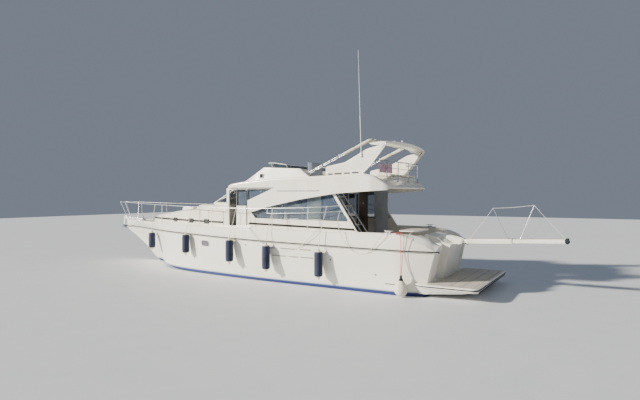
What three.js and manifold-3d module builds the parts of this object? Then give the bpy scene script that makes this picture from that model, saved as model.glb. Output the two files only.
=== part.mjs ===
// A flybridge motor yacht afloat: decked hull, cabin, flybridge, underwater gear and deck fittings.
// Millimetres. +X to the bow, +Y to port, +Z up. The origin is amidships on the centreline, at the water.
import * as THREE from "three";
import { mergeVertices } from "three/addons/utils/BufferGeometryUtils.js";
import Module from "manifold-3d";

const wasm = await Module();
wasm.setup();

// Driving dimensions
const DECK_Z = 1950; // the flush side deck and foredeck
const SOLE_Z = 1250; // bottom of the cockpit and saloon well
const SOLE_TOP = SOLE_Z + 20; // the floor in it
const ROOF_Z = 3500; // underside of the roof moulding
const BRIDGE_Z = 3620; // flybridge floor
const PLATFORM_Z = 440; // top of the bathing platform
const CABIN_Y = 1830; // outer face of the cabin sides
const WALL = 45; // thickness of a moulded wall
const GLASS = 8; // thickness of a pane
const SEAT = 0.3; // gap between pieces that rest on each other
const RUNNING = 0.5; // gap round a turning shaft
const TRANSOM_X = -7540; // transom corner at the height of the platform
const TRANSOM_RAKE = 0.22; // how far the transom leans aft for each unit up
const TRANSOM_BULGE = 180; // how far its middle stands aft of its corners
const SHAFT_Y = 850; // each propeller shaft's distance from the centreline

// Hull stations, from aft to the stem. Half breadths at the chine, side, rub rail and deck.
const HULL_COLUMNS = ["x", "keelZ", "chineY", "chineZ", "sideY", "sideZ", "rubY", "rubZ", "deckY"];
const HULL_STATIONS = [
  [-8300, -560, 1560, -60, 1580, 700, 1580, 1405, 1540],
  [-7500, -600, 1820, -60, 1900, 700, 1930, 1420, 1850],
  [-7000, -640, 2000, -60, 2080, 700, 2110, 1430, 2010],
  [-6500, -680, 2100, -55, 2180, 700, 2210, 1440, 2100],
  [-4000, -780, 2110, -30, 2290, 700, 2350, 1480, 2270],
  [-1000, -850, 2120, -20, 2330, 720, 2430, 1530, 2420],
  [1000, -870, 2010, 0, 2170, 760, 2290, 1570, 2320],
  [2500, -870, 1890, 10, 1990, 800, 2060, 1595, 2060],
  [4000, -820, 1640, 60, 1690, 880, 1760, 1610, 1800],
  [5200, -640, 1120, 220, 1260, 980, 1390, 1620, 1500],
  [6200, -240, 600, 500, 820, 1090, 1010, 1630, 1200],
  [7000, 130, 280, 760, 510, 1190, 710, 1635, 950],
  [7800, 730, 90, 1000, 240, 1290, 430, 1640, 650],
  [8600, 1200, 30, 1290, 90, 1420, 190, 1645, 350],
  [9210, 1560, 12, 1585, 22, 1610, 36, 1650, 70],
  [9260, 1880, 6, 1890, 8, 1900, 10, 1910, 14],
];

// Foredeck trunk stations: half breadth at its foot, height of its shoulder line.
const TRUNK_COLUMNS = ["x", "footY", "topZ"];
const TRUNK_STATIONS = [
  [850, 1790, 2850],
  [1500, 1760, 2850],
  [2600, 1640, 2840],
  [2900, 1590, 2680],
  [3300, 1530, 2615],
  [4000, 1400, 2570],
  [5000, 1160, 2450],
  [6000, 850, 2330],
  [6450, 640, 2200],
  [6650, 470, 2010],
];

const colours = {
  gelcoat: [0xf1ede2, 0.25, 0],
  antifouling: [0x16295c, 0.5, 0],
  teak: [0xb08a5e, 0.7, 0],
  steel: [0xc9ccd0, 0.22, 1],
  bronze: [0xa8843f, 0.35, 1],
  rubber: [0x22252b, 0.6, 0],
  tinted: [0x33465c, 0.08, 0],
  leaf: [0xe9e6dc, 0.3, 0],
  vinyl: [0xded8c8, 0.55, 0],
  canvas: [0xe2dcc6, 0.85, 0],
  curtain: [0xc9d3b4, 0.9, 0],
  navy: [0x1c2438, 0.6, 0],
  buff: [0xe6e2d2, 0.5, 0],
  maroon: [0x7c3442, 0.7, 0],
  engineWhite: [0xd8d8d2, 0.4, 0.2],
  sole: [0x9c7650, 0.6, 0],
  rope: [0xd9d4c4, 0.9, 0],
};

// A closed geometry as a solid, with its faces turned outwards.
function solid(geometry) {
  const bare = new THREE.BufferGeometry();
  bare.setAttribute("position", geometry.getAttribute("position").clone());
  if (geometry.index) bare.setIndex(geometry.index.clone());
  const merged = mergeVertices(bare, 1e-3);
  const source = merged.index.array;
  const build = (flip) => {
    const kept = [];
    for (let i = 0; i < source.length; i += 3) {
      const [a, b, c] = [source[i], source[i + 1], source[i + 2]];
      if (a === b || b === c || c === a) continue;
      kept.push(a, flip ? c : b, flip ? b : c);
    }
    const triVerts = new Uint32Array(kept);
    const vertProperties = new Float32Array(merged.attributes.position.array);
    return new wasm.Manifold(new wasm.Mesh({ numProp: 3, vertProperties, triVerts }));
  };
  const made = build(false);
  return made.volume() < 0 ? build(true) : made;
}

const join = (...pieces) => pieces.flat().reduce((whole, piece) => whole.add(piece));
const cut = (whole, ...tools) => tools.flat().reduce((left, tool) => left.subtract(tool), whole);
const common = (a, b) => a.intersect(b);

// The same solid on the other side of the centreline.
function mirrored(piece) {
  return moved(piece, new THREE.Matrix4().makeScale(1, -1, 1));
}

function geometryOf(piece) {
  const mesh = piece.getMesh();
  const points = new Float32Array(mesh.numVert * 3);
  for (let i = 0; i < mesh.numVert; i++) {
    for (let k = 0; k < 3; k++) points[3 * i + k] = mesh.vertProperties[mesh.numProp * i + k];
  }
  const geometry = new THREE.BufferGeometry();
  geometry.setAttribute("position", new THREE.BufferAttribute(points, 3));
  geometry.setIndex(new THREE.BufferAttribute(new Uint32Array(mesh.triVerts), 1));
  return geometry;
}

function moved(piece, matrix) {
  return solid(geometryOf(piece).applyMatrix4(matrix));
}

// An outline of [a, b] corners, each with an optional radius as its third value.
function outline(corners) {
  const shape = new THREE.Shape();
  const count = corners.length;
  corners.forEach(([a, b, radius = 0], i) => {
    const here = new THREE.Vector2(a, b);
    const before = new THREE.Vector2(...corners[(i + count - 1) % count].slice(0, 2));
    const after = new THREE.Vector2(...corners[(i + 1) % count].slice(0, 2));
    const enter = here.clone().add(before.sub(here).setLength(radius));
    const leave = here.clone().add(after.sub(here).setLength(radius));
    if (i === 0) shape.moveTo(enter.x, enter.y);
    else shape.lineTo(enter.x, enter.y);
    if (radius) shape.quadraticCurveTo(here.x, here.y, leave.x, leave.y);
  });
  shape.closePath();
  return shape;
}

// Columns that put an outline's two axes and its thickness on the boat's axes.
const PLANES = {
  xy: [[1, 0, 0], [0, 1, 0], [0, 0, 1]],
  xz: [[1, 0, 0], [0, 0, 1], [0, 1, 0]],
  yz: [[0, 1, 0], [0, 0, 1], [1, 0, 0]],
};

// A flat outline in a plane, made solid from one height above that plane to another.
function plate(plane, corners, from, to, curveSegments = 4) {
  const shape = Array.isArray(corners) ? outline(corners) : corners;
  const geometry = new THREE.ExtrudeGeometry(shape, {
    depth: to - from,
    bevelEnabled: false,
    curveSegments,
  });
  const [a, b, c] = PLANES[plane].map((axis) => new THREE.Vector3(...axis));
  geometry.translate(0, 0, from);
  return solid(geometry.applyMatrix4(new THREE.Matrix4().makeBasis(a, b, c)));
}

function block(low, high) {
  const size = high.map((value, k) => value - low[k]);
  const middle = high.map((value, k) => (value + low[k]) / 2);
  return solid(new THREE.BoxGeometry(...size).translate(...middle));
}

// A round bar between two points, with its flats or its corners on the given radius.
function bar(from, to, radius, sides = 8, endRadius = radius) {
  const a = new THREE.Vector3(...from);
  const b = new THREE.Vector3(...to);
  const along = b.clone().sub(a);
  const geometry = new THREE.CylinderGeometry(endRadius, radius, along.length(), sides);
  const turn = new THREE.Quaternion().setFromUnitVectors(
    new THREE.Vector3(0, 1, 0),
    along.clone().normalize(),
  );
  geometry.applyQuaternion(turn);
  const middle = a.add(b).multiplyScalar(0.5);
  return solid(geometry.translate(middle.x, middle.y, middle.z));
}

// Corner radius of a many-sided hole whose flats clear a round shaft.
const boreRadius = (shaft, gap, sides) => (shaft + gap) / Math.cos(Math.PI / sides);

// A route of straight runs through given points, with one section at each point.
class Route extends THREE.Curve {
  constructor(points) {
    super();
    this.points = points.map((point) => new THREE.Vector3(...point));
  }
  getPoint(t) {
    const last = this.points.length - 1;
    const i = Math.min(Math.floor(t * last + 1e-6), last - 1);
    return this.points[i].clone().lerp(this.points[i + 1], t * last - i);
  }
  getPointAt(t) {
    return this.getPoint(t);
  }
  getTangentAt(t) {
    const last = this.points.length - 1;
    const i = Math.round(t * last);
    const sum = new THREE.Vector3();
    const add = (j) => sum.add(this.points[j + 1].clone().sub(this.points[j]).normalize());
    if (i > 0) add(i - 1);
    if (i < last) add(i);
    return sum.normalize();
  }
}

// A tube through points, its corners eased by a bend of three sections.
function tube(points, radius, { sides = 8, bend = 0 } = {}) {
  const eased = [];
  points.forEach((point, i) => {
    const here = new THREE.Vector3(...point);
    if (!bend || i === 0 || i === points.length - 1) {
      eased.push(point);
      return;
    }
    const before = new THREE.Vector3(...points[i - 1]).sub(here);
    const after = new THREE.Vector3(...points[i + 1]).sub(here);
    const reach = Math.min(bend, before.length() / 2.2, after.length() / 2.2);
    const enter = here.clone().add(before.setLength(reach));
    const leave = here.clone().add(after.setLength(reach));
    const curve = new THREE.QuadraticBezierCurve3(enter, here, leave);
    for (const t of [0, 0.33, 0.67, 1]) eased.push(curve.getPoint(t).toArray());
  });
  const ring = new THREE.Shape();
  for (let k = 0; k < sides; k++) {
    const angle = (2 * Math.PI * k) / sides;
    const [a, b] = [radius * Math.cos(angle), radius * Math.sin(angle)];
    if (k) ring.lineTo(a, b);
    else ring.moveTo(a, b);
  }
  ring.closePath();
  const geometry = new THREE.ExtrudeGeometry(ring, {
    steps: eased.length - 1,
    extrudePath: new Route(eased),
    bevelEnabled: false,
    curveSegments: 1,
  });
  return solid(geometry);
}

// A closed skin through rings of equally many points, with a flat cap at each end. The second half
// of each ring is split the other way, so that a symmetric ring makes a symmetric skin.
function loft(rings) {
  const count = rings[0].length;
  const points = rings.flat().flat();
  const faces = [];
  for (let r = 0; r + 1 < rings.length; r++) {
    for (let k = 0; k < count; k++) {
      const [a, b] = [r * count + k, r * count + ((k + 1) % count)];
      if (2 * k + 1 < count) faces.push(a, b, b + count, a, b + count, a + count);
      else faces.push(a, b, a + count, b, b + count, a + count);
    }
  }
  const cap = (ring, base, flip) => {
    const corners = ring.map((point) => new THREE.Vector3(...point));
    const normal = new THREE.Vector3();
    corners.forEach((point, i) => {
      normal.add(point.clone().cross(corners[(i + 1) % count]));
    });
    normal.normalize();
    const across = new THREE.Vector3(0.36, 0.48, 0.8).cross(normal).normalize();
    const up = normal.clone().cross(across);
    const flat = corners.map((p) => new THREE.Vector2(p.dot(across), p.dot(up)));
    for (const [a, b, c] of THREE.ShapeUtils.triangulateShape(flat, [])) {
      faces.push(base + a, base + (flip ? c : b), base + (flip ? b : c));
    }
  };
  cap(rings[0], 0, true);
  cap(rings[rings.length - 1], (rings.length - 1) * count, false);
  const geometry = new THREE.BufferGeometry();
  geometry.setAttribute("position", new THREE.Float32BufferAttribute(points, 3));
  geometry.setIndex(faces);
  return solid(geometry);
}

// A table's row at any x, eased between its stations.
function reader(columns, stations) {
  return (x) => {
    const last = stations.length - 1;
    let i = 0;
    while (i < last - 1 && stations[i + 1][0] < x) i++;
    const span = stations[i + 1][0] - stations[i][0];
    const t = Math.min(1, Math.max(0, (x - stations[i][0]) / span));
    const slope = (j, k) => {
      const [before, after] = [stations[Math.max(j - 1, 0)], stations[Math.min(j + 1, last)]];
      return (after[k] - before[k]) / (after[0] - before[0]);
    };
    const row = { x };
    columns.slice(1).forEach((column, n) => {
      const k = n + 1;
      const [p, q] = [stations[i][k], stations[i + 1][k]];
      const [m, w] = [slope(i, k) * span, slope(i + 1, k) * span];
      const a = 2 * p - 2 * q + m + w;
      const b = -3 * p + 3 * q - 2 * m - w;
      row[column] = ((a * t + b) * t + m) * t + p;
    });
    return row;
  };
}

const hullAt = reader(HULL_COLUMNS, HULL_STATIONS);
const trunkAt = reader(TRUNK_COLUMNS, TRUNK_STATIONS);

// How far the hull side is from the centreline at a place and height above the chine.
function sideY(x, z) {
  const row = hullAt(x);
  const line = [
    [row.chineZ, row.chineY],
    [row.sideZ, row.sideY],
    [row.rubZ, row.rubY],
    [DECK_Z, row.deckY],
  ];
  for (let i = 0; i + 1 < line.length; i++) {
    const [[z0, y0], [z1, y1]] = [line[i], line[i + 1]];
    if (z <= z1) return y0 + ((y1 - y0) * (z - z0)) / (z1 - z0);
  }
  return row.deckY;
}

const range = (from, to, count) =>
  Array.from({ length: count }, (_, i) => from + ((to - from) * i) / (count - 1));

const HULL_X = [
  ...range(-8300, -6500, 5),
  ...range(-5500, 3200, 7),
  ...range(4000, 8600, 9),
  9000,
  9210,
  9260,
];

// The hull's outside, grown by a little for whatever is cut to fit against it.
function hullBody(grow) {
  const rings = HULL_X.map((x) => {
    const row = hullAt(x);
    const port = [
      [row.chineY + grow, row.chineZ],
      [row.sideY + grow, row.sideZ],
      [row.rubY + grow, row.rubZ],
      [row.deckY + grow, DECK_Z + grow],
    ];
    const ring = [[x, 0, row.keelZ - grow]];
    for (const [y, z] of port) ring.push([x, y, z]);
    for (const [y, z] of port.slice().reverse()) ring.push([x, -y, z]);
    return ring;
  });
  return common(loft(rings), sternBlock(grow));
}

// Everything forward of the raked and bulging transom, below the falling stern top.
function sternBlock(grow) {
  const reach = 2600;
  const aft = -grow;
  const plan = new THREE.Shape();
  plan.moveTo(aft, -reach);
  plan.lineTo(aft, -1900);
  plan.quadraticCurveTo(aft - 2 * TRANSOM_BULGE, 0, aft, 1900);
  plan.lineTo(aft, reach);
  plan.lineTo(18000, reach);
  plan.lineTo(18000, -reach);
  plan.closePath();
  const upright = plate("xy", plan, -1500, 2600, 8);
  const lean = new THREE.Matrix4().makeShear(0, 0, 0, 0, -TRANSOM_RAKE, 0);
  lean.setPosition(TRANSOM_X + TRANSOM_RAKE * PLATFORM_Z, 0, 0);
  const top = plate(
    "xz",
    [
      [-6600, DECK_Z + 40 + grow],
      [-6700, DECK_Z + grow, 60],
      [-7150, 1905 + grow, 60],
      [-7520, 1790 + grow, 60],
      [-7780, 1630 + grow, 60],
      [-8400, 1500 + grow],
      [-8400, 2700],
      [-6600, 2700],
    ],
    -reach,
    reach,
  );
  return cut(moved(upright, lean), top);
}

const WELL = { aft: -7130, fore: 850, halfY: 1690 };
const ENGINE_ROOM = { aft: -6400, fore: -3300, halfY: 1300, floorZ: -150 };
const PROPELLER = { x: -6380, z: -960, radius: 320, shaft: 30 };
const SHAFT_ANGLE = THREE.MathUtils.degToRad(10);
const SHAFT_END_X = -3450;
const RUDDER = { x: -7000, topZ: -540, depth: 640, stock: 32, headZ: -300 };

const shaftZ = (x) => PROPELLER.z + (x - PROPELLER.x) * Math.tan(SHAFT_ANGLE);

// Boarding steps in the transom, to each side of its middle: depth into the hull above each height.
const STEPS = [
  { z: PLATFORM_Z + 5, depth: 170 },
  { z: 850, depth: 330 },
  { z: 1250, depth: 500 },
];

function transomSteps() {
  return STEPS.map(({ z, depth }) => {
    const mouth = TRANSOM_X - TRANSOM_BULGE - 500;
    const back = TRANSOM_X - 90 + depth;
    return plate(
      "xy",
      [
        [mouth, 760],
        [back, 760, 220],
        [back, 1470, 220],
        [mouth, 1470],
      ],
      z,
      2300,
    );
  });
}

function hull() {
  const { aft, fore, halfY } = WELL;
  const well = block([aft, -halfY, SOLE_Z], [fore, halfY, 2600]);
  const room = ENGINE_ROOM;
  const engineRoom = block(
    [room.aft, -room.halfY, room.floorZ],
    [room.fore, room.halfY, SOLE_Z + 10],
  );
  const holes = [];
  for (const side of [1, -1]) {
    const y = side * SHAFT_Y;
    const from = [-4700, y, shaftZ(-4700)];
    const to = [SHAFT_END_X, y, shaftZ(SHAFT_END_X)];
    holes.push(bar(from, to, boreRadius(PROPELLER.shaft, 8, 16), 16));
    const stock = boreRadius(RUDDER.stock, RUNNING, 24);
    holes.push(bar([RUDDER.x, y, -900], [RUDDER.x, y, RUDDER.headZ + 10], stock, 24));
  }
  const steps = transomSteps();
  return cut(hullBody(0), well, engineRoom, holes, steps, steps.map(mirrored));
}

// A strip along both sides that meets round the stem: inner and outer offset from a hull line.
function sideStrip(column, from, inner, outer, lowZ, highZ) {
  const stations = [from, ...HULL_X.filter((x) => x > from && x < 9200), 9210];
  const halves = [1, -1].map((side) =>
    loft(
      stations.map((x) => {
        const row = hullAt(x);
        const [low, high] = [lowZ(row), highZ(row)];
        return [
          [x, side * Math.max(row[column] + inner, 0), low],
          [x, side * (row[column] + outer), low],
          [x, side * (row[column] + outer), high],
          [x, side * Math.max(row[column] + inner, 0), high],
        ];
      }),
    ),
  );
  return halves;
}

function rubRail() {
  const halves = sideStrip("rubY", -7880, -25, 42, (row) => row.rubZ - 32, (row) => row.rubZ + 32);
  const nose = block([9170, -70, 1618], [9265, 70, 1682]);
  return cut(join(halves, nose), hullBody(0.4));
}

const TOE_RAIL_Z = DECK_Z + SEAT + 42; // top of the toe rail
const CLEATS = [-6300, -790, 7450];

function toeRail() {
  const base = DECK_Z + SEAT;
  const halves = sideStrip("deckY", -6550, -62, -10, () => base, () => base + 42);
  const nose = block([9080, -55, base], [9225, 55, base + 42]);
  const cleats = CLEATS.flatMap((x) =>
    [1, -1].map((side) => {
      const y = side * (hullAt(x).deckY - 36);
      const foot = block([x - 90, y - 36, base], [x + 90, y + 36, base + 60]);
      const horn = bar([x - 150, y, base + 105], [x + 150, y, base + 105], 17, 6);
      const posts = [-45, 45].map((d) => bar([x + d, y, base + 50], [x + d, y, base + 100], 15, 6));
      return join(foot, horn, posts);
    }),
  );
  return join(halves, nose, cleats);
}

function swimPlatform() {
  const profile = plate(
    "xz",
    [
      [-7180, 70],
      [-8700, 215, 300],
      [-9170, 350],
      [-9170, PLATFORM_Z],
      [-7180, PLATFORM_Z],
    ],
    -2600,
    2600,
  );
  const plan = plate(
    "xy",
    [
      [-7180, -2130, 200],
      [-7180, 2130, 200],
      [-7500, 2230, 100],
      [-9170, 2200, 260],
      [-9170, -2200, 260],
      [-7500, -2230, 100],
    ],
    0,
    600,
    5,
  );
  return cut(common(profile, plan), hullBody(0.4));
}

function trunkBody(grow) {
  const stations = [...TRUNK_STATIONS.map(([x]) => x), 2300, 4500, 5500].sort((a, b) => a - b);
  return loft(
    stations.map((x) => {
      const { footY, topZ } = trunkAt(x);
      const base = DECK_Z + SEAT;
      const slope = Math.min(130, (topZ - base) * 0.3);
      const half = [
        [footY + grow, base],
        [footY - slope * 0.35 + grow, Math.max(base + 30, topZ - 160)],
        [footY - slope - 60 + grow, topZ - 20 + grow],
        [footY * 0.5, topZ + 25 + grow],
      ];
      const ring = half.map(([y, z]) => [x, y, z]);
      for (const [y, z] of half.slice().reverse()) ring.push([x, -y, z]);
      return ring;
    }),
  );
}

const HATCH = { aft: 4180, fore: 4860, halfY: 340, seatZ: 2640, thick: 42 };

function foredeckTrunk() {
  const seat = plate(
    "xy",
    [
      [HATCH.aft, -HATCH.halfY, 60],
      [HATCH.fore, -HATCH.halfY, 60],
      [HATCH.fore, HATCH.halfY, 60],
      [HATCH.aft, HATCH.halfY, 60],
    ],
    2400,
    HATCH.seatZ,
  );
  return join(trunkBody(0), seat);
}

function foredeckHatch() {
  const low = HATCH.seatZ + SEAT;
  return plate(
    "xy",
    [
      [HATCH.aft, -HATCH.halfY, 60],
      [HATCH.fore, -HATCH.halfY, 60],
      [HATCH.fore, HATCH.halfY, 60],
      [HATCH.aft, HATCH.halfY, 60],
    ],
    low,
    low + HATCH.thick,
  );
}

const DOOR = { aft: -170, fore: 710, sillZ: 2000, headZ: 3440 };
// The raked aft edge of the cabin sides: x at a height.
const rakedX = (z, inset = 0) => -5060 + 0.672 * (z - DECK_Z) + inset;

const SALOON_WINDOW = [
  [-420, 2575, 30],
  [-640, 2350, 30],
  [rakedX(2330, 140), 2330, 30],
  [rakedX(3290, 140), 3290, 40],
  [-2780, 3130],
  [-1180, 2810],
];
const FRONT_WINDOW = [
  [-235, 3440],
  [-1330, 3440],
  [-235, 3040],
];

function cabinSide() {
  const low = DECK_Z + SEAT;
  const high = ROOF_Z - SEAT;
  const wall = plate(
    "xz",
    [
      [820, low],
      [820, high],
      [rakedX(high), high],
      [rakedX(low), low],
    ],
    CABIN_Y - WALL,
    CABIN_Y,
  );
  const door = plate(
    "xz",
    [
      [DOOR.aft, DOOR.sillZ, 40],
      [DOOR.fore, DOOR.sillZ, 40],
      [DOOR.fore, DOOR.headZ, 40],
      [DOOR.aft, DOOR.headZ, 40],
    ],
    CABIN_Y - 2 * WALL,
    CABIN_Y + WALL,
  );
  const windows = [SALOON_WINDOW, FRONT_WINDOW].map((corners) =>
    plate("xz", corners, CABIN_Y - 2 * WALL, CABIN_Y + WALL),
  );
  return cut(wall, door, windows);
}

function sideGlass() {
  const outer = CABIN_Y - WALL - SEAT;
  return plate(
    "xz",
    [
      [-195, 3490],
      [-195, 2990],
      [-360, 2560],
      [-600, 2300],
      [rakedX(2290, 90), 2290],
      [rakedX(3350, 90), 3350],
      [-3600, 3490],
    ],
    outer - GLASS,
    outer,
  );
}

function sideWing() {
  return plate(
    "xz",
    [
      [-200, 3040],
      [-200, 2590],
      [-560, 2582],
      [-1160, 2750],
      [-2780, 3070],
      [-4230, 3280],
      [-6100, 3395, 60],
      [-6150, ROOF_Z + 20],
      [-1346, ROOF_Z + 20],
    ],
    1875,
    1935,
  );
}

// The sliding door by each helm: solid below, open above, it slides on the deck inside the cabin side.
const LEAF = { aft: -560, fore: 380, outer: 1765, thick: 34, lowZ: DECK_Z + SEAT, highZ: 3450 };

function helmDoor() {
  const leaf = plate(
    "xz",
    [
      [LEAF.aft, LEAF.lowZ, 30],
      [LEAF.fore, LEAF.lowZ, 30],
      [LEAF.fore, LEAF.highZ, 30],
      [LEAF.aft, LEAF.highZ, 30],
    ],
    LEAF.outer - LEAF.thick,
    LEAF.outer,
  );
  const light = plate(
    "xz",
    [
      [LEAF.aft + 60, 2820, 30],
      [LEAF.fore - 60, 2820, 30],
      [LEAF.fore - 60, LEAF.highZ - 60, 30],
      [LEAF.aft + 60, LEAF.highZ - 60, 30],
    ],
    LEAF.outer - 8,
    LEAF.outer + 10,
  );
  return cut(leaf, light);
}

// The aft end of the saloon, with a door that slides across it on the sole.
const BULKHEAD = { x: -3780, thick: 50, halfY: 1680 };
const SALOON_DOOR = { portY: -650, starboardY: -1640, highZ: 3330, x: -3722, thick: 30 };
const BULKHEAD_PANE = [
  [240, 2020, 40],
  [1560, 2020, 40],
  [1560, 3330, 40],
  [240, 3330, 40],
];

function saloonBulkhead() {
  const { x, thick, halfY } = BULKHEAD;
  const wall = plate(
    "yz",
    [
      [-halfY, SOLE_TOP + SEAT],
      [halfY, SOLE_TOP + SEAT],
      [halfY, ROOF_Z - SEAT],
      [-halfY, ROOF_Z - SEAT],
    ],
    x,
    x + thick,
  );
  const doorway = plate(
    "yz",
    [
      [-800, SOLE_Z],
      [70, SOLE_Z],
      [70, 3300, 40],
      [-800, 3300, 40],
    ],
    x - 50,
    x + 100,
  );
  return cut(wall, doorway, plate("yz", BULKHEAD_PANE, x - 50, x + 100));
}

function saloonDoor() {
  const { portY, starboardY, highZ, x, thick } = SALOON_DOOR;
  const lowZ = SOLE_TOP + SEAT;
  const frame = block([x, starboardY, lowZ], [x + thick, portY, highZ]);
  const light = plate(
    "yz",
    [
      [starboardY + 70, lowZ + 95, 30],
      [portY - 70, lowZ + 95, 30],
      [portY - 70, highZ - 70, 30],
      [starboardY + 70, highZ - 70, 30],
    ],
    x + 10,
    x + thick + 10,
  );
  return cut(frame, light);
}

function mainSole() {
  return block(
    [WELL.aft + 20, -WELL.halfY + 10, SOLE_Z + SEAT],
    [WELL.fore - 10, WELL.halfY - 10, SOLE_TOP],
  );
}

// Windscreen corners from the middle to port: foot and head of each upright.
const SCREEN_FOOT = [
  [2600, 0],
  [2470, 780],
  [1860, 1400],
  [880, 1690],
];
const SCREEN_HEAD = [
  [960, 0],
  [930, 720],
  [870, 1300],
  [800, 1690],
];
const SCREEN_LOW = 2900;
const SCREEN_HIGH = 3462;

const bothSides = (points) => [
  ...points.slice(1).reverse().map(([x, y]) => [x, -y]),
  ...points,
];

function windscreenFrame() {
  const foot = bothSides(SCREEN_FOOT).map(([x, y]) => [x, y, SCREEN_LOW]);
  const head = bothSides(SCREEN_HEAD).map(([x, y]) => [x, y, SCREEN_HIGH]);
  const posts = foot.map((point, i) => bar(point, head[i], 30, 6));
  const frame = join(tube(foot, 34, { sides: 6 }), tube(head, 34, { sides: 6 }), posts);
  return cut(frame, trunkBody(0.4));
}

function windscreenGlass() {
  const inward = [-34, 0.035, -50];
  const thick = [-10, 0.006, -12];
  const feet = bothSides(SCREEN_FOOT);
  const heads = bothSides(SCREEN_HEAD);
  const shift = ([x, y, z], [dx, share, dz]) => [x + dx, y * (1 - share), z + dz];
  const glass = loft(
    feet.map(([x, y], i) => {
      const foot = new THREE.Vector3(x, y, SCREEN_LOW);
      const head = new THREE.Vector3(heads[i][0], heads[i][1], SCREEN_HIGH);
      const low = shift(foot.clone().lerp(head, 0.02).toArray(), inward);
      const high = shift(foot.clone().lerp(head, 0.97).toArray(), inward);
      return [low, high, shift(high, thick), shift(low, thick)];
    }),
  );
  return cut(glass, trunkBody(0.4));
}

// Side view of the roof moulding: brim, coaming, side moulding and rounded tail.
const ROOF_PROFILE = [
  [560, ROOF_Z],
  [940, ROOF_Z + 20],
  [960, 3545, 10],
  [560, 3690, 60],
  [-60, 3752, 60],
  [-1020, 4285, 40],
  [-2730, 4204, 40],
  [-3130, 3905, 40],
  [-3860, 3925],
  [-5300, 3970, 60],
  [-5720, 3870, 120],
  [-6260, 3510, 40],
  [-6260, 3440],
  [-6000, ROOF_Z - 60],
  [-5600, ROOF_Z],
];
const ROOF_PLAN = [
  [400, -1990, 240],
  [960, -1450, 500],
  [960, 1450, 500],
  [400, 1990, 240],
  [-5600, 1990, 100],
  [-6260, 1800, 300],
  [-6260, -1800, 300],
  [-5600, -1990, 100],
];
const BRIDGE_WELL = [
  [-1420, -1500, 250],
  [-1420, 1500, 250],
  [-1900, 1740, 100],
  [-5900, 1740, 200],
  [-5900, -1740, 200],
  [-1900, -1740, 100],
];
const LADDER_HATCH = { aft: -4760, fore: -3740, inner: 920, outer: 1560 };
const BIMINI = { footX: -2930, footZ: 4005, legY: 1600, length: 2700, rise: 0.435, tube: 14, hoopGap: 58 };

function flybridgeDeck() {
  const body = common(
    plate("xz", ROOF_PROFILE, -2400, 2400, 3),
    plate("xy", ROOF_PLAN, 3300, 4500, 4),
  );
  const well = plate("xy", BRIDGE_WELL, BRIDGE_Z, 4600);
  const hatch = block(
    [LADDER_HATCH.aft, LADDER_HATCH.inner, 3300],
    [LADDER_HATCH.fore, LADDER_HATCH.outer, 3800],
  );
  const pins = [1, -1].map((side) =>
    bar(
      [BIMINI.footX, side * (BIMINI.legY - 25), BIMINI.footZ],
      [BIMINI.footX, side * 1760, BIMINI.footZ],
      12,
      12,
    ),
  );
  const wing = sideWing();
  return join(cut(body, well, hatch), pins, wing, mirrored(wing));
}

// Height of the coaming's sloping top.
const coamingZ = (x) => 4280 + ((x + 1130) * 80) / 1680;

function flybridgeWindscreen() {
  const path = [
    [-2150, 1835],
    [-1450, 1800],
    [-1130, 1600],
    [-1080, 0],
  ];
  const ring = bothSides(path.slice().reverse());
  return loft(
    ring.map(([x, y]) => {
      const foot = coamingZ(x) + SEAT;
      return [
        [x, y, foot],
        [x + 80, y, foot + 170],
        [x + 70, y * 0.995, foot + 170],
        [x - 10, y * 0.995, foot],
      ];
    }),
  );
}

function flybridgeHelm() {
  const dash = plate(
    "xz",
    [
      [-1430, BRIDGE_Z + SEAT],
      [-1430, 4190, 40],
      [-1520, 4210, 40],
      [-1860, 4060, 40],
      [-1800, BRIDGE_Z + SEAT, 20],
    ],
    80,
    1280,
  );
  return join(dash, wheelStub(FLY_WHEEL, 118));
}

const FLY_WHEEL = { hub: [-1905, 760, 4038], radius: 190 };
const HELM_WHEEL = { hub: [262, -820, 2385], radius: 210 };
const WHEEL_TILT = THREE.MathUtils.degToRad(16);
const BOSS_DEPTH = 30; // from a wheel's plane to the end of its boss

// The fixed stub that a steering wheel turns on, which goes this deep into its dash.
function wheelStub({ hub: [x, y, z] }, depth) {
  const at = (d) => [x + d * Math.cos(WHEEL_TILT), y, z - d * Math.sin(WHEEL_TILT)];
  return bar(at(depth), at(BOSS_DEPTH + SEAT), 30, 12);
}

// A spoked steering wheel standing on its axis, which leans from level.
function steeringWheel({ hub, radius }) {
  const rimSection = [];
  for (let k = 0; k < 6; k++) {
    const angle = (2 * Math.PI * k) / 6;
    rimSection.push(new THREE.Vector2(radius + 14 * Math.cos(angle), 14 * Math.sin(angle)));
  }
  rimSection.push(rimSection[0].clone());
  const rim = solid(new THREE.LatheGeometry(rimSection, 15));
  const spokes = [0, 1, 2, 3, 4].map((k) => {
    const angle = (2 * Math.PI * k) / 5;
    const end = [radius * Math.cos(angle), 0, radius * Math.sin(angle)];
    return bar([0, 0, 0], end, 9, 4);
  });
  const boss = bar([0, -BOSS_DEPTH, 0], [0, 25, 0], 40, 12);
  const upright = join(rim, spokes, boss);
  // The lathe's axis is turned from Y to the shaft, which points aft and up.
  const axis = new THREE.Vector3(-Math.cos(WHEEL_TILT), 0, Math.sin(WHEEL_TILT));
  const turn = new THREE.Quaternion().setFromUnitVectors(new THREE.Vector3(0, 1, 0), axis);
  const matrix = new THREE.Matrix4().makeRotationFromQuaternion(turn);
  matrix.setPosition(...hub);
  return moved(upright, matrix);
}

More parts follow.
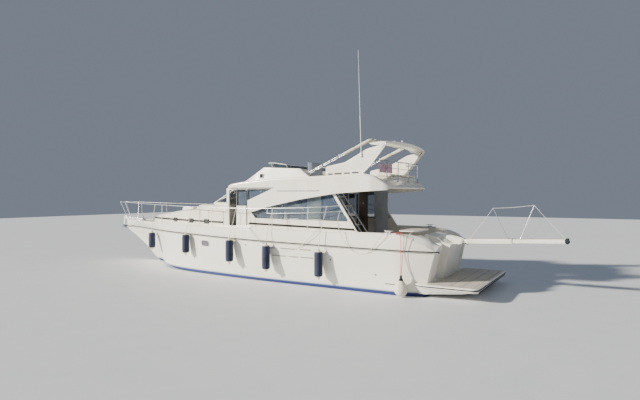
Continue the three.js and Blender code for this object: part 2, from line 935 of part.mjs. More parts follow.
function flybridgeSeat() {
  const base = block([-2860, 520, BRIDGE_Z + SEAT], [-2420, 1320, 3960]);
  const cushion = plate(
    "xz",
    [
      [-2360, 3955],
      [-2360, 4060, 40],
      [-2620, 4070, 40],
      [-2680, 4470, 60],
      [-2880, 4470, 60],
      [-2860, 3955],
    ],
    470,
    1370,
  );
  return join(base, cushion);
}

// The settee round the aft end of the flybridge: a moulded seat and its cushions.
const SETTEE_TOP = 3980;

function bridgeSettee() {
  return plate(
    "xy",
    [
      [-5880, -1700, 180],
      [-5880, 820],
      [-5280, 820],
      [-5280, -1100],
      [-4300, -1100],
      [-4300, -1700],
    ],
    BRIDGE_Z + SEAT,
    SETTEE_TOP,
  );
}

function maroonBackrest() {
  return plate(
    "yz",
    [
      [560, SETTEE_TOP + SEAT, 30],
      [1640, SETTEE_TOP + SEAT, 30],
      [1640, 4330, 40],
      [560, 4330, 40],
    ],
    -5835,
    -5730,
  );
}

const BRIDGE_RAIL = { x: -5990, y: 1690, z: 4400 };
const ARCH_Y = { inner: 1770, outer: 1900 };

function bridgeRail() {
  const { x, y, z } = BRIDGE_RAIL;
  const half = [
    [-5430, ARCH_Y.inner - SEAT, z],
    [-5430, ARCH_Y.inner - 30, z],
    [-5470, y, z],
    [x + 100, y, z],
    [x, y - 100, z],
  ];
  const around = [...half, ...half.slice().reverse().map(([a, b, c]) => [a, -b, c])];
  const top = tube(around, 16, { sides: 6 });
  const pad = (side) => [
    [-5460, Math.min(side * ARCH_Y.inner - side * SEAT, side * (y + 50)), z - 20],
    [-5400, Math.max(side * ARCH_Y.inner - side * SEAT, side * (y + 50)), z + 20],
  ];
  const pads = [1, -1].map((side) => block(...pad(side)));
  const posts = [-1500, -500, 500, 1500].map((py) => bar([x, py, 3600], [x, py, z], 13, 6));
  return cut(join(top, posts, pads), flybridgeGrown());
}

// The roof moulding a little larger, to cut the feet of what stands on it.
function flybridgeGrown() {
  const lift = new THREE.Matrix4().makeTranslation(0, 0, 0.4);
  return moved(flybridgeDeck(), lift);
}

const ARCH_SIDE = [
  [-3810, 3900],
  [-3830, 4240, 60],
  [-4600, 4372, 80],
  [-5440, 4800, 60],
  [-6140, 4950, 40],
  [-5560, 4240, 300],
  [-5200, 3900],
];

function radarArch() {
  const side = plate("xz", ARCH_SIDE, ARCH_Y.inner, ARCH_Y.outer, 4);
  const rings = [
    [1900, -5830, 4975, 300],
    [1500, -5870, 5025, 300],
    [700, -5950, 5060, 290],
    [0, -5980, 5070, 285],
  ];
  const both = [...rings, ...rings.slice(0, -1).reverse().map(([y, ...rest]) => [-y, ...rest])];
  const beam = loft(
    both.map(([y, x, z, chord]) => [
      [x - chord, y, z - 10],
      [x - chord * 0.3, y, z + 40],
      [x + chord * 0.7, y, z + 20],
      [x + chord, y, z - 40],
      [x + chord * 0.6, y, z * 0.4 + 2885],
      [x - chord * 0.4, y, z * 0.4 + 2890],
    ]),
  );
  return cut(join(side, mirrored(side), beam), flybridgeGrown());
}

const WHIP = { foot: [-5240, 1932, 4560], head: [-5120, 1932, 8150] };

function whipAntenna() {
  const { foot, head } = WHIP;
  const bracket = block([foot[0] - 30, 1900.3, foot[2] - 60], [foot[0] + 30, 1950, foot[2] + 60]);
  const at = (t) => foot.map((value, k) => value + (head[k] - value) * t);
  return join(bracket, bar(foot, at(0.3), 15, 8, 12), bar(at(0.29), head, 11, 8, 5));
}

// The folded sun awning: two hoops on one pair of pins, with its canvas rolled round them.
function biminiPoints(offset, y) {
  const { footX, footZ, length, rise } = BIMINI;
  const run = 1 / Math.hypot(1, rise);
  const at = (d) => [
    footX + (offset * rise - d) * run,
    y,
    footZ + (offset + d * rise) * run,
  ];
  return [at(0), at(length)];
}

function biminiFrame() {
  const { legY, tube: r, footX, footZ, hoopGap } = BIMINI;
  const hoops = [0, hoopGap].map((offset) => {
    const [foot, head] = biminiPoints(offset, legY);
    const [otherFoot, otherHead] = biminiPoints(offset, -legY);
    return tube([foot, head, otherHead, otherFoot], r, { sides: 6, bend: 160 });
  });
  const feet = [1, -1].map((side) => {
    const y = side * legY;
    const eye = bar([footX, y - 20, footZ], [footX, y + 20, footZ], 34, 12);
    return join(eye, bar(biminiPoints(0, y)[0], biminiPoints(hoopGap, y)[0], r, 6));
  });
  const rungs = [0.25, 0.5, 0.75].flatMap((t) =>
    [1, -1].map((side) => {
      const at = (offset) => {
        const [a, b] = biminiPoints(offset, side * legY);
        return a.map((value, k) => value + (b[k] - value) * t);
      };
      return bar(at(0), at(hoopGap), 8, 4);
    }),
  );
  const holes = [1, -1].map((side) => {
    const y = side * legY;
    return bar([footX, y - 60, footZ], [footX, y + 60, footZ], boreRadius(12, RUNNING, 12), 12);
  });
  return cut(join(hoops, feet, rungs), holes);
}

function biminiCanvas() {
  const half = 1400;
  const [, middle] = biminiPoints(BIMINI.hoopGap / 2, 0);
  const roll = bar([middle[0], -half, middle[2]], [middle[0], half, middle[2]], 78, 12);
  const holes = [0, BIMINI.hoopGap].map((offset) => {
    const [, [x, , z]] = biminiPoints(offset, 0);
    return bar([x, -half - 50, z], [x, half + 50, z], BIMINI.tube + 1, 12);
  });
  return cut(roll, holes);
}

// The ladder from the cockpit to the flybridge, beside the port raked frame.
function bridgeLadder() {
  const at = (z) => -5500 + 0.72 * (z - SOLE_Z);
  const [low, high] = [SOLE_TOP + SEAT, 3600];
  const stringers = [1020, 1440].map((y) => tube([[at(low), y, low], [at(high), y, high]], 20, { sides: 6 }));
  const foot = [1020, 1440].map((y) =>
    block([at(low) - 45, y - 30, low], [at(low) + 45, y + 30, low + 15]),
  );
  const treads = range(1530, 3480, 7).map((z) => block([at(z) - 70, 1030, z], [at(z) + 70, 1430, z + 32]));
  const lean = join(stringers, foot, treads);
  return cut(lean, block([-7000, 0, 0], [0, 3000, low]));
}

// Guard rails: stations of the top rail, from the bow aft, with the height and the inboard set.
const RAIL_COLUMNS = ["x", "y", "z"];
const RAIL_PATH = [
  [9560, 170, 2880],
  [9480, 170, 2880],
  [9150, 310, 2875],
  [8200, 560, 2850],
  [7160, 790, 2820],
  [5120, 1340, 2780],
  [2190, 1940, 2730],
  [-240, 2190, 2720],
  [-1750, 2200, 2740],
  [-3300, 2090, 2790],
  [-4000, 1960, 2830],
  [-4330, 1850, 2860],
];
const MID_RAIL = { x: [-1500, -2400, -3300, -4000, -4450], drop: 190 };
// Each stanchion, as [x of its foot, how far forward its head leans].
const STANCHIONS = [
  [8700, 150],
  [7160, 60],
  [5120, 30],
  [2190, 30],
  [1380, 30],
  [-240, 30],
  [-1750, 30],
  [-3250, 30],
];
const STANCHION_INSET = 128; // from the deck edge to the middle of a stanchion's foot

const railAt = reader(
  RAIL_COLUMNS,
  RAIL_PATH.slice().sort((a, b) => a[0] - b[0]),
);

const RAIL_RADIUS = 15;

// The top rail, with a section at each stanchion's head, grown for what is tied to it.
function topRail(grow) {
  const heads = STANCHIONS.map(([x, lean]) => x + lean);
  const along = [...RAIL_PATH.map(([x]) => x), ...heads].sort((a, b) => b - a);
  const last = along.length - 1;
  const spaced = along.filter((x, i) => i === 0 || i === last || along[i - 1] - x > 35);
  const points = spaced.map((x) => [x, railAt(x).y, railAt(x).z]);
  return tube(points, RAIL_RADIUS + grow, { sides: 6 });
}

function guardRail() {
  const base = DECK_Z + SEAT;
  const mid = MID_RAIL.x.map((x) => {
    const p = railAt(x);
    return [x, x < -4330 ? 1850 : p.y + 24, p.z - MID_RAIL.drop];
  });
  const posts = STANCHIONS.map(([x, lean]) => {
    const head = railAt(x + lean);
    const footY = hullAt(x).deckY - STANCHION_INSET;
    const flange = bar([x, footY, base], [x, footY, base + 16], 36, 8);
    return join(bar([x, footY, base + 8], [x + lean, head.y, head.z], 12, 6), flange);
  });
  const start = railAt(MID_RAIL.x[0]);
  const brace = bar([start.x, start.y, start.z], mid[0], 12, 6);
  const pad = ([x, y, z]) =>
    block([x - 25, CABIN_Y + SEAT, z - 25], [x + 25, y + 12, z + 25]);
  const pads = [RAIL_PATH[RAIL_PATH.length - 1], mid[mid.length - 1]].map(pad);
  return join(topRail(0), tube(mid, 12, { sides: 6 }), posts, brace, pads);
}

// The bow pulpit closes the two guard rails round the stem.
function pulpit() {
  const base = TOE_RAIL_Z + SEAT;
  const { y, z } = railAt(9560);
  const front = tube(
    [
      [9560 + SEAT, y, z],
      [9580, y, z],
      [9640, y - 40, z],
      [9680, 0, z],
      [9640, -y + 40, z],
      [9580, -y, z],
      [9560 + SEAT, -y, z],
    ],
    15,
    { sides: 6 },
  );
  const legs = [1, -1].map((side) => {
    const foot = [9080, side * 95, base + 8];
    const stay = bar(foot, [9640, side * (y - 40), z], 13, 6);
    return join(stay, block([9040, side * 95 - 20, base], [9120, side * 95 + 20, base + 20]));
  });
  return join(front, legs);
}

function anchorRoller() {
  const base = TOE_RAIL_Z + SEAT;
  const cheeks = [46, -58].map((y) =>
    plate(
      "xz",
      [
        [8450, base],
        [9400, base],
        [9440, base + 50, 30],
        [9380, base + 110, 30],
        [8450, base + 60],
      ],
      y,
      y + 12,
    ),
  );
  const bed = block([8450, -46.5, base], [9240, 46.5, base + 14]);
  const pad = block([8450, -46.5, DECK_Z + SEAT], [8900, 46.5, base + 1]);
  const roller = bar([9370, -47, base + 60], [9370, 47, base + 60], 30, 12);
  return join(cheeks, bed, pad, roller);
}

function anchor() {
  const z = TOE_RAIL_Z + SEAT + 14;
  const shank = plate(
    "xz",
    [
      [8600, z - 4],
      [9230, z - 4],
      [9315, z + 70],
      [9410, z + 70],
      [9425, z - 40],
      [9480, z - 300],
      [9560, z - 330],
      [9530, z + 20],
      [9480, z + 150],
      [9300, z + 150],
      [9200, z + 70],
      [8600, z + 50],
    ],
    -16,
    16,
  );
  const fluke = loft([
    [[9600, 0, z - 300], [9560, 0, z - 350], [9580, 6, z - 330]],
    [[9560, 0, z - 300], [9420, 0, z - 480], [9500, 150, z - 420]],
    [[9330, 0, z - 430], [9290, 0, z - 460], [9310, 10, z - 450]],
  ]);
  return join(shank, fluke, mirrored(fluke));
}

function windlass() {
  const base = DECK_Z + SEAT;
  const body = plate(
    "xy",
    [
      [7950, -110, 40],
      [8230, -110, 40],
      [8230, 110, 40],
      [7950, 110, 40],
    ],
    base,
    base + 90,
  );
  const drum = bar([8090, 0, base + 80], [8090, 0, base + 190], 62, 16, 50);
  const cap = bar([8090, 0, base + 180], [8090, 0, base + 215], 66, 16);
  return join(body, drum, cap);
}

// The boarding gangway, hinged on the transom and reaching aft.
const GANGWAY = { hingeX: -8110, hingeZ: 1665, reach: 3290, halfY: 200, deep: 160, rise: 0.042 };

function gangwayBase() {
  const { hingeX, hingeZ } = GANGWAY;
  const body = plate(
    "xz",
    [
      [-7620, 1500],
      [-7620, 1850, 40],
      [-7950, 1800, 60],
      [hingeX - 70, hingeZ + 70, 60],
      [hingeX - 70, hingeZ - 70, 60],
      [-7960, 1500],
    ],
    -140,
    140,
  );
  const slot = block([hingeX - 200, -92, 1300], [hingeX + 100, 92, 2100]);
  const pin = bar([hingeX, -135, hingeZ], [hingeX, 135, hingeZ], 22, 16);
  return join(cut(body, slot, hullBody(0.4)), pin);
}

function gangway() {
  const { hingeX, hingeZ, reach, halfY, deep, rise } = GANGWAY;
  const at = (d, up) => [hingeX - d, hingeZ + d * rise + up];
  const half = deep / 2;
  const root = plate(
    "xz",
    [at(-48, -48).concat(30), at(-48, 48).concat(30), at(420, half), at(420, -half)],
    -86,
    86,
  );
  const box = plate(
    "xz",
    [at(210, -half), at(210, half), at(reach, half), at(reach, -half + 30).concat(30)],
    -halfY,
    halfY,
  );
  const bore = bar(
    [hingeX, -200, hingeZ],
    [hingeX, 200, hingeZ],
    boreRadius(22, RUNNING, 24),
    24,
  );
  const y = halfY - 22;
  const lift = half - 10;
  const foot = (d) => [at(d, lift)[0], y, at(d, lift)[1]];
  const posts = [
    [1540, [-9180, y, 2800]],
    [1910, [-10430, y, 2910]],
  ];
  const poles = posts.map(([d, head]) => bar(foot(d), head, 11, 8));
  const ropes = [
    bar(foot(300), posts[0][1], 5, 6),
    bar(posts[0][1], posts[1][1], 5, 6),
    bar(posts[1][1], foot(reach - 60), 5, 6),
  ];
  return join(cut(join(root, box), bore), poles, ropes);
}

function cockpitTable() {
  const top = plate(
    "xy",
    [
      [-7050, 80, 120],
      [-7050, 1480, 120],
      [-6350, 1480, 120],
      [-6350, 80, 120],
    ],
    2010,
    2045,
    4,
  );
  const leg = bar([-6560, 780, SOLE_TOP + SEAT], [-6560, 780, 2015], 45, 12);
  const foot = bar([-6560, 780, SOLE_TOP + SEAT], [-6560, 780, SOLE_Z + 40], 130, 16);
  return join(top, leg, foot);
}

function cockpitBench() {
  return block([-7100, -1450, SOLE_TOP + SEAT], [-6720, 1450, 1710]);
}

const ENGINE = { aft: -5650, fore: -4150, middleY: 760, halfWidth: 380, high: 920 };

function engines() {
  const low = ENGINE_ROOM.floorZ + SEAT;
  const { aft, fore, middleY, halfWidth, high } = ENGINE;
  const port = block(
    [aft, middleY - halfWidth, low],
    [fore, middleY + halfWidth, low + high],
  );
  const bearers = [aft + 250, fore - 350].map((x) =>
    block([x, -middleY, low], [x + 100, middleY, low + 90]),
  );
  return join(port, mirrored(port), bearers);
}

// The propeller turns on its shaft's axis, which falls aft.
function propeller() {
  const { x, radius, shaft } = PROPELLER;
  const cosine = Math.cos(SHAFT_ANGLE);
  const shaftLength = (SHAFT_END_X - 30 - x) / cosine;
  const axle = bar([-150, 0, 0], [shaftLength, 0, 0], shaft, 16);
  const hub = bar([-130, 0, 0], [100, 0, 0], 50, 12, 62);
  const nose = bar([-210, 0, 0], [-125, 0, 0], 14, 12, 50);
  const blades = [0, 1, 2, 3].map((k) => {
    const blade = loft(
      [
        [20, 62, 0.95],
        [radius * 0.55, 120, 0.6],
        [radius * 0.85, 105, 0.42],
        [radius, 40, 0.35],
      ].map(([reach, half, pitch]) => {
        const [c, s] = [Math.cos(pitch), Math.sin(pitch)];
        return [
          [-half * s, -half * c, reach],
          [5 * c, -5 * s, reach],
          [half * s, half * c, reach],
          [-5 * c, 5 * s, reach],
        ];
      }),
    );
    return moved(blade, new THREE.Matrix4().makeRotationX((k * Math.PI) / 2));
  });
  const level = join(axle, hub, nose, blades);
  const lean = new THREE.Matrix4().makeRotationY(-SHAFT_ANGLE);
  lean.setPosition(x, SHAFT_Y, PROPELLER.z);
  return moved(level, lean);
}

// The bracket that carries the shaft just ahead of the propeller.
function shaftBracket() {
  const { x, shaft } = PROPELLER;
  const at = (d) => {
    const px = x + d * Math.cos(SHAFT_ANGLE);
    return [px, SHAFT_Y, shaftZ(px)];
  };
  const barrel = bar(at(140), at(380), 56, 16);
  const hole = bar(at(0), at(600), boreRadius(shaft, RUNNING, 24), 24);
  const legs = [-260, 170].map((reach) =>
    loft([
      [
        [at(180)[0], SHAFT_Y - 8, at(180)[2] + 20],
        [at(260)[0], SHAFT_Y - 16, at(260)[2] + 20],
        [at(340)[0], SHAFT_Y - 8, at(340)[2] + 20],
        [at(340)[0], SHAFT_Y + 8, at(340)[2] + 20],
        [at(260)[0], SHAFT_Y + 16, at(260)[2] + 20],
        [at(180)[0], SHAFT_Y + 8, at(180)[2] + 20],
      ],
      [
        [at(200)[0], SHAFT_Y + reach - 8, -300],
        [at(280)[0], SHAFT_Y + reach - 16, -300],
        [at(360)[0], SHAFT_Y + reach - 8, -300],
        [at(360)[0], SHAFT_Y + reach + 8, -300],
        [at(280)[0], SHAFT_Y + reach + 16, -300],
        [at(200)[0], SHAFT_Y + reach + 8, -300],
      ],
    ]),
  );
  return cut(join(barrel, legs), hole, hullBody(0.4));
}

function rudder() {
  const { x, topZ, depth, stock, headZ } = RUDDER;
  const blade = plate(
    "xz",
    [
      [x + 130, topZ],
      [x - 300, topZ],
      [x - 270, topZ - depth, 60],
      [x + 90, topZ - depth, 60],
    ],
    SHAFT_Y - 26,
    SHAFT_Y + 26,
  );
  return join(blade, bar([x, SHAFT_Y, topZ - depth + 60], [x, SHAFT_Y, headZ - 20], stock, 16));
}

// Interior that shows through the glass.
function helmConsole() {
  const low = SOLE_TOP + SEAT;
  const body = plate(
    "xz",
    [
      [840, low],
      [840, 2790],
      [700, 2790, 40],
      [380, 2560, 40],
      [330, 2250, 60],
      [480, 2150, 40],
      [480, low],
    ],
    -1500,
    150,
  );
  return join(body, wheelStub(HELM_WHEEL, 120));
}

function helmSeat() {
  const low = SOLE_TOP + SEAT;
  const base = block([-620, -1180, low], [-220, -480, 1720]);
  const cushion = plate(
    "xz",
    [
      [-180, 1715],
      [-180, 1850, 50],
      [-520, 1850, 40],
      [-580, 2500, 60],
      [-720, 2500, 60],
      [-680, 1715],
    ],
    -1230,
    -430,
  );
  return join(base, cushion);
}

function saloonSofa() {
  const low = SOLE_TOP + SEAT;
  return plate(
    "yz",
    [
      [900, low],
      [900, 1700, 60],
      [1380, 1720, 40],
      [1460, 2260, 60],
      [1660, 2260, 60],
      [1660, low],
    ],
    -3400,
    -1000,
  );
}

// Curtains hang in folds from a rail inside each cabin side: ends of each panel.
const CURTAINS = [
  [-3500, -2900],
  [-1570, -1330],
];

const AFT_CURTAINS = [[-4680, -4080]];

function curtainSet(panels, low) {
  const rail = bar([panels[0][0] - 60, 1660, 3420], [panels[panels.length - 1][1] + 60, 1660, 3420], 12, 8);
  const hung = panels.map(([aft, fore]) => block([aft, 1640, low], [fore, 1680, 3425]));
  const ends = [panels[0][0] - 40, panels[panels.length - 1][1] + 40].map((x) =>
    block([x - 12, 1650, 3420], [x + 12, 1670, ROOF_Z - SEAT]),
  );
  return join(rail, hung, ends);
}

// Fenders: place along the hull, height of the body's ends.
const FENDER_RADIUS = 150;
const RUB_PROUD = 42;
const LANYARD = 8;
const FENDERS = [
  [5790, 700, 1600],
  [2740, 740, 1690],
  [40, 600, 1620],
  [-1740, 450, 1500],
  [-3920, 350, 1400],
];

function fender([x, low, high]) {
  const y = hullAt(x).rubY + RUB_PROUD + FENDER_RADIUS + 4;
  const profile = [
    [0, low],
    [38, low],
    [52, low + 60],
    [FENDER_RADIUS * 0.8, low + 110],
    [FENDER_RADIUS, low + 190],
    [FENDER_RADIUS, high - 190],
    [FENDER_RADIUS * 0.8, high - 110],
    [52, high - 60],
    [38, high],
    [0, high],
  ].map(([r, z]) => new THREE.Vector2(r, z));
  const body = new THREE.LatheGeometry(profile, 14);
  body.rotateX(Math.PI / 2).translate(x, y, 0);
  const rail = railAt(x);
  const over = [x, Math.max(hullAt(x).deckY, hullAt(x).rubY + RUB_PROUD) + 14, TOE_RAIL_Z + 12];
  const lanyard = tube([[x, y, high - 20], over, [x, rail.y, rail.z]], LANYARD, { sides: 6 });
  return join(solid(body), cut(lanyard, topRail(SEAT)));
}

function ballFender() {
  const x = -6830;
  const radius = 215;
  const y = sideY(x, 300) + radius + 30;
  const middle = 250;
  const profile = [[0, middle - radius]];
  for (let k = 1; k < 8; k++) {
    const angle = -Math.PI / 2 + (Math.PI * k) / 9;
    profile.push([radius * Math.cos(angle), middle + radius * Math.sin(angle)]);
  }
  profile.push([62, middle + radius + 20], [40, 700], [0, 700]);
  const body = new THREE.LatheGeometry(
    profile.map(([r, z]) => new THREE.Vector2(r, z)),
    16,
  );
  body.rotateX(Math.PI / 2).translate(x, y, 0);
  const above = TOE_RAIL_Z + LANYARD * 0.9 + SEAT; // its flats are nearer than its corners
  const route = [
    [x, y, 690],
    [x + 20, hullAt(x).rubY + RUB_PROUD + 14, 1960],
    [-6560, hullAt(-6560).deckY + 4, above + 4],
    [-6470, hullAt(-6470).deckY - 36, above],
  ];
  return join(solid(body), tube(route, LANYARD, { sides: 6 }));
}

// Two spare lines hang in bights over the port side: points along each, from its forward end.
const ROPE_RADIUS = 9;
const HANGING_LINES = [
  [
    [-790, 2388, 2022],
    [-805, 2440, 2021],
    [-835, 2474, 1990],
    [-920, 2484, 1930],
    [-1040, 2486, 1815],
    [-1220, 2488, 1645],
    [-1405, 2488, 1505],
    [-1490, 2470, 1450],
    [-1585, 2429, 1390],
    [-1765, 2417, 1295],
    [-1945, 2408, 1230],
    [-2130, 2401, 1195],
    [-2310, 2395, 1180],
    [-2490, 2392, 1195],
    [-2670, 2391, 1230],
    [-2855, 2392, 1295],
    [-3035, 2408, 1390],
    [-3110, 2440, 1442],
    [-3215, 2440, 1505],
    [-3395, 2431, 1645],
    [-3570, 2423, 1815],
    [-3690, 2395, 1945],
    [-3760, 2340, 2003.6],
    [-3790, 2245, 2001.6],
  ],
  [
    [-4400, 1880, 2652],
    [-4410, 1960, 2600],
    [-4440, 2090, 2480],
    [-4500, 2220, 2310],
    [-4590, 2330, 2120],
    [-4680, 2376, 1960],
    [-4780, 2372, 1765],
    [-4910, 2366, 1585],
    [-5035, 2366, 1445],
    [-5090, 2350, 1392],
    [-5165, 2309, 1345],
    [-5290, 2294, 1285],
    [-5415, 2287, 1270],
    [-5545, 2281, 1290],
    [-5670, 2294, 1355],
    [-5735, 2322, 1402],
    [-5800, 2324, 1465],
    [-5925, 2308, 1610],
    [-6055, 2296, 1800],
    [-6160, 2250, 1965],
    [-6235, 2165, 2028],
    [-6290, 2092, 2020],
  ],
];

function hangingLine(route) {
  return tube(route, ROPE_RADIUS, { sides: 8 });
}

const yacht = new THREE.Group();

function place(name, piece, finish) {
  const [color, roughness, metalness] = colours[finish];
  const material = new THREE.MeshStandardMaterial({ color, roughness, metalness });
  const mesh = new THREE.Mesh(geometryOf(piece), material);
  mesh.name = name;
  yacht.add(mesh);
}

function placePair(name, piece, finish) {
  place("port_" + name, piece, finish);
  place("starboard_" + name, mirrored(piece), finish);
}

place("hull", hull(), "gelcoat");
place("rub_rail", rubRail(), "rubber");
place("toe_rail", toeRail(), "gelcoat");
place("swim_platform", swimPlatform(), "teak");
place("foredeck_trunk", foredeckTrunk(), "gelcoat");
place("foredeck_hatch", foredeckHatch(), "tinted");
placePair("cabin_side", cabinSide(), "gelcoat");
placePair("side_glass", sideGlass(), "tinted");
placePair("helm_door", helmDoor(), "leaf");
place("saloon_bulkhead", saloonBulkhead(), "gelcoat");
place("saloon_door", saloonDoor(), "steel");
place("main_sole", mainSole(), "sole");
place("windscreen_frame", windscreenFrame(), "gelcoat");
place("windscreen_glass", windscreenGlass(), "tinted");
place("flybridge_deck", flybridgeDeck(), "gelcoat");
place("flybridge_windscreen", flybridgeWindscreen(), "tinted");
place("flybridge_helm", flybridgeHelm(), "gelcoat");
place("flybridge_wheel", steeringWheel(FLY_WHEEL), "steel");
place("flybridge_seat", flybridgeSeat(), "vinyl");
place("flybridge_settee", bridgeSettee(), "gelcoat");
place("settee_backrest", maroonBackrest(), "maroon");
place("flybridge_rail", bridgeRail(), "steel");
place("radar_arch", radarArch(), "gelcoat");
place("whip_antenna", whipAntenna(), "leaf");
place("awning_frame", biminiFrame(), "steel");
place("awning_canvas", biminiCanvas(), "canvas");
place("flybridge_ladder", bridgeLadder(), "steel");
placePair("guard_rail", guardRail(), "steel");
place("bow_pulpit", pulpit(), "steel");
place("anchor_gear", join(anchorRoller(), anchor()), "steel");
place("windlass", windlass(), "steel");
place("gangway_base", gangwayBase(), "gelcoat");
place("gangway", gangway(), "gelcoat");
place("cockpit_table", cockpitTable(), "gelcoat");
place("cockpit_bench", cockpitBench(), "gelcoat");
place("engines", engines(), "engineWhite");
placePair("propeller", propeller(), "bronze");
placePair("shaft_bracket", shaftBracket(), "bronze");
placePair("rudder", rudder(), "antifouling");
place("helm_console", helmConsole(), "leaf");
place("helm_wheel", steeringWheel(HELM_WHEEL), "rubber");
place("helm_seat", helmSeat(), "vinyl");
place("saloon_sofa", saloonSofa(), "vinyl");
place("port_curtains", curtainSet(CURTAINS, 2300), "curtain");
place("starboard_curtains", mirrored(curtainSet(AFT_CURTAINS, 1330)), "curtain");
FENDERS.forEach((row, i) => place("fender_" + (i + 1), fender(row), "navy"));
place("ball_fender", ballFender(), "buff");
HANGING_LINES.forEach((route, i) => place("hanging_line_" + (i + 1), hangingLine(route), "rope"));

export default yacht;
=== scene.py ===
# The finished surfaces of a flybridge motor yacht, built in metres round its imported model.
# +X to the bow, +Y to port, +Z up. The origin is amidships on the centreline, at the water.
import math

import bmesh
import bpy
import numpy as np
from mathutils import Matrix, Vector
from mathutils.geometry import tessellate_polygon


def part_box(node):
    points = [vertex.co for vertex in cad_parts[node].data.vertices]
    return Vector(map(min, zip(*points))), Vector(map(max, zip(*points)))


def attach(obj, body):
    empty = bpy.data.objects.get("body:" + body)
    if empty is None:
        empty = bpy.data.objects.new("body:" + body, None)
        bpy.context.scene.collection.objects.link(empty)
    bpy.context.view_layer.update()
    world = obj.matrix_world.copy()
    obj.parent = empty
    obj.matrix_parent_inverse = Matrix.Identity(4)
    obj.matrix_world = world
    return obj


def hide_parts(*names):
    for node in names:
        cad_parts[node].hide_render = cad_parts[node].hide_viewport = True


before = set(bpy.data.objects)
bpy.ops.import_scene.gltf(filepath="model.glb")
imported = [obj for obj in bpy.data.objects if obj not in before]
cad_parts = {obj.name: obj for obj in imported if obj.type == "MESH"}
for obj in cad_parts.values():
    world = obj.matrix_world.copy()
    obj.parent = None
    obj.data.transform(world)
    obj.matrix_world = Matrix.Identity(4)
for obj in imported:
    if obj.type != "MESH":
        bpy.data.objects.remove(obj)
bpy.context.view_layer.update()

# Driving dimensions, in metres
DECK_Z = 1.95
SOLE_TOP = 1.27
BRIDGE_Z = 3.62
PLATFORM_Z = 0.44
CABIN_Y = 1.83
GLASS_Y = 1.7847
TRANSOM_X = -7.54
TRANSOM_RAKE = 0.22
TRANSOM_BULGE = 0.18
SHAFT_Y = 0.85
RUB_PROUD = 0.042
TOE_RAIL_Z = 1.9923
RAIL_RADIUS = 0.015
ROPE_DIAMETER = 0.018
SEAT_GAP = 0.0003  # between a fitting and what it stands on
ON_DECK, ON_SOLE = DECK_Z + SEAT_GAP, SOLE_TOP + SEAT_GAP
ON_BRIDGE, ON_TOE_RAIL = BRIDGE_Z + SEAT_GAP, TOE_RAIL_Z + SEAT_GAP
UP = (0, 0, 1)

HULL_COLUMNS = ["x", "keelZ", "chineY", "chineZ", "sideY", "sideZ", "rubY", "rubZ", "deckY"]
HULL_STATIONS = [
    [-8.3, -0.56, 1.56, -0.06, 1.58, 0.7, 1.58, 1.405, 1.54],
    [-7.5, -0.6, 1.82, -0.06, 1.9, 0.7, 1.93, 1.42, 1.85],
    [-7.0, -0.64, 2.0, -0.06, 2.08, 0.7, 2.11, 1.43, 2.01],
    [-6.5, -0.68, 2.1, -0.055, 2.18, 0.7, 2.21, 1.44, 2.1],
    [-4.0, -0.78, 2.11, -0.03, 2.29, 0.7, 2.35, 1.48, 2.27],
    [-1.0, -0.85, 2.12, -0.02, 2.33, 0.72, 2.43, 1.53, 2.42],
    [1.0, -0.87, 2.01, 0.0, 2.17, 0.76, 2.29, 1.57, 2.32],
    [2.5, -0.87, 1.89, 0.01, 1.99, 0.8, 2.06, 1.595, 2.06],
    [4.0, -0.82, 1.64, 0.06, 1.69, 0.88, 1.76, 1.61, 1.8],
    [5.2, -0.64, 1.12, 0.22, 1.26, 0.98, 1.39, 1.62, 1.5],
    [6.2, -0.24, 0.6, 0.5, 0.82, 1.09, 1.01, 1.63, 1.2],
    [7.0, 0.13, 0.28, 0.76, 0.51, 1.19, 0.71, 1.635, 0.95],
    [7.8, 0.73, 0.09, 1.0, 0.24, 1.29, 0.43, 1.64, 0.65],
    [8.6, 1.2, 0.03, 1.29, 0.09, 1.42, 0.19, 1.645, 0.35],
    [9.21, 1.56, 0.012, 1.585, 0.022, 1.61, 0.036, 1.65, 0.07],
    [9.26, 1.88, 0.006, 1.89, 0.008, 1.9, 0.01, 1.91, 0.014],
]
TRUNK_COLUMNS = ["x", "footY", "topZ"]
TRUNK_STATIONS = [
    [0.85, 1.79, 2.85],
    [1.5, 1.76, 2.85],
    [2.6, 1.64, 2.84],
    [2.9, 1.59, 2.68],
    [3.3, 1.53, 2.615],
    [4.0, 1.4, 2.57],
    [5.0, 1.16, 2.45],
    [6.0, 0.85, 2.33],
    [6.45, 0.64, 2.2],
    [6.65, 0.47, 2.01],
]
RAIL_COLUMNS = ["x", "y", "z"]
RAIL_PATH = [
    [-4.33, 1.85, 2.86],
    [-4.0, 1.96, 2.83],
    [-3.3, 2.09, 2.79],
    [-1.75, 2.2, 2.74],
    [-0.24, 2.19, 2.72],
    [2.19, 1.94, 2.73],
    [5.12, 1.34, 2.78],
    [7.16, 0.79, 2.82],
    [8.2, 0.56, 2.85],
    [9.15, 0.31, 2.875],
    [9.48, 0.17, 2.88],
    [9.56, 0.17, 2.88],
]


def reader(columns, stations):
    """A table's row at any x, eased between its stations."""

    def row_at(x):
        last = len(stations) - 1
        i = 0
        while i < last - 1 and stations[i + 1][0] < x:
            i += 1
        span = stations[i + 1][0] - stations[i][0]
        t = min(1.0, max(0.0, (x - stations[i][0]) / span))

        def slope(j, k):
            before, after = stations[max(j - 1, 0)], stations[min(j + 1, last)]
            return (after[k] - before[k]) / (after[0] - before[0])

        row = {"x": x}
        for k, column in enumerate(columns[1:], 1):
            p, q = stations[i][k], stations[i + 1][k]
            m, w = slope(i, k) * span, slope(i + 1, k) * span
            a = 2 * p - 2 * q + m + w
            b = -3 * p + 3 * q - 2 * m - w
            row[column] = ((a * t + b) * t + m) * t + p
        return row

    return row_at


hull_at = reader(HULL_COLUMNS, HULL_STATIONS)
trunk_at = reader(TRUNK_COLUMNS, TRUNK_STATIONS)
rail_at = reader(RAIL_COLUMNS, RAIL_PATH)


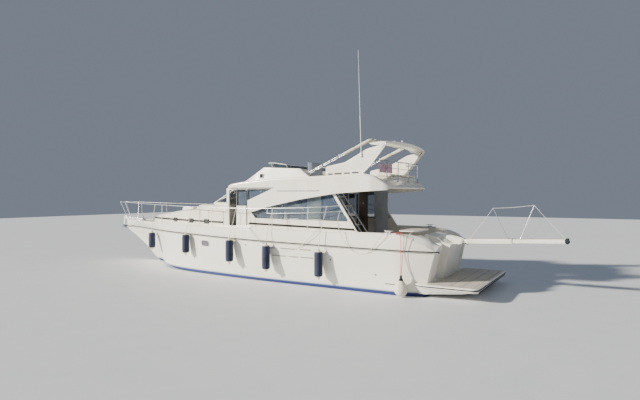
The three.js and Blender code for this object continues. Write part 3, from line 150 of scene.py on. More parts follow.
# Shapes: each maker gives (points, faces), in metres

def joined(*shells):
    points, faces = [], []
    for more_points, more_faces in shells:
        base = len(points)
        points += [tuple(p) for p in more_points]
        faces += [[base + i for i in face] for face in more_faces]
    return points, faces


def mirrored(shell):
    points, faces = shell
    return [(x, -y, z) for x, y, z in points], [face[::-1] for face in faces]


def both_sides(shell):
    return joined(shell, mirrored(shell))


def on_board(side, parts):
    """Parts drawn to port, as they are or mirrored to starboard."""
    return parts if side > 0 else [(mirrored(shell), finish) for shell, finish in parts]


def placed(shell, matrix):
    points, faces = shell
    return [tuple(matrix @ Vector(p)) for p in points], faces


def of_bmesh(bm):
    bm.verts.ensure_lookup_table()
    bm.verts.index_update()
    shell = [tuple(v.co) for v in bm.verts], [[v.index for v in f.verts] for f in bm.faces]
    bm.free()
    return shell


def block(low, high, edge=0.0, steps=2):
    """A box between two corners, its edges rounded."""
    bm = bmesh.new()
    bmesh.ops.create_cube(bm, size=1)
    for v in bm.verts:
        v.co = [low[k] + (v.co[k] + 0.5) * (high[k] - low[k]) for k in range(3)]
    if edge:
        bmesh.ops.bevel(bm, geom=bm.edges[:], offset=edge, segments=steps, profile=0.5, affect="EDGES")
    return of_bmesh(bm)


def skin(rings, ends=True, loop=False):
    """Faces between rings of equally many points."""
    count = len(rings[0])
    points = [tuple(p) for ring in rings for p in ring]
    faces = []
    spans = len(rings) if loop else len(rings) - 1
    for r in range(spans):
        nxt = (r + 1) % len(rings)
        for k in range(count):
            m = (k + 1) % count
            faces.append([r * count + k, r * count + m, nxt * count + m, nxt * count + k])
    if ends and not loop:
        faces.append(list(range(count))[::-1])
        faces.append([(len(rings) - 1) * count + k for k in range(count)])
    return points, faces


def angles(count):
    """Even steps round a whole turn."""
    return [2 * math.pi * k / count for k in range(count)]


def shares(count):
    """Even steps from 0 to 1."""
    return [k / count for k in range(count + 1)]


def circle(radius, sides):
    return [(radius * math.cos(a), radius * math.sin(a)) for a in angles(sides)]


def oval(wide, high, sides):
    return [(a * wide, b * high) for a, b in circle(1, sides)]


def rect(left, low, right, high, radius=0.0, by=0.0):
    """Four corners with one radius, moved outwards on all sides by a distance."""
    left, low, right, high = left - by, low - by, right + by, high + by
    return [(left, low, radius), (right, low, radius), (right, high, radius), (left, high, radius)]


def turned_to(axis):
    """The turn that carries +Z to an axis."""
    return Vector(UP).rotation_difference(Vector(axis)).to_matrix().to_4x4()


def smooth_line(points, steps=6):
    """Points along a smooth curve through the given ones."""
    rows = [Vector(p) for p in points]
    line = []
    for i in range(len(rows) - 1):
        before = rows[i - 1] if i else rows[0] * 2 - rows[1]
        after = rows[i + 2] if i + 2 < len(rows) else rows[-1] * 2 - rows[-2]
        a, b = rows[i], rows[i + 1]
        for k in range(steps):
            t = k / steps
            square, cube = 2 * before - 5 * a + 4 * b - after, 3 * a - before - 3 * b + after
            line.append(0.5 * (2 * a + (b - before) * t + square * t * t + cube * t * t * t))
    line.append(rows[-1])
    return line


def eased(points, bend, steps=6):
    """Points with each inner corner turned into a short curve."""
    rows = [Vector(p) for p in points]
    line = [rows[0]]
    for i in range(1, len(rows) - 1):
        here = rows[i]
        before, after = rows[i - 1] - here, rows[i + 1] - here
        reach = min(bend, before.length / 2.1, after.length / 2.1)
        enter, leave = here + before.normalized() * reach, here + after.normalized() * reach
        for k in range(steps + 1):
            t = k / steps
            line.append(enter * (1 - t) ** 2 + here * 2 * t * (1 - t) + leave * t * t)
    line.append(rows[-1])
    return line


def sweep(points, section, up=None, loop=False):
    """A section carried along points. Its first axis lies level with up given, or else turns least."""
    rows = [Vector(p) for p in points]
    count = len(rows)
    rings, side = [], None
    for i, here in enumerate(rows):
        ahead = rows[(i + 1) % count] if loop or i + 1 < count else here
        behind = rows[i - 1] if loop or i else here
        along = (ahead - behind).normalized()
        if up is not None:
            side = Vector(up).cross(along).normalized()
        elif side is None:
            side = along.orthogonal().normalized()
        else:
            side = (side - along * side.dot(along)).normalized()
        rise = along.cross(side)
        rings.append([here + side * a + rise * b for a, b in (section(i) if callable(section) else section)])
    return skin(rings, loop=loop)


def tube(points, radius, sides=10, bend=0.0, loop=False):
    return sweep(eased(points, bend) if bend else points, circle(radius, sides), loop=loop)


def lathe(profile, centre=(0, 0, 0), axis=(0, 0, 1), sides=24):
    """(radius, height) points turned about an axis through the centre. Ends at radius 0 are closed there."""
    rings, points, faces = [], [], []
    for radius, height in profile:
        if radius < 1e-6:
            rings.append([len(points)])
            points.append((0, 0, height))
        else:
            rings.append(list(range(len(points), len(points) + sides)))
            points += [(a, b, height) for a, b in circle(radius, sides)]
    for low, high in zip(rings, rings[1:]):
        for k in range(sides):
            m = (k + 1) % sides
            face = [low[k % len(low)], low[m % len(low)], high[m % len(high)], high[k % len(high)]]
            kept = [v for i, v in enumerate(face) if v != face[i - 1]]
            if len(kept) > 2:
                faces.append(kept)
    if len(rings[0]) > 1:
        faces.append(rings[0][::-1])
    if len(rings[-1]) > 1:
        faces.append(rings[-1])
    return placed((points, faces), Matrix.Translation(centre) @ turned_to(axis))


def bar(start, end, radius, end_radius=None, sides=14, edge=0.0):
    """A round bar between two points, its rims eased by an edge."""
    a, b = Vector(start), Vector(end)
    long = (b - a).length
    far = radius if end_radius is None else end_radius
    profile = [(radius, 0), (far, long)]
    if edge:
        profile = [(radius - edge, 0), (radius, edge), (far, long - edge), (far - edge, long)]
    return lathe(profile, a, b - a, sides)


def outline(corners, steps=6):
    """Corners (a, b) or (a, b, radius), those with a radius turned into a curve."""
    line = []
    count = len(corners)
    for i, (a, b, *rest) in enumerate(corners):
        here = Vector((a, b))
        if not rest or not rest[0]:
            line.append(here)
            continue
        before = (Vector(corners[i - 1][:2]) - here).normalized() * rest[0]
        after = (Vector(corners[(i + 1) % count][:2]) - here).normalized() * rest[0]
        for k in range(steps + 1):
            t = k / steps
            line.append((here + before) * (1 - t) ** 2 + here * 2 * t * (1 - t) + (here + after) * t * t)
    return line


def area(line):
    return sum(line[i - 1].x * p.y - p.x * line[i - 1].y for i, p in enumerate(line)) / 2


def inset(line, by):
    """A left-turning outline moved inwards."""
    if not by:
        return line
    moved = []
    for i, here in enumerate(line):
        into, out = (here - line[i - 1]).normalized(), (line[(i + 1) % len(line)] - here).normalized()
        first, second = Vector((-into.y, into.x)), Vector((-out.y, out.x))
        moved.append(here + (first + second) * by / max(0.4, 1 + first.dot(second)))
    return moved


PLANES = {"xy": (0, 1, 2), "xz": (0, 2, 1), "yz": (1, 2, 0)}


def plate(plane, corners, low, high, holes=(), edge=0.0, steps=6):
    """A flat outline with holes, solid from one height above its plane to another, its rims rounded."""
    lines = [outline(corners, steps)] + [outline(hole, steps) for hole in holes]
    lines = [line if (area(line) > 0) == (n == 0) else line[::-1] for n, line in enumerate(lines)]
    levels = [(low, 0.0), (high, 0.0)]
    if edge:
        turn = [(edge * (1 - math.sin(t)), edge * (1 - math.cos(t))) for t in (0, math.pi / 6, math.pi / 3)]
        turn.append((0.0, edge))
        levels = [(low + up, by) for by, up in turn] + [(high - up, by) for by, up in turn[::-1]]
    axes = PLANES[plane]
    points, faces, flats = [], [], {}
    for n, (height, by) in enumerate(levels):
        for line in lines:
            for p in inset(line, by):
                spot = [0.0, 0.0, 0.0]
                spot[axes[0]], spot[axes[1]], spot[axes[2]] = p.x, p.y, height
                points.append(tuple(spot))
        flats[n] = by
    total = sum(len(line) for line in lines)
    start = 0
    for line in lines:
        count = len(line)
        for n in range(len(levels) - 1):
            for k in range(count):
                a, b = n * total + start + k, n * total + start + (k + 1) % count
                faces.append([a, b, b + total, a + total])
        start += count
    for n in (0, len(levels) - 1):
        rows = [[Vector((p.x, p.y, 0)) for p in inset(line, flats[n])] for line in lines]
        for triangle in tessellate_polygon(rows):
            faces.append([n * total + i for i in triangle])
    return points, faces


def patch(points_at, across, up):
    """An open sheet from a function of two shares."""
    points = [tuple(points_at(i / across, j / up)) for j in range(up + 1) for i in range(across + 1)]
    wide = across + 1
    faces = [
        [j * wide + i, j * wide + i + 1, (j + 1) * wide + i + 1, (j + 1) * wide + i]
        for j in range(up)
        for i in range(across)
    ]
    return points, faces


def dressed(points_at, across, up, thick):
    """A closed slab on a curved surface: points_at(share, share, outwards)."""
    front = patch(lambda s, t: points_at(s, t, thick), across, up)
    back = patch(lambda s, t: points_at(s, t, 0.0), across, up)
    wide = across + 1
    rim = list(range(wide))
    rim += [j * wide + across for j in range(1, up + 1)]
    rim += [up * wide + i for i in range(across - 1, -1, -1)]
    rim += [j * wide for j in range(up - 1, 0, -1)]
    base = len(front[0])
    faces = front[1] + [[base + i for i in face[::-1]] for face in back[1]]
    faces += [[rim[k - 1], rim[k - 1] + base, rim[k] + base, rim[k]] for k in range(len(rim))]
    return front[0] + back[0], faces


def mesh_of(name, parts, weld=False):
    """One mesh from (shell, finish) parts, its faces turned outwards."""
    mesh = bpy.data.meshes.new(name)
    points, faces, marks, finishes = [], [], [], []
    for (more_points, more_faces), finish in parts:
        base = len(points)
        points += [tuple(p) for p in more_points]
        faces += [[base + i for i in face] for face in more_faces]
        if finish not in finishes:
            finishes.append(finish)
        marks += [finishes.index(finish)] * len(more_faces)
    mesh.from_pydata(points, [], faces)
    for finish in finishes:
        mesh.materials.append(finish)
    mesh.polygons.foreach_set("material_index", marks)
    bm = bmesh.new()
    bm.from_mesh(mesh)
    if weld:
        bmesh.ops.remove_doubles(bm, verts=bm.verts[:], dist=1e-5)
    bmesh.ops.dissolve_degenerate(bm, edges=bm.edges[:], dist=1e-6)
    bmesh.ops.recalc_face_normals(bm, faces=bm.faces[:])
    bm.to_mesh(mesh)
    bm.free()
    return mesh


def new_object(name, data):
    thing = bpy.data.objects.new(name, data)
    bpy.context.scene.collection.objects.link(thing)
    return thing


def evaluated(thing):
    """A new mesh of an object as its modifiers leave it."""
    depsgraph = bpy.context.evaluated_depsgraph_get()
    return bpy.data.meshes.new_from_object(thing.evaluated_get(depsgraph))


def shaded(mesh, sharp):
    mesh.polygons.foreach_set("use_smooth", [True] * len(mesh.polygons))
    mesh.set_sharp_from_angle(angle=math.radians(sharp))


def shown(name, mesh, body, stands_for=(), sharp=34, even=True):
    """A mesh as a piece that rides on a body and stands for CAD nodes."""
    shaded(mesh, sharp)
    thing = new_object(name, mesh)
    if even:
        weighted = thing.modifiers.new("even shading", "WEIGHTED_NORMAL")
        weighted.keep_sharp = True
    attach(thing, body)
    if stands_for:
        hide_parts(*([stands_for] if isinstance(stands_for, str) else stands_for))
    return thing


def piece(name, body, parts, stands_for=(), sharp=34, even=True):
    return shown(name, mesh_of(name, parts), body, stands_for, sharp, even)


def cut(mesh, tools):
    """The mesh with closed shells cut out of it."""
    thing = new_object("being_cut", mesh)
    helpers = []
    for n, tool in enumerate(tools):
        helper = new_object(f"cutter_{n}", mesh_of(f"cutter_{n}", [(tool, mesh.materials[0])]))
        helpers.append(helper)
        modifier = thing.modifiers.new(f"cut {n}", "BOOLEAN")
        modifier.operation = "DIFFERENCE"
        modifier.object = helper
        modifier.solver = "EXACT"
    result = evaluated(thing)
    for thing in [thing, *helpers]:
        bpy.data.objects.remove(thing)
    return result


# Finishes

def tone(red, green, blue):
    """A colour as seen on a screen, 0 to 255, turned into light."""
    parts = [c / 255 for c in (red, green, blue)]
    return [c / 12.92 if c <= 0.04 else ((c + 0.055) / 1.055) ** 2.4 for c in parts] + [1.0]


SIGNS = ("ADD", "SUBTRACT", "MULTIPLY", "DIVIDE")


def reckoned(sign, turned=False):
    """A wire's method for one sign, or for the same sign with the wire on its right."""

    def method(self, other):
        return self.maths(sign, other, self) if turned else self.maths(sign, self, other)

    return method


class Wire:
    """A number between two nodes that can be reckoned with."""

    def __init__(self, finish, socket):
        self.finish, self.socket = finish, socket

    def maths(self, operation, first, second):
        return self.finish.node("Math", {"operation": operation}, {0: first, 1: second})

    __add__, __sub__, __mul__, __truediv__ = [reckoned(sign) for sign in SIGNS]
    __radd__, __rsub__, __rmul__, __rtruediv__ = [reckoned(sign, True) for sign in SIGNS]
    __mod__, __gt__, __lt__ = reckoned("FLOORED_MODULO"), reckoned("GREATER_THAN"), reckoned("LESS_THAN")
    most = reckoned("MAXIMUM")

    def __abs__(self):
        return self.maths("ABSOLUTE", self, 0.0)

    def rise(self, low, high):
        """0 below low, 1 above high, eased between them. Low above high turns it round."""
        sockets = {"Value": self, "From Min": low, "From Max": high, "To Min": 0.0, "To Max": 1.0}
        return self.finish.node("MapRange", {"interpolation_type": "SMOOTHSTEP"}, sockets)


class Finish:
    """A material on one Principled shader, its nodes made by one method."""

    def __init__(self, name, **fixed):
        self.material = bpy.data.materials.new(name)
        self.material.use_nodes = True
        self.tree = self.material.node_tree
        self.tree.nodes.clear()
        self.shader = self.tree.nodes.new("ShaderNodeBsdfPrincipled")
        output = self.tree.nodes.new("ShaderNodeOutputMaterial")
        self.tree.links.new(self.shader.outputs[0], output.inputs[0])
        for key, value in fixed.items():
            self.set(key.replace("_", " "), value)

    def feed(self, socket, value):
        if isinstance(value, Wire):
            self.tree.links.new(value.socket, socket)
        else:
            socket.default_value = value

    def node(self, kind, settings=None, sockets=None, out=0):
        made = self.tree.nodes.new("ShaderNode" + kind)
        for key, value in (settings or {}).items():
            setattr(made, key, value)
        for key, value in (sockets or {}).items():
            self.feed(made.inputs[key], value)
        return Wire(self, made.outputs[out])

    def set(self, name, value):
        self.feed(self.shader.inputs[name], value)

    def place(self, stretch=(1, 1, 1)):
        return self.node("Mapping", None, {"Vector": self.node("TexCoord", out="Object"), "Scale": stretch})

    def along(self, axis):
        return self.node("SeparateXYZ", None, {0: self.place()}, out=axis)

    def facing(self, axis):
        return self.node("SeparateXYZ", None, {0: self.node("NewGeometry", out="Normal")}, out=axis)

    def noise(self, scale, detail=3.0, stretch=(1, 1, 1)):
        sockets = {"Vector": self.place(stretch), "Scale": scale, "Detail": detail, "Roughness": 0.55}
        return self.node("TexNoise", None, sockets)

    def mix(self, share, first, second):
        return self.node("Mix", {"data_type": "RGBA"}, {0: share, 6: first, 7: second}, out=2)

    def bump(self, height, depth, strength=1.0):
        sockets = {"Strength": strength, "Distance": depth, "Height": height}
        self.set("Normal", self.node("Bump", None, sockets))

    def colour(self, share, first, second):
        self.set("Base Color", self.mix(share, tone(*first), tone(*second)))


def moulded(name, light, dark, gloss=0.24, coat=0.35):
    """Glossy moulded gelcoat or enamel: faint clouds of tone, a slightly wavy skin, dull spots."""
    finish = Finish(name, Coat_Roughness=0.12, IOR=1.5)
    finish.colour(finish.noise(1.3, 4).rise(0.35, 0.75), light, dark)
    finish.set("Roughness", gloss + finish.noise(9, 3).rise(0.4, 0.8) * 0.12)
    finish.set("Coat Weight", coat)
    finish.bump(finish.noise(3.2, 2), 0.004, 0.35)
    return finish


GEL_LIGHT, GEL_DARK = (250, 246, 235), (241, 235, 220)
# Tops of the blue boot stripe and of the painted band of water reflection and shade above it
BOOT_TOP, PAINTED_BAND_TOP = 0.105, 0.135


def hull_finish():
    """Gelcoat above, a deep blue boot stripe at the water under a pale grey-blue band of painted water
    reflection and shade, antifouling below and a moulded grip on the decks.
    """
    finish = moulded("hull_gelcoat", (250, 246, 234), (240, 234, 218))
    height = finish.along("Z")
    inboard = abs(finish.along("Y"))
    streaks = finish.noise(2.4, 5, (1.6, 1.6, 0.16)).rise(0.5, 0.85)
    low = height.rise(1.3, 0.15)
    side = finish.mix(streaks * low * 0.4, tone(250, 246, 234), tone(222, 214, 192))
    clouds = finish.mix(finish.noise(0.9, 4).rise(0.4, 0.8) * 0.4, side, tone(238, 231, 213))
    # Darker and greyer towards the water, from 0.22 m down to 0.13 m.
    darker_towards_water = finish.mix(height.rise(0.22, 0.13) * 0.6, clouds, tone(206, 204, 188))
    # A pale grey-blue band over the boot stripe: painted light, the water's reflection and shade along the
    # waterline.
    painted_waterline_light = finish.mix(height < PAINTED_BAND_TOP, darker_towards_water, tone(128, 150, 180))
    deep_band = finish.mix(height < BOOT_TOP, painted_waterline_light, tone(24, 42, 104))
    mottle = finish.mix(finish.noise(5, 4).rise(0.3, 0.7), tone(22, 38, 84), tone(34, 56, 104))
    painted = finish.mix(height < 0.0, deep_band, mottle)
    grip = (finish.facing("Z") > 0.9) * (height > 1.93) * (inboard > 0.0)
    decked = finish.mix(grip, painted, tone(232, 226, 208))
    finish.set("Base Color", decked)
    finish.set("Roughness", 0.22 + grip * 0.4 + (height < BOOT_TOP) * 0.3 + finish.noise(9, 3) * 0.06)
    finish.set("Coat Weight", 0.3)
    pips = finish.node("TexVoronoi", None, {"Vector": finish.place(), "Scale": 70.0})
    finish.bump(finish.noise(2.6, 2) * (1 - grip) * 0.8 + pips * grip * 0.5, 0.005, 0.5)
    return finish


def painted_shade_lining(name, wall, high, aft, light):
    """Gelcoat outside, and painted shade inside the cabin's walls and under the roof: a dim tone in place of
    the gelcoat there.
    """
    finish = moulded(name, GEL_LIGHT, GEL_DARK)
    # Inside the walls, below the roof's underside and forward of the aft end, the given tone is painted
    # shade.
    painted_shade_mask = (abs(finish.along("Y")) < wall) * (finish.along("Z") < high) * (finish.along("X") > aft)
    shell = finish.mix(finish.noise(1.3, 4).rise(0.35, 0.75), tone(*GEL_LIGHT), tone(*GEL_DARK))
    soft = finish.mix(finish.noise(5, 3).rise(0.3, 0.7), tone(*light), tone(*[v * 0.8 for v in light]))
    finish.set("Base Color", finish.mix(painted_shade_mask, shell, soft))
    return finish


def planked(name, light, dark, seam, width, gloss=0.62):
    """Wooden planks along X with dark seams between them."""
    finish = Finish(name)
    caulk = (finish.along("Y") % width < seam) * 1.0
    grain = finish.noise(9, 5, (0.6, 9, 9)).rise(0.3, 0.75)
    tinted = finish.mix(grain, tone(*light), tone(*dark))
    weathered = finish.mix(finish.noise(1.1, 3).rise(0.45, 0.75) * 0.5, tinted,
                           tone(*[0.5 * v + 96 for v in light]))
    finish.set("Base Color", finish.mix(caulk, weathered, tone(38, 36, 34)))
    finish.set("Roughness", gloss + grain * 0.15)
    finish.bump(grain * 0.4 - caulk, 0.002, 0.6)
    return finish


def polished(name, light, dark, gloss):
    """Polished metal with fine scratches and a few dull places."""
    finish = Finish(name, Metallic=1.0)
    finish.colour(finish.noise(14, 4).rise(0.35, 0.75), light, dark)
    finish.set("Roughness", gloss + finish.noise(60, 2, (1, 1, 0.2)).rise(0.3, 0.8) * 0.16)
    finish.bump(finish.noise(120, 2), 0.0006, 0.2)
    return finish


def pane(name, light, dark, clear=0.5, gloss=0.05):
    """Tinted glass: see-through in part, with faint clouds of tone."""
    finish = Finish(name, Alpha=clear, IOR=1.5, Coat_Weight=0.6, Coat_Roughness=0.03)
    finish.colour(finish.noise(0.8, 2).rise(0.3, 0.7), light, dark)
    finish.set("Roughness", gloss + finish.noise(6, 2).rise(0.5, 0.9) * 0.05)
    finish.bump(finish.noise(1.1, 1), 0.002, 0.15)
    return finish


def rubbery(name, light, dark, gloss=0.5):
    """Rubber, moulded plastic or a dull painted stripe, with scuffs."""
    finish = Finish(name, Specular_IOR_Level=0.15)
    finish.colour(finish.noise(7, 4).rise(0.35, 0.8), light, dark)
    finish.set("Roughness", gloss + finish.noise(22, 3).rise(0.3, 0.8) * 0.18)
    finish.bump(finish.noise(90, 2), 0.0008, 0.35)
    return finish


def woven(name, light, dark, threads=420.0, gloss=0.86):
    """Woven cloth: crossed threads, soft patches where it has faded, a little sheen."""
    finish = Finish(name, Sheen_Weight=0.25, Sheen_Roughness=0.5)
    finish.colour(finish.noise(2.6, 4).rise(0.35, 0.75), light, dark)
    finish.set("Roughness", gloss + finish.noise(30, 2) * 0.08)
    warp, weft = [finish.node("TexWave", {"bands_direction": way},
                              {"Vector": finish.place(), "Scale": threads / 6}) for way in ("DIAGONAL", "Z")]
    finish.bump(warp.most(weft) + finish.noise(18, 3) * 1.2, 0.0012, 0.5)
    return finish


def hide(name, light, dark):
    """Vinyl upholstery: a fine pebbled grain and softly worn patches."""
    finish = Finish(name, Coat_Weight=0.05, Coat_Roughness=0.4)
    finish.colour(finish.noise(3.1, 4).rise(0.35, 0.8), light, dark)
    finish.set("Roughness", 0.42 + finish.noise(12, 3) * 0.14)
    pebbles = finish.node("TexVoronoi", None, {"Vector": finish.place(), "Scale": 260.0})
    finish.bump(pebbles + finish.noise(14, 3) * 1.6, 0.0012, 0.4)
    return finish


def rope_finish(name, light, dark):
    """Three-strand rope: a slanted lay round the line, from its own coordinates."""
    finish = Finish(name)
    lay = finish.node("UVMap", {"uv_map": "lay"})
    u = finish.node("SeparateXYZ", None, {0: lay}, out="X")
    v = finish.node("SeparateXYZ", None, {0: lay}, out="Y")
    strand = abs((u * 3 + v) % 1.0 - 0.5) * 2
    finish.set("Base Color", finish.mix(strand.rise(0.55, 1.0), tone(*light), tone(*dark)))
    finish.set("Roughness", 0.82 + strand * 0.1)
    finish.bump(1 - strand * strand, 0.003, 0.9)
    return finish


HULL_GELCOAT = hull_finish().material
GELCOAT = moulded("gelcoat", GEL_LIGHT, GEL_DARK).material
# Gelcoat with painted shade inside the cabin and under the roof
CABIN_GELCOAT_WITH_PAINTED_SHADE = painted_shade_lining("cabin_gelcoat_with_painted_shade", 1.755, 3.6, -9.0, (96, 84, 68)).material
ROOF_GELCOAT_WITH_PAINTED_SHADE = painted_shade_lining("roof_gelcoat_with_painted_shade", 1.72, 3.515, -5.3, (112, 106, 94)).material
# Cabin wood darkened to paint the shade on the saloon's bulkhead
PAINTED_SHADE_WOOD = planked("cabin_wood_painted_shade", (78, 54, 36), (52, 34, 24), 0.001, 0.12, gloss=0.35).material
# Gelcoat darkened to paint the shade on faces inside and under things
PAINTED_SHADE_GELCOAT = moulded("painted_shade_gelcoat", (232, 229, 220), (220, 216, 205), 0.4, 0.1).material
ENAMEL = moulded("white_enamel", (240, 240, 236), (228, 228, 222), 0.3, 0.2).material
DECK_GRIP = rubbery("deck_grip", (234, 228, 210), (224, 217, 198), 0.66).material
TEAK = planked("teak", (222, 213, 198), (194, 184, 168), 0.006, 0.055).material
CABIN_WOOD = planked("cabin_wood", (150, 100, 62), (112, 70, 40), 0.001, 0.12, gloss=0.35).material
STEEL = polished("stainless", (232, 233, 235), (206, 208, 212), 0.3).material
# Stainless made darker to paint the shade on the flybridge's aft rail
DULL_STEEL_PAINTED_SHADE = polished("dull_stainless_painted_shade", (172, 173, 176), (144, 145, 149), 0.36).material
BRONZE = polished("propeller_bronze", (188, 158, 92), (132, 108, 62), 0.3).material
RUBBER = rubbery("dark_rubber", (46, 52, 60), (32, 36, 44)).material
RUB_PALE = rubbery("pale_rubber", (196, 194, 182), (168, 166, 156)).material
STRIPE = rubbery("stripe_paint", (46, 48, 46), (34, 36, 36), 0.3).material
BLACK_PLASTIC = rubbery("black_plastic", (36, 38, 42), (24, 26, 30), 0.4).material
ANTIFOULING = rubbery("antifouling", (34, 54, 100), (22, 38, 80), 0.6).material
SIDE_PANE = pane("side_glass", (112, 128, 146), (86, 102, 126), 0.42).material
SCREEN_PANE = pane("screen_glass", (46, 62, 78), (34, 46, 62), 0.7).material
SMOKED = pane("smoked_screen", (70, 84, 92), (52, 62, 72), 0.75).material
PORT_PANE = pane("porthole_glass", (108, 102, 118), (82, 78, 94), 0.95, 0.12).material
BLACK_PANE = pane("black_glass", (40, 42, 38), (28, 30, 28), 0.96, 0.1).material
VINYL = hide("pale_vinyl", (226, 220, 204), (208, 202, 186)).material
# Vinyl in a blue-grey tone that paints the shade on the bridge seat's aft faces
PAINTED_SHADE_VINYL = hide("vinyl_painted_shade", (146, 154, 172), (122, 130, 152)).material
MAROON = woven("maroon_cloth", (222, 176, 190), (196, 148, 164)).material
CANVAS = woven("canvas", (232, 226, 204), (214, 206, 180), 300).material
CURTAIN = woven("curtain_cloth", (232, 240, 208), (208, 218, 184), 300).material
# Pale cloth in a grey-blue tone that paints the shade on the starboard curtain
PAINTED_SHADE_CURTAIN = woven("curtain_cloth_painted_shade", (206, 212, 220), (182, 188, 198), 300).material
NAVY = woven("navy_cover", (40, 48, 76), (28, 34, 58), 360, 0.8).material
BUFF = rubbery("buff_plastic", (232, 228, 208), (212, 206, 184), 0.4).material
ENGINE = moulded("engine_enamel", (214, 216, 214), (196, 198, 196), 0.35, 0.1).material
ROPE = rope_finish("rope", (228, 222, 204), (166, 158, 138)).material
WHITE_CORD = rubbery("white_cord", (232, 230, 222), (214, 212, 204), 0.8).material
RED_ROPE = rope_finish("red_rope", (196, 44, 40), (140, 28, 28)).material
FLOOR = moulded("pale_floor", (222, 225, 229), (217, 221, 226), 0.6, 0.0).material


# Camera, light and floor

CAMERA_AT, CAMERA_AHEAD, CAMERA_PITCH = (-12.65, 17.01, 3.234), (0.514, -0.8578), math.radians(-0.58)
CAMERA_LENS, CAMERA_FILM, CAMERA_FAR = 27.84, 36, 200  # the first two in millimetres
FLOOR_REACH, FLOOR_THICK = 60, 0.02


def studio():
    camera = new_object("camera", bpy.data.cameras.new("camera"))
    camera.data.lens, camera.data.sensor_width, camera.data.clip_end = CAMERA_LENS, CAMERA_FILM, CAMERA_FAR
    camera.location = CAMERA_AT
    ahead = Vector((*CAMERA_AHEAD, math.tan(CAMERA_PITCH)))
    camera.rotation_euler = ahead.to_track_quat("-Z", "Y").to_euler()
    bpy.context.scene.camera = camera

    def sun(name, direction, power, spread, colour):
        lamp = new_object(name, bpy.data.lights.new(name, "SUN"))
        lamp.data.energy = power
        lamp.data.angle = math.radians(spread)
        lamp.data.color = colour
        lamp.rotation_euler = Vector(direction).to_track_quat("-Z", "Y").to_euler()

    sun("key_light", (-0.66, -0.64, -0.36), 8.3, 3.0, (1.0, 0.94, 0.83))
    sun("fill_light", (-0.2, -0.75, -0.7), 0.1, 60.0, (0.8, 0.88, 1.0))
    world = bpy.data.worlds.new("studio")
    world.use_nodes = True
    background = world.node_tree.nodes["Background"]
    background.inputs["Color"].default_value = (0.62, 0.72, 0.9, 1)
    background.inputs["Strength"].default_value = 0.3
    bpy.context.scene.world = world
    slab = block((-FLOOR_REACH, -FLOOR_REACH, -FLOOR_THICK), (FLOOR_REACH, FLOOR_REACH, 0.0))
    new_object("floor", mesh_of("floor", [(slab, FLOOR)]))


studio()


# Cords: two spare lines hung in bights over the port side

HANGING_LINES = [
    [
        (-0.79, 2.388, 2.022), (-0.805, 2.44, 2.021), (-0.835, 2.474, 1.99), (-0.92, 2.484, 1.93),
        (-1.04, 2.486, 1.815), (-1.22, 2.488, 1.645), (-1.405, 2.488, 1.505), (-1.49, 2.47, 1.45),
        (-1.585, 2.429, 1.39), (-1.765, 2.417, 1.295), (-1.945, 2.408, 1.23), (-2.13, 2.401, 1.195),
        (-2.31, 2.395, 1.18), (-2.49, 2.392, 1.195), (-2.67, 2.391, 1.23), (-2.855, 2.392, 1.295),
        (-3.035, 2.408, 1.39), (-3.11, 2.44, 1.442), (-3.215, 2.44, 1.505), (-3.395, 2.431, 1.645),
        (-3.57, 2.423, 1.815), (-3.69, 2.395, 1.945), (-3.76, 2.34, 2.0036), (-3.79, 2.245, 2.0016),
    ],
    [
        (-4.4, 1.88, 2.652), (-4.41, 1.96, 2.6), (-4.44, 2.09, 2.48), (-4.5, 2.22, 2.31),
        (-4.59, 2.33, 2.12), (-4.68, 2.376, 1.96), (-4.78, 2.372, 1.765), (-4.91, 2.366, 1.585),
        (-5.035, 2.366, 1.445), (-5.09, 2.35, 1.392), (-5.165, 2.309, 1.345), (-5.29, 2.294, 1.285),
        (-5.415, 2.287, 1.27), (-5.545, 2.281, 1.29), (-5.67, 2.294, 1.355), (-5.735, 2.322, 1.402),
        (-5.8, 2.324, 1.465), (-5.925, 2.308, 1.61), (-6.055, 2.296, 1.8), (-6.16, 2.25, 1.965),
        (-6.235, 2.165, 2.028), (-6.29, 2.092, 2.02),
    ],
]


def rope_mesh(name, line, radius, finish, sides=12, lay_length=0.06):
    """A round rope on a line, with its own coordinates round and along it."""
    mesh = mesh_of(name, [(tube(line, radius, sides), finish)])
    steps = [0.0]
    for a, b in zip(line, line[1:]):
        steps.append(steps[-1] + (b - a).length)
    layer = mesh.uv_layers.new(name="lay")
    ring_faces = (len(line) - 1) * sides
    for face in mesh.polygons:
        if face.index >= ring_faces:
            continue
        ks = [mesh.loops[i].vertex_index % sides for i in face.loop_indices]
        for loop, k in zip(face.loop_indices, ks):
            ring = mesh.loops[loop].vertex_index // sides
            wrapped = sides if k == 0 and max(ks) == sides - 1 else k
            layer.data[loop].uv = (wrapped / sides, steps[ring] / lay_length)
    return mesh


def hanging_lines():
    for n, route in enumerate(HANGING_LINES, 1):
        line = smooth_line(route, 5)
        length = sum((b - a).length for a, b in zip(line, line[1:]))
        name = f"hanging_line_{n}_rope"
        rope = shown(name, rope_mesh(name, line, ROPE_DIAMETER / 2, ROPE), "hull",
                     f"hanging_line_{n}", 60, even=False)


hanging_lines()


# Hull

def side_y(x, z):
    """Half breadth of the hull side at a height, on one curve from chine to rub rail, then to the deck."""
    row = hull_at(x)
    heights = [row["chineZ"], row["sideZ"], row["rubZ"]]
    breadths = [row["chineY"], row["sideY"], row["rubY"]]
    if z >= heights[2]:
        t = min(1.0, (z - heights[2]) / (DECK_Z - heights[2]))
        return breadths[2] + (row["deckY"] - breadths[2]) * t + 0.012 * math.sin(math.pi * t)
    total = 0.0
    for i in range(3):
        share = breadths[i]
        for j in range(3):
            if j != i:
                share *= (z - heights[j]) / (heights[i] - heights[j])
        total += share
    return total


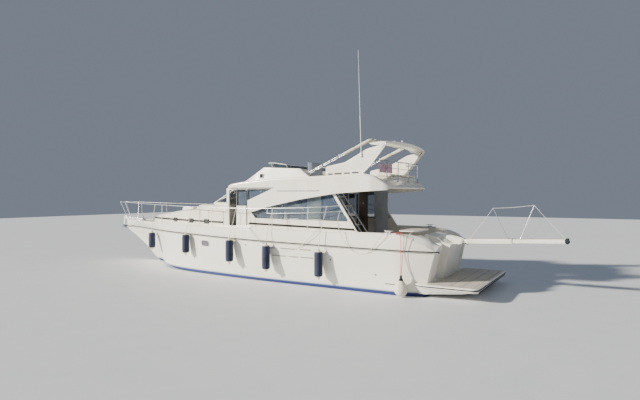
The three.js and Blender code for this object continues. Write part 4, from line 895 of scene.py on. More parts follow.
def on_side(x, z, proud=0.0, side=1):
    """A point on the hull side, moved out square to it."""
    y = side_y(x, z)
    slope_x = (side_y(x + 0.02, z) - side_y(x - 0.02, z)) / 0.04
    slope_z = (side_y(x, z + 0.02) - side_y(x, z - 0.02)) / 0.04
    out = Vector((-slope_x, 1.0, -slope_z)).normalized()
    point = Vector((x, y, z)) + out * proud
    return (point.x, side * point.y, point.z)


def steps_between(low, high, count):
    return [low + (high - low) * k / (count - 1) for k in range(count)]


SPRAY_RAIL = 0.035


def hull_half(x):
    row = hull_at(x)
    spray = SPRAY_RAIL * min(1.0, max(0.0, (6.6 - x) / 2.0))
    keel, chine_y, chine_z = row["keelZ"], row["chineY"], row["chineZ"]
    half = []
    for k in range(8):
        t = k / 8
        sag = 0.02 * math.sin(math.pi * t) * (spray / SPRAY_RAIL)
        half.append((chine_y * t, keel + (chine_z - keel) * t - sag))
    half.append((chine_y + spray, chine_z - 0.012))
    half.append((chine_y + spray, chine_z + 0.008))
    lowest = min(chine_z + 0.04, (chine_z + row["sideZ"]) / 2)
    for z in steps_between(lowest, row["rubZ"], 13):
        half.append((max(0.004, side_y(x, z)), z))
    turn = min(0.03, row["deckY"] * 0.5)
    for z in steps_between(row["rubZ"], DECK_Z - turn, 7)[1:]:
        half.append((max(0.004, side_y(x, z)), z))
    edge_y = side_y(x, DECK_Z - turn)
    for angle in (30, 60, 90):
        a = math.radians(angle)
        half.append((edge_y - turn * (1 - math.cos(a)), DECK_Z - turn + turn * math.sin(a)))
    for share in (0.8, 0.5, 0.25, 0.0):
        half.append(((edge_y - turn) * share, DECK_Z))
    return half


def transom_x(y, z):
    out = abs(y)
    bulge = TRANSOM_BULGE * (1 - min(1.0, out / 1.9) ** 2)
    corner = 4.5 * max(0.0, out - 1.8) ** 2
    return TRANSOM_X + TRANSOM_RAKE * (PLATFORM_Z - z) - bulge + corner


STERN_TOP = [(-8.9, 1.42), (-8.4, 1.5), (-7.78, 1.63), (-7.52, 1.79), (-7.15, 1.905), (-6.7, 1.95),
             (-6.6, 1.956)]
WELL = {"aft": -7.13, "fore": 0.85, "half": 1.69, "floor": 1.25}
STEP_LEVELS = [(PLATFORM_Z + 0.005, 0.17), (0.85, 0.33), (1.25, 0.5)]
PROPELLER_X, PROPELLER_Z, SHAFT_TILT = -6.38, -0.96, math.radians(10)


def shaft_point(d, y=SHAFT_Y):
    """A point on the propeller shaft's axis, ahead of the propeller."""
    return (PROPELLER_X + d * math.cos(SHAFT_TILT), y, PROPELLER_Z + d * math.sin(SHAFT_TILT))


CUT_TOP, CUT_FOOT, CUT_AFT = 2.9, -1.7, -12


def hull_cutters():
    ys = steps_between(-2.7, 2.7, 73)
    aft = skin([[(transom_x(y, z), y, z) for z in (CUT_FOOT, CUT_TOP)]
                + [(CUT_AFT, y, CUT_TOP), (CUT_AFT, y, CUT_FOOT)] for y in ys])
    line = [(p.x, p.y) for p in smooth_line([(x, z, 0) for x, z in STERN_TOP], 5)]
    rings = []
    for y in ys:
        ring = []
        for x, z in line:
            edge = hull_at(max(x, -8.3))["deckY"]
            share = min(1.3, max(0.0, (abs(y) - edge + 0.17) / 0.17))
            fade = min(1.0, max(0.0, (-6.6 - x) / 0.6))
            ring.append((x, y, z - 0.12 * fade * share * share))
        rings.append(ring + [(line[-1][0], y, CUT_TOP), (line[0][0], y, CUT_TOP)])
    top = skin(rings)
    tools = [aft, top]
    for z, depth in STEP_LEVELS:
        mouth, back = TRANSOM_X - TRANSOM_BULGE - 0.5, TRANSOM_X - 0.09 + depth
        corners = [(mouth, 0.76), (back, 0.76, 0.22), (back, 1.47, 0.22), (mouth, 1.47)]
        tool = plate("xy", corners, z, CUT_TOP, steps=8)
        tools += [tool, mirrored(tool)]
    half, aft_x, fore_x = WELL["half"], WELL["aft"], WELL["fore"]
    well = [(aft_x, -half, 0.12), (fore_x, -half), (fore_x, half), (aft_x, half, 0.12)]
    tools.append(plate("xy", well, WELL["floor"], CUT_TOP))
    tools.append(block((-6.4, -1.3, -0.15), (-3.3, 1.3, 1.26)))
    for side in (1, -1):
        ends = [shaft_point(d, side * SHAFT_Y) for d in (1.6, 2.98)]
        tools.append(bar(*ends, 0.042, sides=24))
    return tools


HULL_X = (
    steps_between(-8.3, -6.4, 20)
    + steps_between(-6.4, 4.0, 45)[1:]
    + steps_between(4.0, 8.6, 34)[1:]
    + steps_between(8.6, 9.21, 9)[1:]
    + [9.225, 9.24, 9.25, 9.26]
)


def hull():
    rings = []
    for x in HULL_X:
        half = hull_half(x)
        ring = [(x, y, z) for y, z in half]
        ring += [(x, -y, z) for y, z in half[-2:0:-1]]
        rings.append(ring)
    body = mesh_of("hull_shell", [(skin(rings), HULL_GELCOAT)])
    shown("hull_moulding", cut(body, hull_cutters()), "hull", "hull", 28)


def side_strip(column, start, section, lift=0.0):
    """A strip of one section along both sides, as offsets out and up from a hull line."""
    stations = [x for x in HULL_X if start < x < 9.2]
    rings = []
    for x in [start, *stations, 9.21]:
        row = hull_at(x)
        z = row["rubZ"] if column == "rubY" else DECK_Z + lift
        rings.append([(x, max(row[column] + out, 0.0), z + up) for out, up in section])
    return both_sides(skin(rings))


def rub_rail():
    dark = [(-0.025, 0.0), (0.04, 0.0), (0.042, 0.012), (0.034, 0.027), (0.02, 0.032), (-0.025, 0.032)]
    pale = [(-0.025, -0.032), (0.018, -0.032), (0.03, -0.026), (0.036, -0.012), (0.034, -0.001),
            (-0.025, -0.001)]
    nose = block((9.17, -0.07, 1.618), (9.265, 0.07, 1.682), 0.02, 3)
    tails = []
    for side in (1, -1):
        row = hull_at(-7.88)
        y = side * (row["rubY"] + 0.006)
        tails.append(block((-7.9, min(y, y + side * 0.034), row["rubZ"] - 0.03),
                           (-7.85, max(y, y + side * 0.034), row["rubZ"] + 0.03), 0.01))
    parts = [(side_strip("rubY", -7.88, dark), RUBBER), (side_strip("rubY", -7.88, pale), RUB_PALE)]
    piece("rub_rail_strip", "hull", parts + [(joined(nose, *tails), RUBBER)], "rub_rail", 40)


CLEATS = [-6.3, -0.79, 7.45]


def cleat(x, side):
    y = side * (hull_at(x)["deckY"] - 0.036)
    base = ON_DECK
    foot = plate("xy", rect(x - 0.09, y - 0.036, x + 0.09, y + 0.036, 0.03), base, base + 0.06, edge=0.008)
    posts = [lathe([(0.024, 0), (0.015, 0.016), (0.013, 0.045), (0.017, 0.06)], (x + d, y, base + 0.055),
                   sides=14) for d in (-0.045, 0.045)]
    curve = [(x - 0.15, y, base + 0.116), (x - 0.1, y, base + 0.108), (x, y, base + 0.105),
             (x + 0.1, y, base + 0.108), (x + 0.15, y, base + 0.116)]
    line = smooth_line(curve, 5)
    last = len(line) - 1

    def section(i):
        return circle(0.007 + 0.01 * math.sin(math.pi * min(max(i / last, 0.06), 0.94)), 12)

    return joined(foot, sweep(line, section), *posts)


def toe_rail():
    rail = [(-0.062, 0.0), (-0.062, 0.03), (-0.056, 0.039), (-0.046, 0.042), (-0.026, 0.042), (-0.016, 0.038),
            (-0.011, 0.03), (-0.01, 0.0)]
    strips = side_strip("deckY", -6.55, rail, SEAT_GAP)
    nose = block((9.08, -0.055, DECK_Z), (9.225, 0.055, TOE_RAIL_Z), 0.012)
    cleats = [cleat(x, side) for x in CLEATS for side in (1, -1)]
    parts = [(joined(strips, nose), GELCOAT), (joined(*cleats), STEEL)]
    piece("toe_rail_and_cleats", "hull", parts, "toe_rail", 40)


PLATFORM_PLAN = [
    (-7.18, -2.13, 0.2), (-7.18, 2.13, 0.2), (-7.5, 2.23, 0.1),
    (-9.17, 2.2, 0.26), (-9.17, -2.2, 0.26), (-7.5, -2.23, 0.1),
]


def plan_half(plan, x):
    """Half breadth of a plan outline at x, on the port side."""
    line = outline(plan, 12)
    best = 0.0
    for i, b in enumerate(line):
        a = line[i - 1]
        if (a.x - x) * (b.x - x) <= 0 and abs(a.x - b.x) > 1e-9:
            best = max(best, a.y + (b.y - a.y) * (x - a.x) / (b.x - a.x))
    return best


def platform():
    slab = plate("xy", PLATFORM_PLAN, 0.335, PLATFORM_Z, edge=0.03, steps=10)
    grown = [(x - (0.012 if x < -9 else 0), y + math.copysign(0.012, y), *r) for x, y, *r in PLATFORM_PLAN]
    fender_strip = plate("xy", grown, 0.37, 0.408, edge=0.012, steps=10)
    rings = []
    for x in steps_between(-9.15, -7.2, 26):
        low = 0.07 + (-7.18 - x) * 0.0955 if x > -8.7 else 0.215 + (-8.7 - x) * 0.287
        half = plan_half(PLATFORM_PLAN, max(x, -9.14)) - 0.05
        tuck = half - 0.16
        rings.append([(x, y, z) for y, z in [
            (half, 0.34), (half - 0.02, 0.3), (tuck, low + 0.02), (tuck - 0.1, low),
            (-tuck + 0.1, low), (-tuck, low + 0.02), (-half + 0.02, 0.3), (-half, 0.34)]])
    under = skin(rings)
    boards, slots = [], []
    edges = [-9.11, -9.0, -8.64, -8.3, -7.62]
    half = 2.12
    for n, (aft, fore) in enumerate(zip(edges, edges[1:])):
        corners = [(aft + 0.008, -half, 0.01), (aft + 0.008, half, 0.01), (fore - 0.008, half, 0.01),
                   (fore - 0.008, -half, 0.01)]
        if n == 0:
            corners = [(aft + 0.008, -half + 0.1, 0.06), (aft + 0.008, half - 0.1, 0.06),
                       (fore - 0.008, half, 0.05), (fore - 0.008, -half, 0.05)]
        boards.append(plate("xy", corners, PLATFORM_Z - 0.01, PLATFORM_Z + 0.006, edge=0.003))
        if n:
            slots.append(block((aft - 0.012, -1.9, PLATFORM_Z - 0.01),
                               (aft + 0.012, 1.9, PLATFORM_Z + 0.002)))
    parts = [(joined(slab, under), GELCOAT), (fender_strip, RUBBER), (joined(*boards), TEAK),
             (joined(*slots), BLACK_PLASTIC)]
    piece("bathing_platform", "hull", parts, "swim_platform", 38)


hull()
rub_rail()
toe_rail()
platform()


# Foredeck

def trunk_slope(row, base=DECK_Z):
    """How far the trunk's side leans in."""
    return min(0.13, (row["topZ"] - base) * 0.3)


def trunk_half(x):
    row = trunk_at(x)
    foot, top, base = row["footY"], row["topZ"], DECK_Z - 0.004
    slope = trunk_slope(row, base)
    knee = max(base + 0.03, top - 0.16)
    shoulder_y, shoulder_z = foot - slope - 0.06, top - 0.02
    knee_y = foot - slope * 0.35
    half = [(foot + 0.02, base), (foot + 0.004, base + 0.02)]
    half += [(foot + (knee_y - foot) * t, base + (knee - base) * t) for t in (0.15, 0.5, 0.85)]
    for k in range(7):
        t = k / 6
        a = (knee_y * (1 - t) ** 2 + (foot - slope * 0.6) * 2 * t * (1 - t) + shoulder_y * t * t)
        b = (knee * (1 - t) ** 2 + (top - 0.035) * 2 * t * (1 - t) + shoulder_z * t * t)
        half.append((a, max(b, base + 0.021)))
    for t in (0.25, 0.5, 0.75, 1.0):
        y = shoulder_y * (1 - t)
        half.append((y, shoulder_z + 0.045 * (1 - (y / max(shoulder_y, 0.01)) ** 2)))
    return half


HATCH = {"aft": 4.18, "fore": 4.86, "half": 0.34, "seat": 2.64}


def trunk():
    rings = []
    for x in steps_between(0.85, 6.3, 70) + steps_between(6.32, 6.65, 9):
        half = trunk_half(x)
        rings.append([(x, y, z) for y, z in half] + [(x, -y, z) for y, z in half[-2::-1]])
    body = skin(rings)
    aft, fore, half = HATCH["aft"], HATCH["fore"], HATCH["half"]
    coaming = plate("xy", rect(aft, -half, fore, half, 0.08, 0.03), 2.42, HATCH["seat"], edge=0.02)
    panels = []
    for side in (1, -1):
        grip = [(2.75, side * 0.14), (4.02, side * 0.14), (3.95, side * 0.98), (2.9, side * 1.12)]
        line = outline([(a, b, 0.09) for a, b in grip], 5)

        def top(x, y):
            row = trunk_at(x)
            shoulder = row["footY"] - trunk_slope(row) - 0.06
            return row["topZ"] - 0.02 + 0.045 * (1 - (y / shoulder) ** 2)

        middle = Vector((sum(p.x for p in line) / len(line), sum(p.y for p in line) / len(line)))
        rings = []
        for up, share in ((-0.004, 1.0), (0.004, 1.0), (0.006, 0.985)):
            row = [middle + (p - middle) * share for p in line]
            rings.append([(q.x, q.y, top(q.x, q.y) + up) for q in row])
        points, faces = skin(rings, ends=False)
        count = len(line)
        points.append((middle.x, middle.y, top(middle.x, middle.y) + 0.006))
        faces += [[2 * count + k, 2 * count + (k + 1) % count, 3 * count] for k in range(count)]
        panels.append((points, faces))
    parts = [(joined(body, coaming), GELCOAT), (joined(*panels), DECK_GRIP)]
    piece("foredeck_moulding", "hull", parts, "foredeck_trunk", 34)


def trunk_side(x, z, proud=0.0, side=1):
    """A point on the trunk's steep side."""
    row = trunk_at(x)
    slope = trunk_slope(row)
    knee = max(DECK_Z + 0.03, row["topZ"] - 0.16)
    share = min(1.0, max(0.0, (z - DECK_Z) / (knee - DECK_Z)))
    return (x, side * (row["footY"] - slope * 0.35 * share + proud), z)


PORTLIGHTS = [4.3, 3.09, 2.06]


def trunk_trim():
    """The dark stripe along the trunk and its portlights."""
    stripes, panes, rims = [], [], []
    for side in (1, -1):
        def stripe(s, t, out):
            x = 6.5 + (1.06 - 6.5) * s
            middle = 2.155 - 0.03 * s
            return trunk_side(x, middle + (t - 0.5) * 0.072, out, side)
        stripes.append(dressed(stripe, 60, 1, 0.004))
        for x in PORTLIGHTS:
            edges = (x - 0.165, 2.035, x + 0.165, 2.225)
            y = trunk_side(x, 2.13)[1]
            turn = math.atan2(trunk_side(x + 0.1, 2.13)[1] - trunk_side(x - 0.1, 2.13)[1], 0.2)
            matrix = (Matrix.Translation((x, side * y, 0)) @ Matrix.Rotation(side * turn, 4, "Z")
                      @ Matrix.Translation((-x, 0, 0)))
            low, high = (-0.01, 0.012) if side > 0 else (-0.012, 0.01)
            hole = rect(*edges, 0.04, -0.022)
            rims.append(placed(plate("xz", rect(*edges, 0.05), low, high, [hole], 0.005), matrix))
            panes.append(placed(plate("xz", hole, -0.006, 0.006), matrix))
    piece("trunk_stripe", "hull", [(joined(*stripes), STRIPE)])
    piece("trunk_portlights", "hull", [(joined(*panes), BLACK_PANE), (joined(*rims), RUBBER)])


def foredeck_hatch():
    aft, fore, half = HATCH["aft"], HATCH["fore"], HATCH["half"]
    low = HATCH["seat"] + SEAT_GAP
    inner = rect(aft, -half, fore, half, 0.05, -0.05)
    rim = plate("xy", rect(aft, -half, fore, half, 0.06), low, low + 0.042, [inner], 0.008)
    lens = plate("xy", inner, low + 0.008, low + 0.036)
    knobs = [lathe([(0.0, 0), (0.016, 0), (0.016, 0.006), (0.01, 0.01), (0, 0.011)],
                   (fore - 0.1, y, low + 0.035)) for y in (-0.2, 0.2)]
    hinges = [block((aft - 0.004, y - 0.05, low + 0.006), (aft + 0.05, y + 0.05, low + 0.046), 0.008)
              for y in (-0.22, 0.22)]
    parts = [(rim, STEEL), (lens, BLACK_PANE), (joined(*knobs, *hinges), STEEL)]
    piece("foredeck_hatch_lid", "foredeck_hatch", parts, "foredeck_hatch")


def windlass():
    base = ON_DECK
    body = plate("xy", rect(7.95, -0.11, 8.23, 0.11, 0.05), base, base + 0.09, edge=0.02)
    drum = lathe([(0.075, 0.0), (0.075, 0.01), (0.05, 0.03), (0.044, 0.06), (0.055, 0.09), (0.066, 0.1),
                  (0.066, 0.128), (0.05, 0.14), (0.0, 0.14)], (8.09, 0, base + 0.078), sides=32)
    bolts = [lathe([(0.008, 0), (0.008, 0.006), (0.0, 0.009)], (x, y, base + 0.089), sides=8)
             for x in (7.98, 8.2) for y in (-0.08, 0.08)]
    piece("anchor_windlass", "hull", [(joined(body, drum, *bolts), STEEL)], "windlass")


def anchor_gear():
    base = ON_TOE_RAIL
    cheeks = []
    for y in (0.046, -0.058):
        side = [(8.45, base), (9.4, base), (9.44, base + 0.05, 0.03), (9.38, base + 0.11, 0.03),
                (8.45, base + 0.06)]
        cheeks.append(plate("xz", side, y, y + 0.012, edge=0.003))
    bed = block((8.45, -0.0465, base), (9.24, 0.0465, base + 0.014), 0.003)
    pad = block((8.45, -0.0465, DECK_Z), (8.9, 0.0465, base + 0.001))
    roller = lathe([(0.034, 0), (0.022, 0.03), (0.02, 0.047), (0.022, 0.064), (0.034, 0.094)],
                   (9.37, -0.047, base + 0.06), (0, 1, 0), 24)
    z = base + 0.014
    arm = [(8.6, z - 0.002, 0.02), (9.23, z - 0.002), (9.315, z + 0.07, 0.03), (9.41, z + 0.07, 0.04),
           (9.425, z - 0.04, 0.06), (9.48, z - 0.3, 0.06), (9.56, z - 0.33, 0.02), (9.53, z + 0.02, 0.1),
           (9.48, z + 0.15, 0.08), (9.3, z + 0.15, 0.06), (9.2, z + 0.07, 0.06), (8.6, z + 0.05, 0.02)]
    shank = plate("xz", arm, -0.016, 0.016, edge=0.005)
    fluke = skin([
        [(9.6, 0, z - 0.3), (9.58, 0.002, z - 0.325), (9.56, 0, z - 0.35), (9.575, 0.006, z - 0.33)],
        [(9.585, 0.05, z - 0.29), (9.54, 0.06, z - 0.335), (9.5, 0.06, z - 0.4), (9.54, 0.07, z - 0.34)],
        [(9.55, 0.0, z - 0.31), (9.5, 0.12, z - 0.36), (9.43, 0.03, z - 0.47), (9.5, 0.14, z - 0.41)],
        [(9.4, 0.0, z - 0.4), (9.38, 0.05, z - 0.42), (9.34, 0.02, z - 0.47), (9.37, 0.07, z - 0.45)],
        [(9.33, 0, z - 0.43), (9.31, 0.01, z - 0.44), (9.29, 0, z - 0.46), (9.3, 0.012, z - 0.45)],
    ])
    parts = [(joined(bed, pad, *cheeks, shank, both_sides(fluke)), STEEL), (roller, RUBBER)]
    piece("bow_roller_and_anchor", "hull", parts, "anchor_gear")


# Guard rails

STANCHIONS = [(8.7, 0.15), (7.16, 0.06), (5.12, 0.03), (2.19, 0.03), (1.38, 0.03), (-0.24, 0.03),
              (-1.75, 0.03), (-3.25, 0.03)]
MID_RAIL_X = [-1.5, -2.4, -3.3, -4.0, -4.45]


def rail_point(x):
    row = rail_at(x)
    return (x, row["y"], row["z"])


def wall_pad(x, y, z):
    return joined(bar((x, CABIN_Y + SEAT_GAP, z), (x, CABIN_Y + 0.012, z), 0.034, edge=0.003, sides=20),
                  bar((x, CABIN_Y + 0.01, z), (x, y, z), 0.014))


def guard_rail(side, name):
    line = [rail_point(x) for x in steps_between(-4.33, 9.56, 90)]
    parts = [tube(line, RAIL_RADIUS, 12)]
    middle = []
    for x in MID_RAIL_X:
        row = rail_at(max(x, -4.33))
        middle.append((x, 1.85 if x < -4.33 else row["y"] + 0.024, row["z"] - 0.19))
    parts.append(tube(smooth_line(middle, 8), 0.012, 10))
    parts.append(bar(rail_point(-1.5), middle[0], 0.012))
    for x, lean in STANCHIONS:
        head = rail_point(x + lean)
        foot = (x, hull_at(x)["deckY"] - 0.128, ON_DECK)
        flange = lathe([(0.036, 0), (0.036, 0.004), (0.028, 0.01), (0.018, 0.018), (0.0135, 0.04)], foot,
                       sides=20)
        knuckle = lathe([(0.0, -0.024), (0.019, -0.02), (0.02, 0.0), (0.0, 0.001)],
                        (head[0], head[1], head[2] - 0.012))
        spots = [(foot[0] + 0.027 * math.cos(a), foot[1] + 0.027 * math.sin(a), foot[2] + 0.004)
                 for a in (0.8, 2.4, 3.9, 5.5)]
        screws = [lathe([(0.006, 0), (0.005, 0.003), (0, 0.004)], spot, sides=8) for spot in spots]
        parts += [bar((foot[0], foot[1], foot[2] + 0.008), head, 0.0125, sides=12), flange, knuckle, *screws]
    end = rail_point(-4.33)
    parts += [wall_pad(*end), wall_pad(middle[-1][0], 1.85, middle[-1][2])]
    parts = on_board(side, [(joined(*parts), STEEL)])
    piece(name + "_rail_tubes", "hull", parts, name, 40, even=False)


def pulpit():
    base = ON_TOE_RAIL
    y, z = 0.17, 2.88
    front = [(9.5603, y, z), (9.6, y - 0.005, z), (9.65, y - 0.06, z), (9.68, 0.0, z), (9.65, -y + 0.06, z),
             (9.6, -y + 0.005, z), (9.5603, -y, z)]
    parts = [tube(smooth_line(front, 8), RAIL_RADIUS, 12)]
    for side in (1, -1):
        foot = (9.08, side * 0.095, base)
        head = (9.64, side * (y - 0.04), z)
        parts.append(bar((foot[0], foot[1], foot[2] + 0.008), head, 0.014))
        parts.append(block((9.04, side * 0.095 - 0.02, base), (9.12, side * 0.095 + 0.02, base + 0.014),
                           0.004))
        parts.append(lathe([(0.02, 0), (0.017, 0.03)], (9.085, side * 0.095, base + 0.01),
                           (0.55, 0.06 * side, 0.88)))
    a = Vector((9.08, 0.095, base)).lerp(Vector((9.64, y - 0.04, z)), 0.45)
    parts.append(bar((a.x, a.y, a.z), (a.x, -a.y, a.z), 0.011))
    piece("bow_pulpit_tubes", "hull", [(joined(*parts), STEEL)], "bow_pulpit", 40, even=False)


trunk()
trunk_trim()
foredeck_hatch()
windlass()
anchor_gear()
guard_rail(1, "port_guard_rail")
guard_rail(-1, "starboard_guard_rail")
pulpit()


# Cabin sides

WALL = 0.045
CABIN_TOP = 3.4997
DOOR = {"aft": -0.17, "fore": 0.71, "sill": 2.0, "head": 3.44}


def raked_x(z, inset_by=0.0):
    """The raked aft edge of the cabin sides."""
    return -5.06 + 0.672 * (z - DECK_Z) + inset_by


SALOON_WINDOW = [(-0.42, 2.575, 0.05), (-0.64, 2.35, 0.06), (raked_x(2.33, 0.14), 2.33, 0.06),
                 (raked_x(3.29, 0.14), 3.29, 0.08), (-2.78, 3.13, 0.5), (-1.18, 2.81, 0.5)]
FRONT_WINDOW = [(-0.235, 3.44, 0.02), (-1.42, 3.44, 0.03), (-0.235, 3.0, 0.02)]


def cabin_side(name, side):
    low = ON_DECK
    wall = [(0.82, low), (0.82, CABIN_TOP), (raked_x(CABIN_TOP), CABIN_TOP), (raked_x(low), low)]
    doorway = rect(DOOR["aft"], DOOR["sill"], DOOR["fore"], DOOR["head"], 0.05)
    panel = plate("xz", wall, CABIN_Y - WALL, CABIN_Y, [doorway, SALOON_WINDOW, FRONT_WINDOW], 0.004)

    def rim(corners, wide, proud):
        """A thin gasket round an opening's edge."""
        line = outline(corners, 6)
        line = line if area(line) > 0 else line[::-1]
        inner, outer = inset(line, 0.004), inset(line, -wide)
        sunk, out = CABIN_Y - 0.006, CABIN_Y + proud
        return skin([[(a.x, sunk, a.y), (a.x, out, a.y), (b.x, out, b.y), (b.x, sunk, b.y)]
                     for a, b in zip(inner, outer)], loop=True)

    gaskets = joined(rim(SALOON_WINDOW, 0.012, 0.005), rim(FRONT_WINDOW, 0.01, 0.005))
    sill = block((DOOR["aft"], CABIN_Y - WALL, DOOR["sill"] - 0.001),
                 (DOOR["fore"], CABIN_Y + 0.012, DOOR["sill"] + 0.008), 0.003)
    raked = [(raked_x(2.02, -0.002), 2.02), (raked_x(2.02, 0.055), 2.02), (raked_x(3.27, 0.055), 3.27),
             (raked_x(3.27, -0.002), 3.27)]
    bar_strip = plate("xz", raked, CABIN_Y, CABIN_Y + 0.012, edge=0.004)
    strip = [(-0.28, 2.086), (-0.34, 2.166), (raked_x(2.06, 0.05), 2.078), (raked_x(2.02, 0.05), 2.002)]
    stripe = plate("xz", strip, CABIN_Y, CABIN_Y + 0.004)
    ledge = plate("xz", [(-0.68, 2.302), (-0.68, 2.32), (raked_x(2.32, 0.16), 2.318),
                         (raked_x(2.3, 0.16), 2.3)], CABIN_Y, CABIN_Y + 0.012, edge=0.003)
    jamb = block((-0.232, CABIN_Y, 2.03), (-0.176, CABIN_Y + 0.005, 3.43), 0.002)
    foot = block((raked_x(low) + 0.01, CABIN_Y - 0.002, low - 0.004), (0.84, CABIN_Y + 0.014, low + 0.018),
                 0.006)
    corner = [(0.812, CABIN_Y - WALL), (0.85, CABIN_Y - WALL + 0.004), (0.845, CABIN_Y - 0.012),
              (0.82, CABIN_Y - 0.0005)]
    nose = plate("xy", corner, low, CABIN_TOP)
    # The panel's inner face carries painted shade from its finish.
    shells = [(joined(panel, bar_strip, ledge, foot, nose), CABIN_GELCOAT_WITH_PAINTED_SHADE), (joined(gaskets, jamb), RUBBER),
              (stripe, STRIPE), (sill, STEEL)]
    piece(name + "_panel", "hull", on_board(side, shells), name, 34)


def side_glass(name, side):
    outer = GLASS_Y
    corners = [(-0.195, 3.49), (-0.195, 2.99), (-0.36, 2.56), (-0.6, 2.3), (raked_x(2.29, 0.09), 2.29),
               (raked_x(3.35, 0.09), 3.35), (-3.6, 3.49)]
    sheet = plate("xz", corners, outer - 0.01, outer, edge=0.002)
    joints = [block((x - 0.007, outer - 0.001, 2.33), (x + 0.007, outer + 0.003, 3.2))
              for x in (-1.92, -3.62)]
    slide = block((-3.62, outer - 0.001, 2.335), (-1.92, outer + 0.01, 2.352), 0.002)
    shells = [(sheet, SIDE_PANE), (joined(*joints), RUBBER), (slide, STEEL)]
    piece(name + "_pane", "hull", on_board(side, shells), name, 34)


LEAF = {"aft": -0.56, "fore": 0.38, "outer": 1.765, "thick": 0.034, "high": 3.45}


def helm_door(name, side):
    low, high, outer = ON_DECK, LEAF["high"], LEAF["outer"]
    aft, fore = LEAF["aft"], LEAF["fore"]
    light = rect(aft + 0.06, 2.82, fore - 0.06, high - 0.06, 0.05)
    frame_shell = plate("xz", rect(aft, low, fore, high, 0.03), outer - LEAF["thick"], outer, [light], 0.004)
    panel = plate("xz", rect(aft + 0.09, 2.09, fore - 0.09, 2.74, 0.05), outer - 0.002, outer + 0.006,
                  edge=0.004)
    gasket = plate("xz", rect(aft + 0.008, 2.808, fore - 0.008, high - 0.008, 0.03), outer - 0.026,
                   outer + 0.003, [rect(aft + 0.072, 2.832, fore - 0.072, high - 0.072, 0.04)], 0.002)
    glass = plate("xz", light, outer - 0.022, outer - 0.016)
    grip = [lathe([(0.0, 0), (0.017, 0.001), (0.017, 0.003), (0.007, 0.005), (0.007, 0.01)],
                  (fore - 0.03, outer, z), (0, 1, 0), 16) for z in (2.6, 2.74)]
    pull = tube([(fore - 0.03, outer + 0.011, 2.59), (fore - 0.03, outer + 0.011, 2.75)], 0.0055, 10)
    shells = [(joined(frame_shell, panel), GELCOAT), (gasket, RUBBER), (glass, SIDE_PANE),
              (joined(*grip, pull), STEEL)]
    piece(name + "_leaf", name, on_board(side, shells), name, 34)


BULKHEAD = {"x": -3.78, "thick": 0.05, "half": 1.68}
PANE = (0.24, 2.02, 1.56, 3.33)
SALOON_DOOR = {"port": -0.65, "starboard": -1.64, "high": 3.33, "x": -3.722, "thick": 0.03}


def saloon_bulkhead():
    x, thick, half = BULKHEAD["x"], BULKHEAD["thick"], BULKHEAD["half"]
    low = ON_SOLE
    left = [(-half, low), (-0.8, low), (-0.8, 3.3), (0.07, 3.3), (0.07, low), (half, low), (half, CABIN_TOP),
            (-half, CABIN_TOP)]
    panel = plate("yz", left, x, x + thick, [rect(*PANE, 0.06)], 0.004)
    trim = []
    for y in (-0.8, 0.07):
        trim.append(block((x - 0.01, y - 0.016, low), (x + 0.002, y + 0.016, 3.31), 0.004))
    trim.append(block((x - 0.01, -0.816, 3.285), (x + 0.002, 0.086, 3.316), 0.004))
    small = rect(*PANE, 0.05, -0.014)
    gasket = plate("yz", rect(*PANE, 0.07, 0.016), x - 0.006, x + 0.03, [small], 0.003)
    glass = plate("yz", small, x + 0.012, x + 0.022)
    lamp = lathe([(0.045, 0), (0.04, 0.02), (0.03, 0.03), (0, 0.032)], (x, -1.2, 2.9), (-1, 0, 0), 20)
    # The bulkhead's wood is darkened: painted shade.
    parts = [(panel, PAINTED_SHADE_WOOD), (joined(*trim), STEEL), (gasket, RUBBER), (glass, SIDE_PANE), (lamp, ENAMEL)]
    piece("saloon_bulkhead_panel", "hull", parts, "saloon_bulkhead", 34)


def saloon_door():
    port, starboard, high = SALOON_DOOR["port"], SALOON_DOOR["starboard"], SALOON_DOOR["high"]
    x, thick, low = SALOON_DOOR["x"], SALOON_DOOR["thick"], ON_SOLE
    leaf = [(starboard, low, 0.01), (port, low, 0.01), (port, high, 0.02), (starboard, high, 0.02)]
    light = rect(starboard + 0.07, low + 0.095, port - 0.07, high - 0.07, 0.04)
    frame_shell = plate("yz", leaf, x, x + thick, [light], 0.003)
    glass = plate("yz", light, x + 0.012, x + 0.018)
    pull = block((x - 0.004, port - 0.05, 2.2), (x + 0.001, port - 0.02, 2.42), 0.0015)
    parts = [(joined(frame_shell, pull), STEEL), (glass, SIDE_PANE)]
    piece("saloon_door_leaf", "saloon_door", parts, "saloon_door", 34)


def main_sole():
    """Teak planks in the cockpit with a hatch's seam, and darker planks in the saloon."""
    low = WELL["floor"] + SEAT_GAP
    aft, fore, half = WELL["aft"] + 0.02, WELL["fore"] - 0.01, WELL["half"] - 0.01
    split = BULKHEAD["x"] + 0.02
    outside = block((aft, -half, low), (split, half, SOLE_TOP), 0.002)
    inside = block((split + 0.0005, -half, low), (fore, half, SOLE_TOP), 0.002)
    hatch = (-6.4, -0.55, -5.5, 0.25, 0.03)
    seam = plate("xy", rect(*hatch), SOLE_TOP - 0.004, SOLE_TOP + 0.0015, [rect(*hatch, -0.01)])
    piece("sole_planks", "hull", [(outside, TEAK), (inside, CABIN_WOOD), (seam, STEEL)],
          "main_sole", 34)


for name, side in (("port", 1), ("starboard", -1)):
    cabin_side(name + "_cabin_side", side)
    side_glass(name + "_side_glass", side)
    helm_door(name + "_helm_door", side)
saloon_bulkhead()
saloon_door()
main_sole()


# Windscreen

SCREEN_FOOT = [(2.6, 0.0), (2.47, 0.78), (1.86, 1.4), (0.88, 1.69)]
SCREEN_HEAD = [(0.96, 0.0), (0.93, 0.72), (0.87, 1.3), (0.8, 1.69)]
SCREEN_LOW, SCREEN_HIGH = 2.9, 3.462


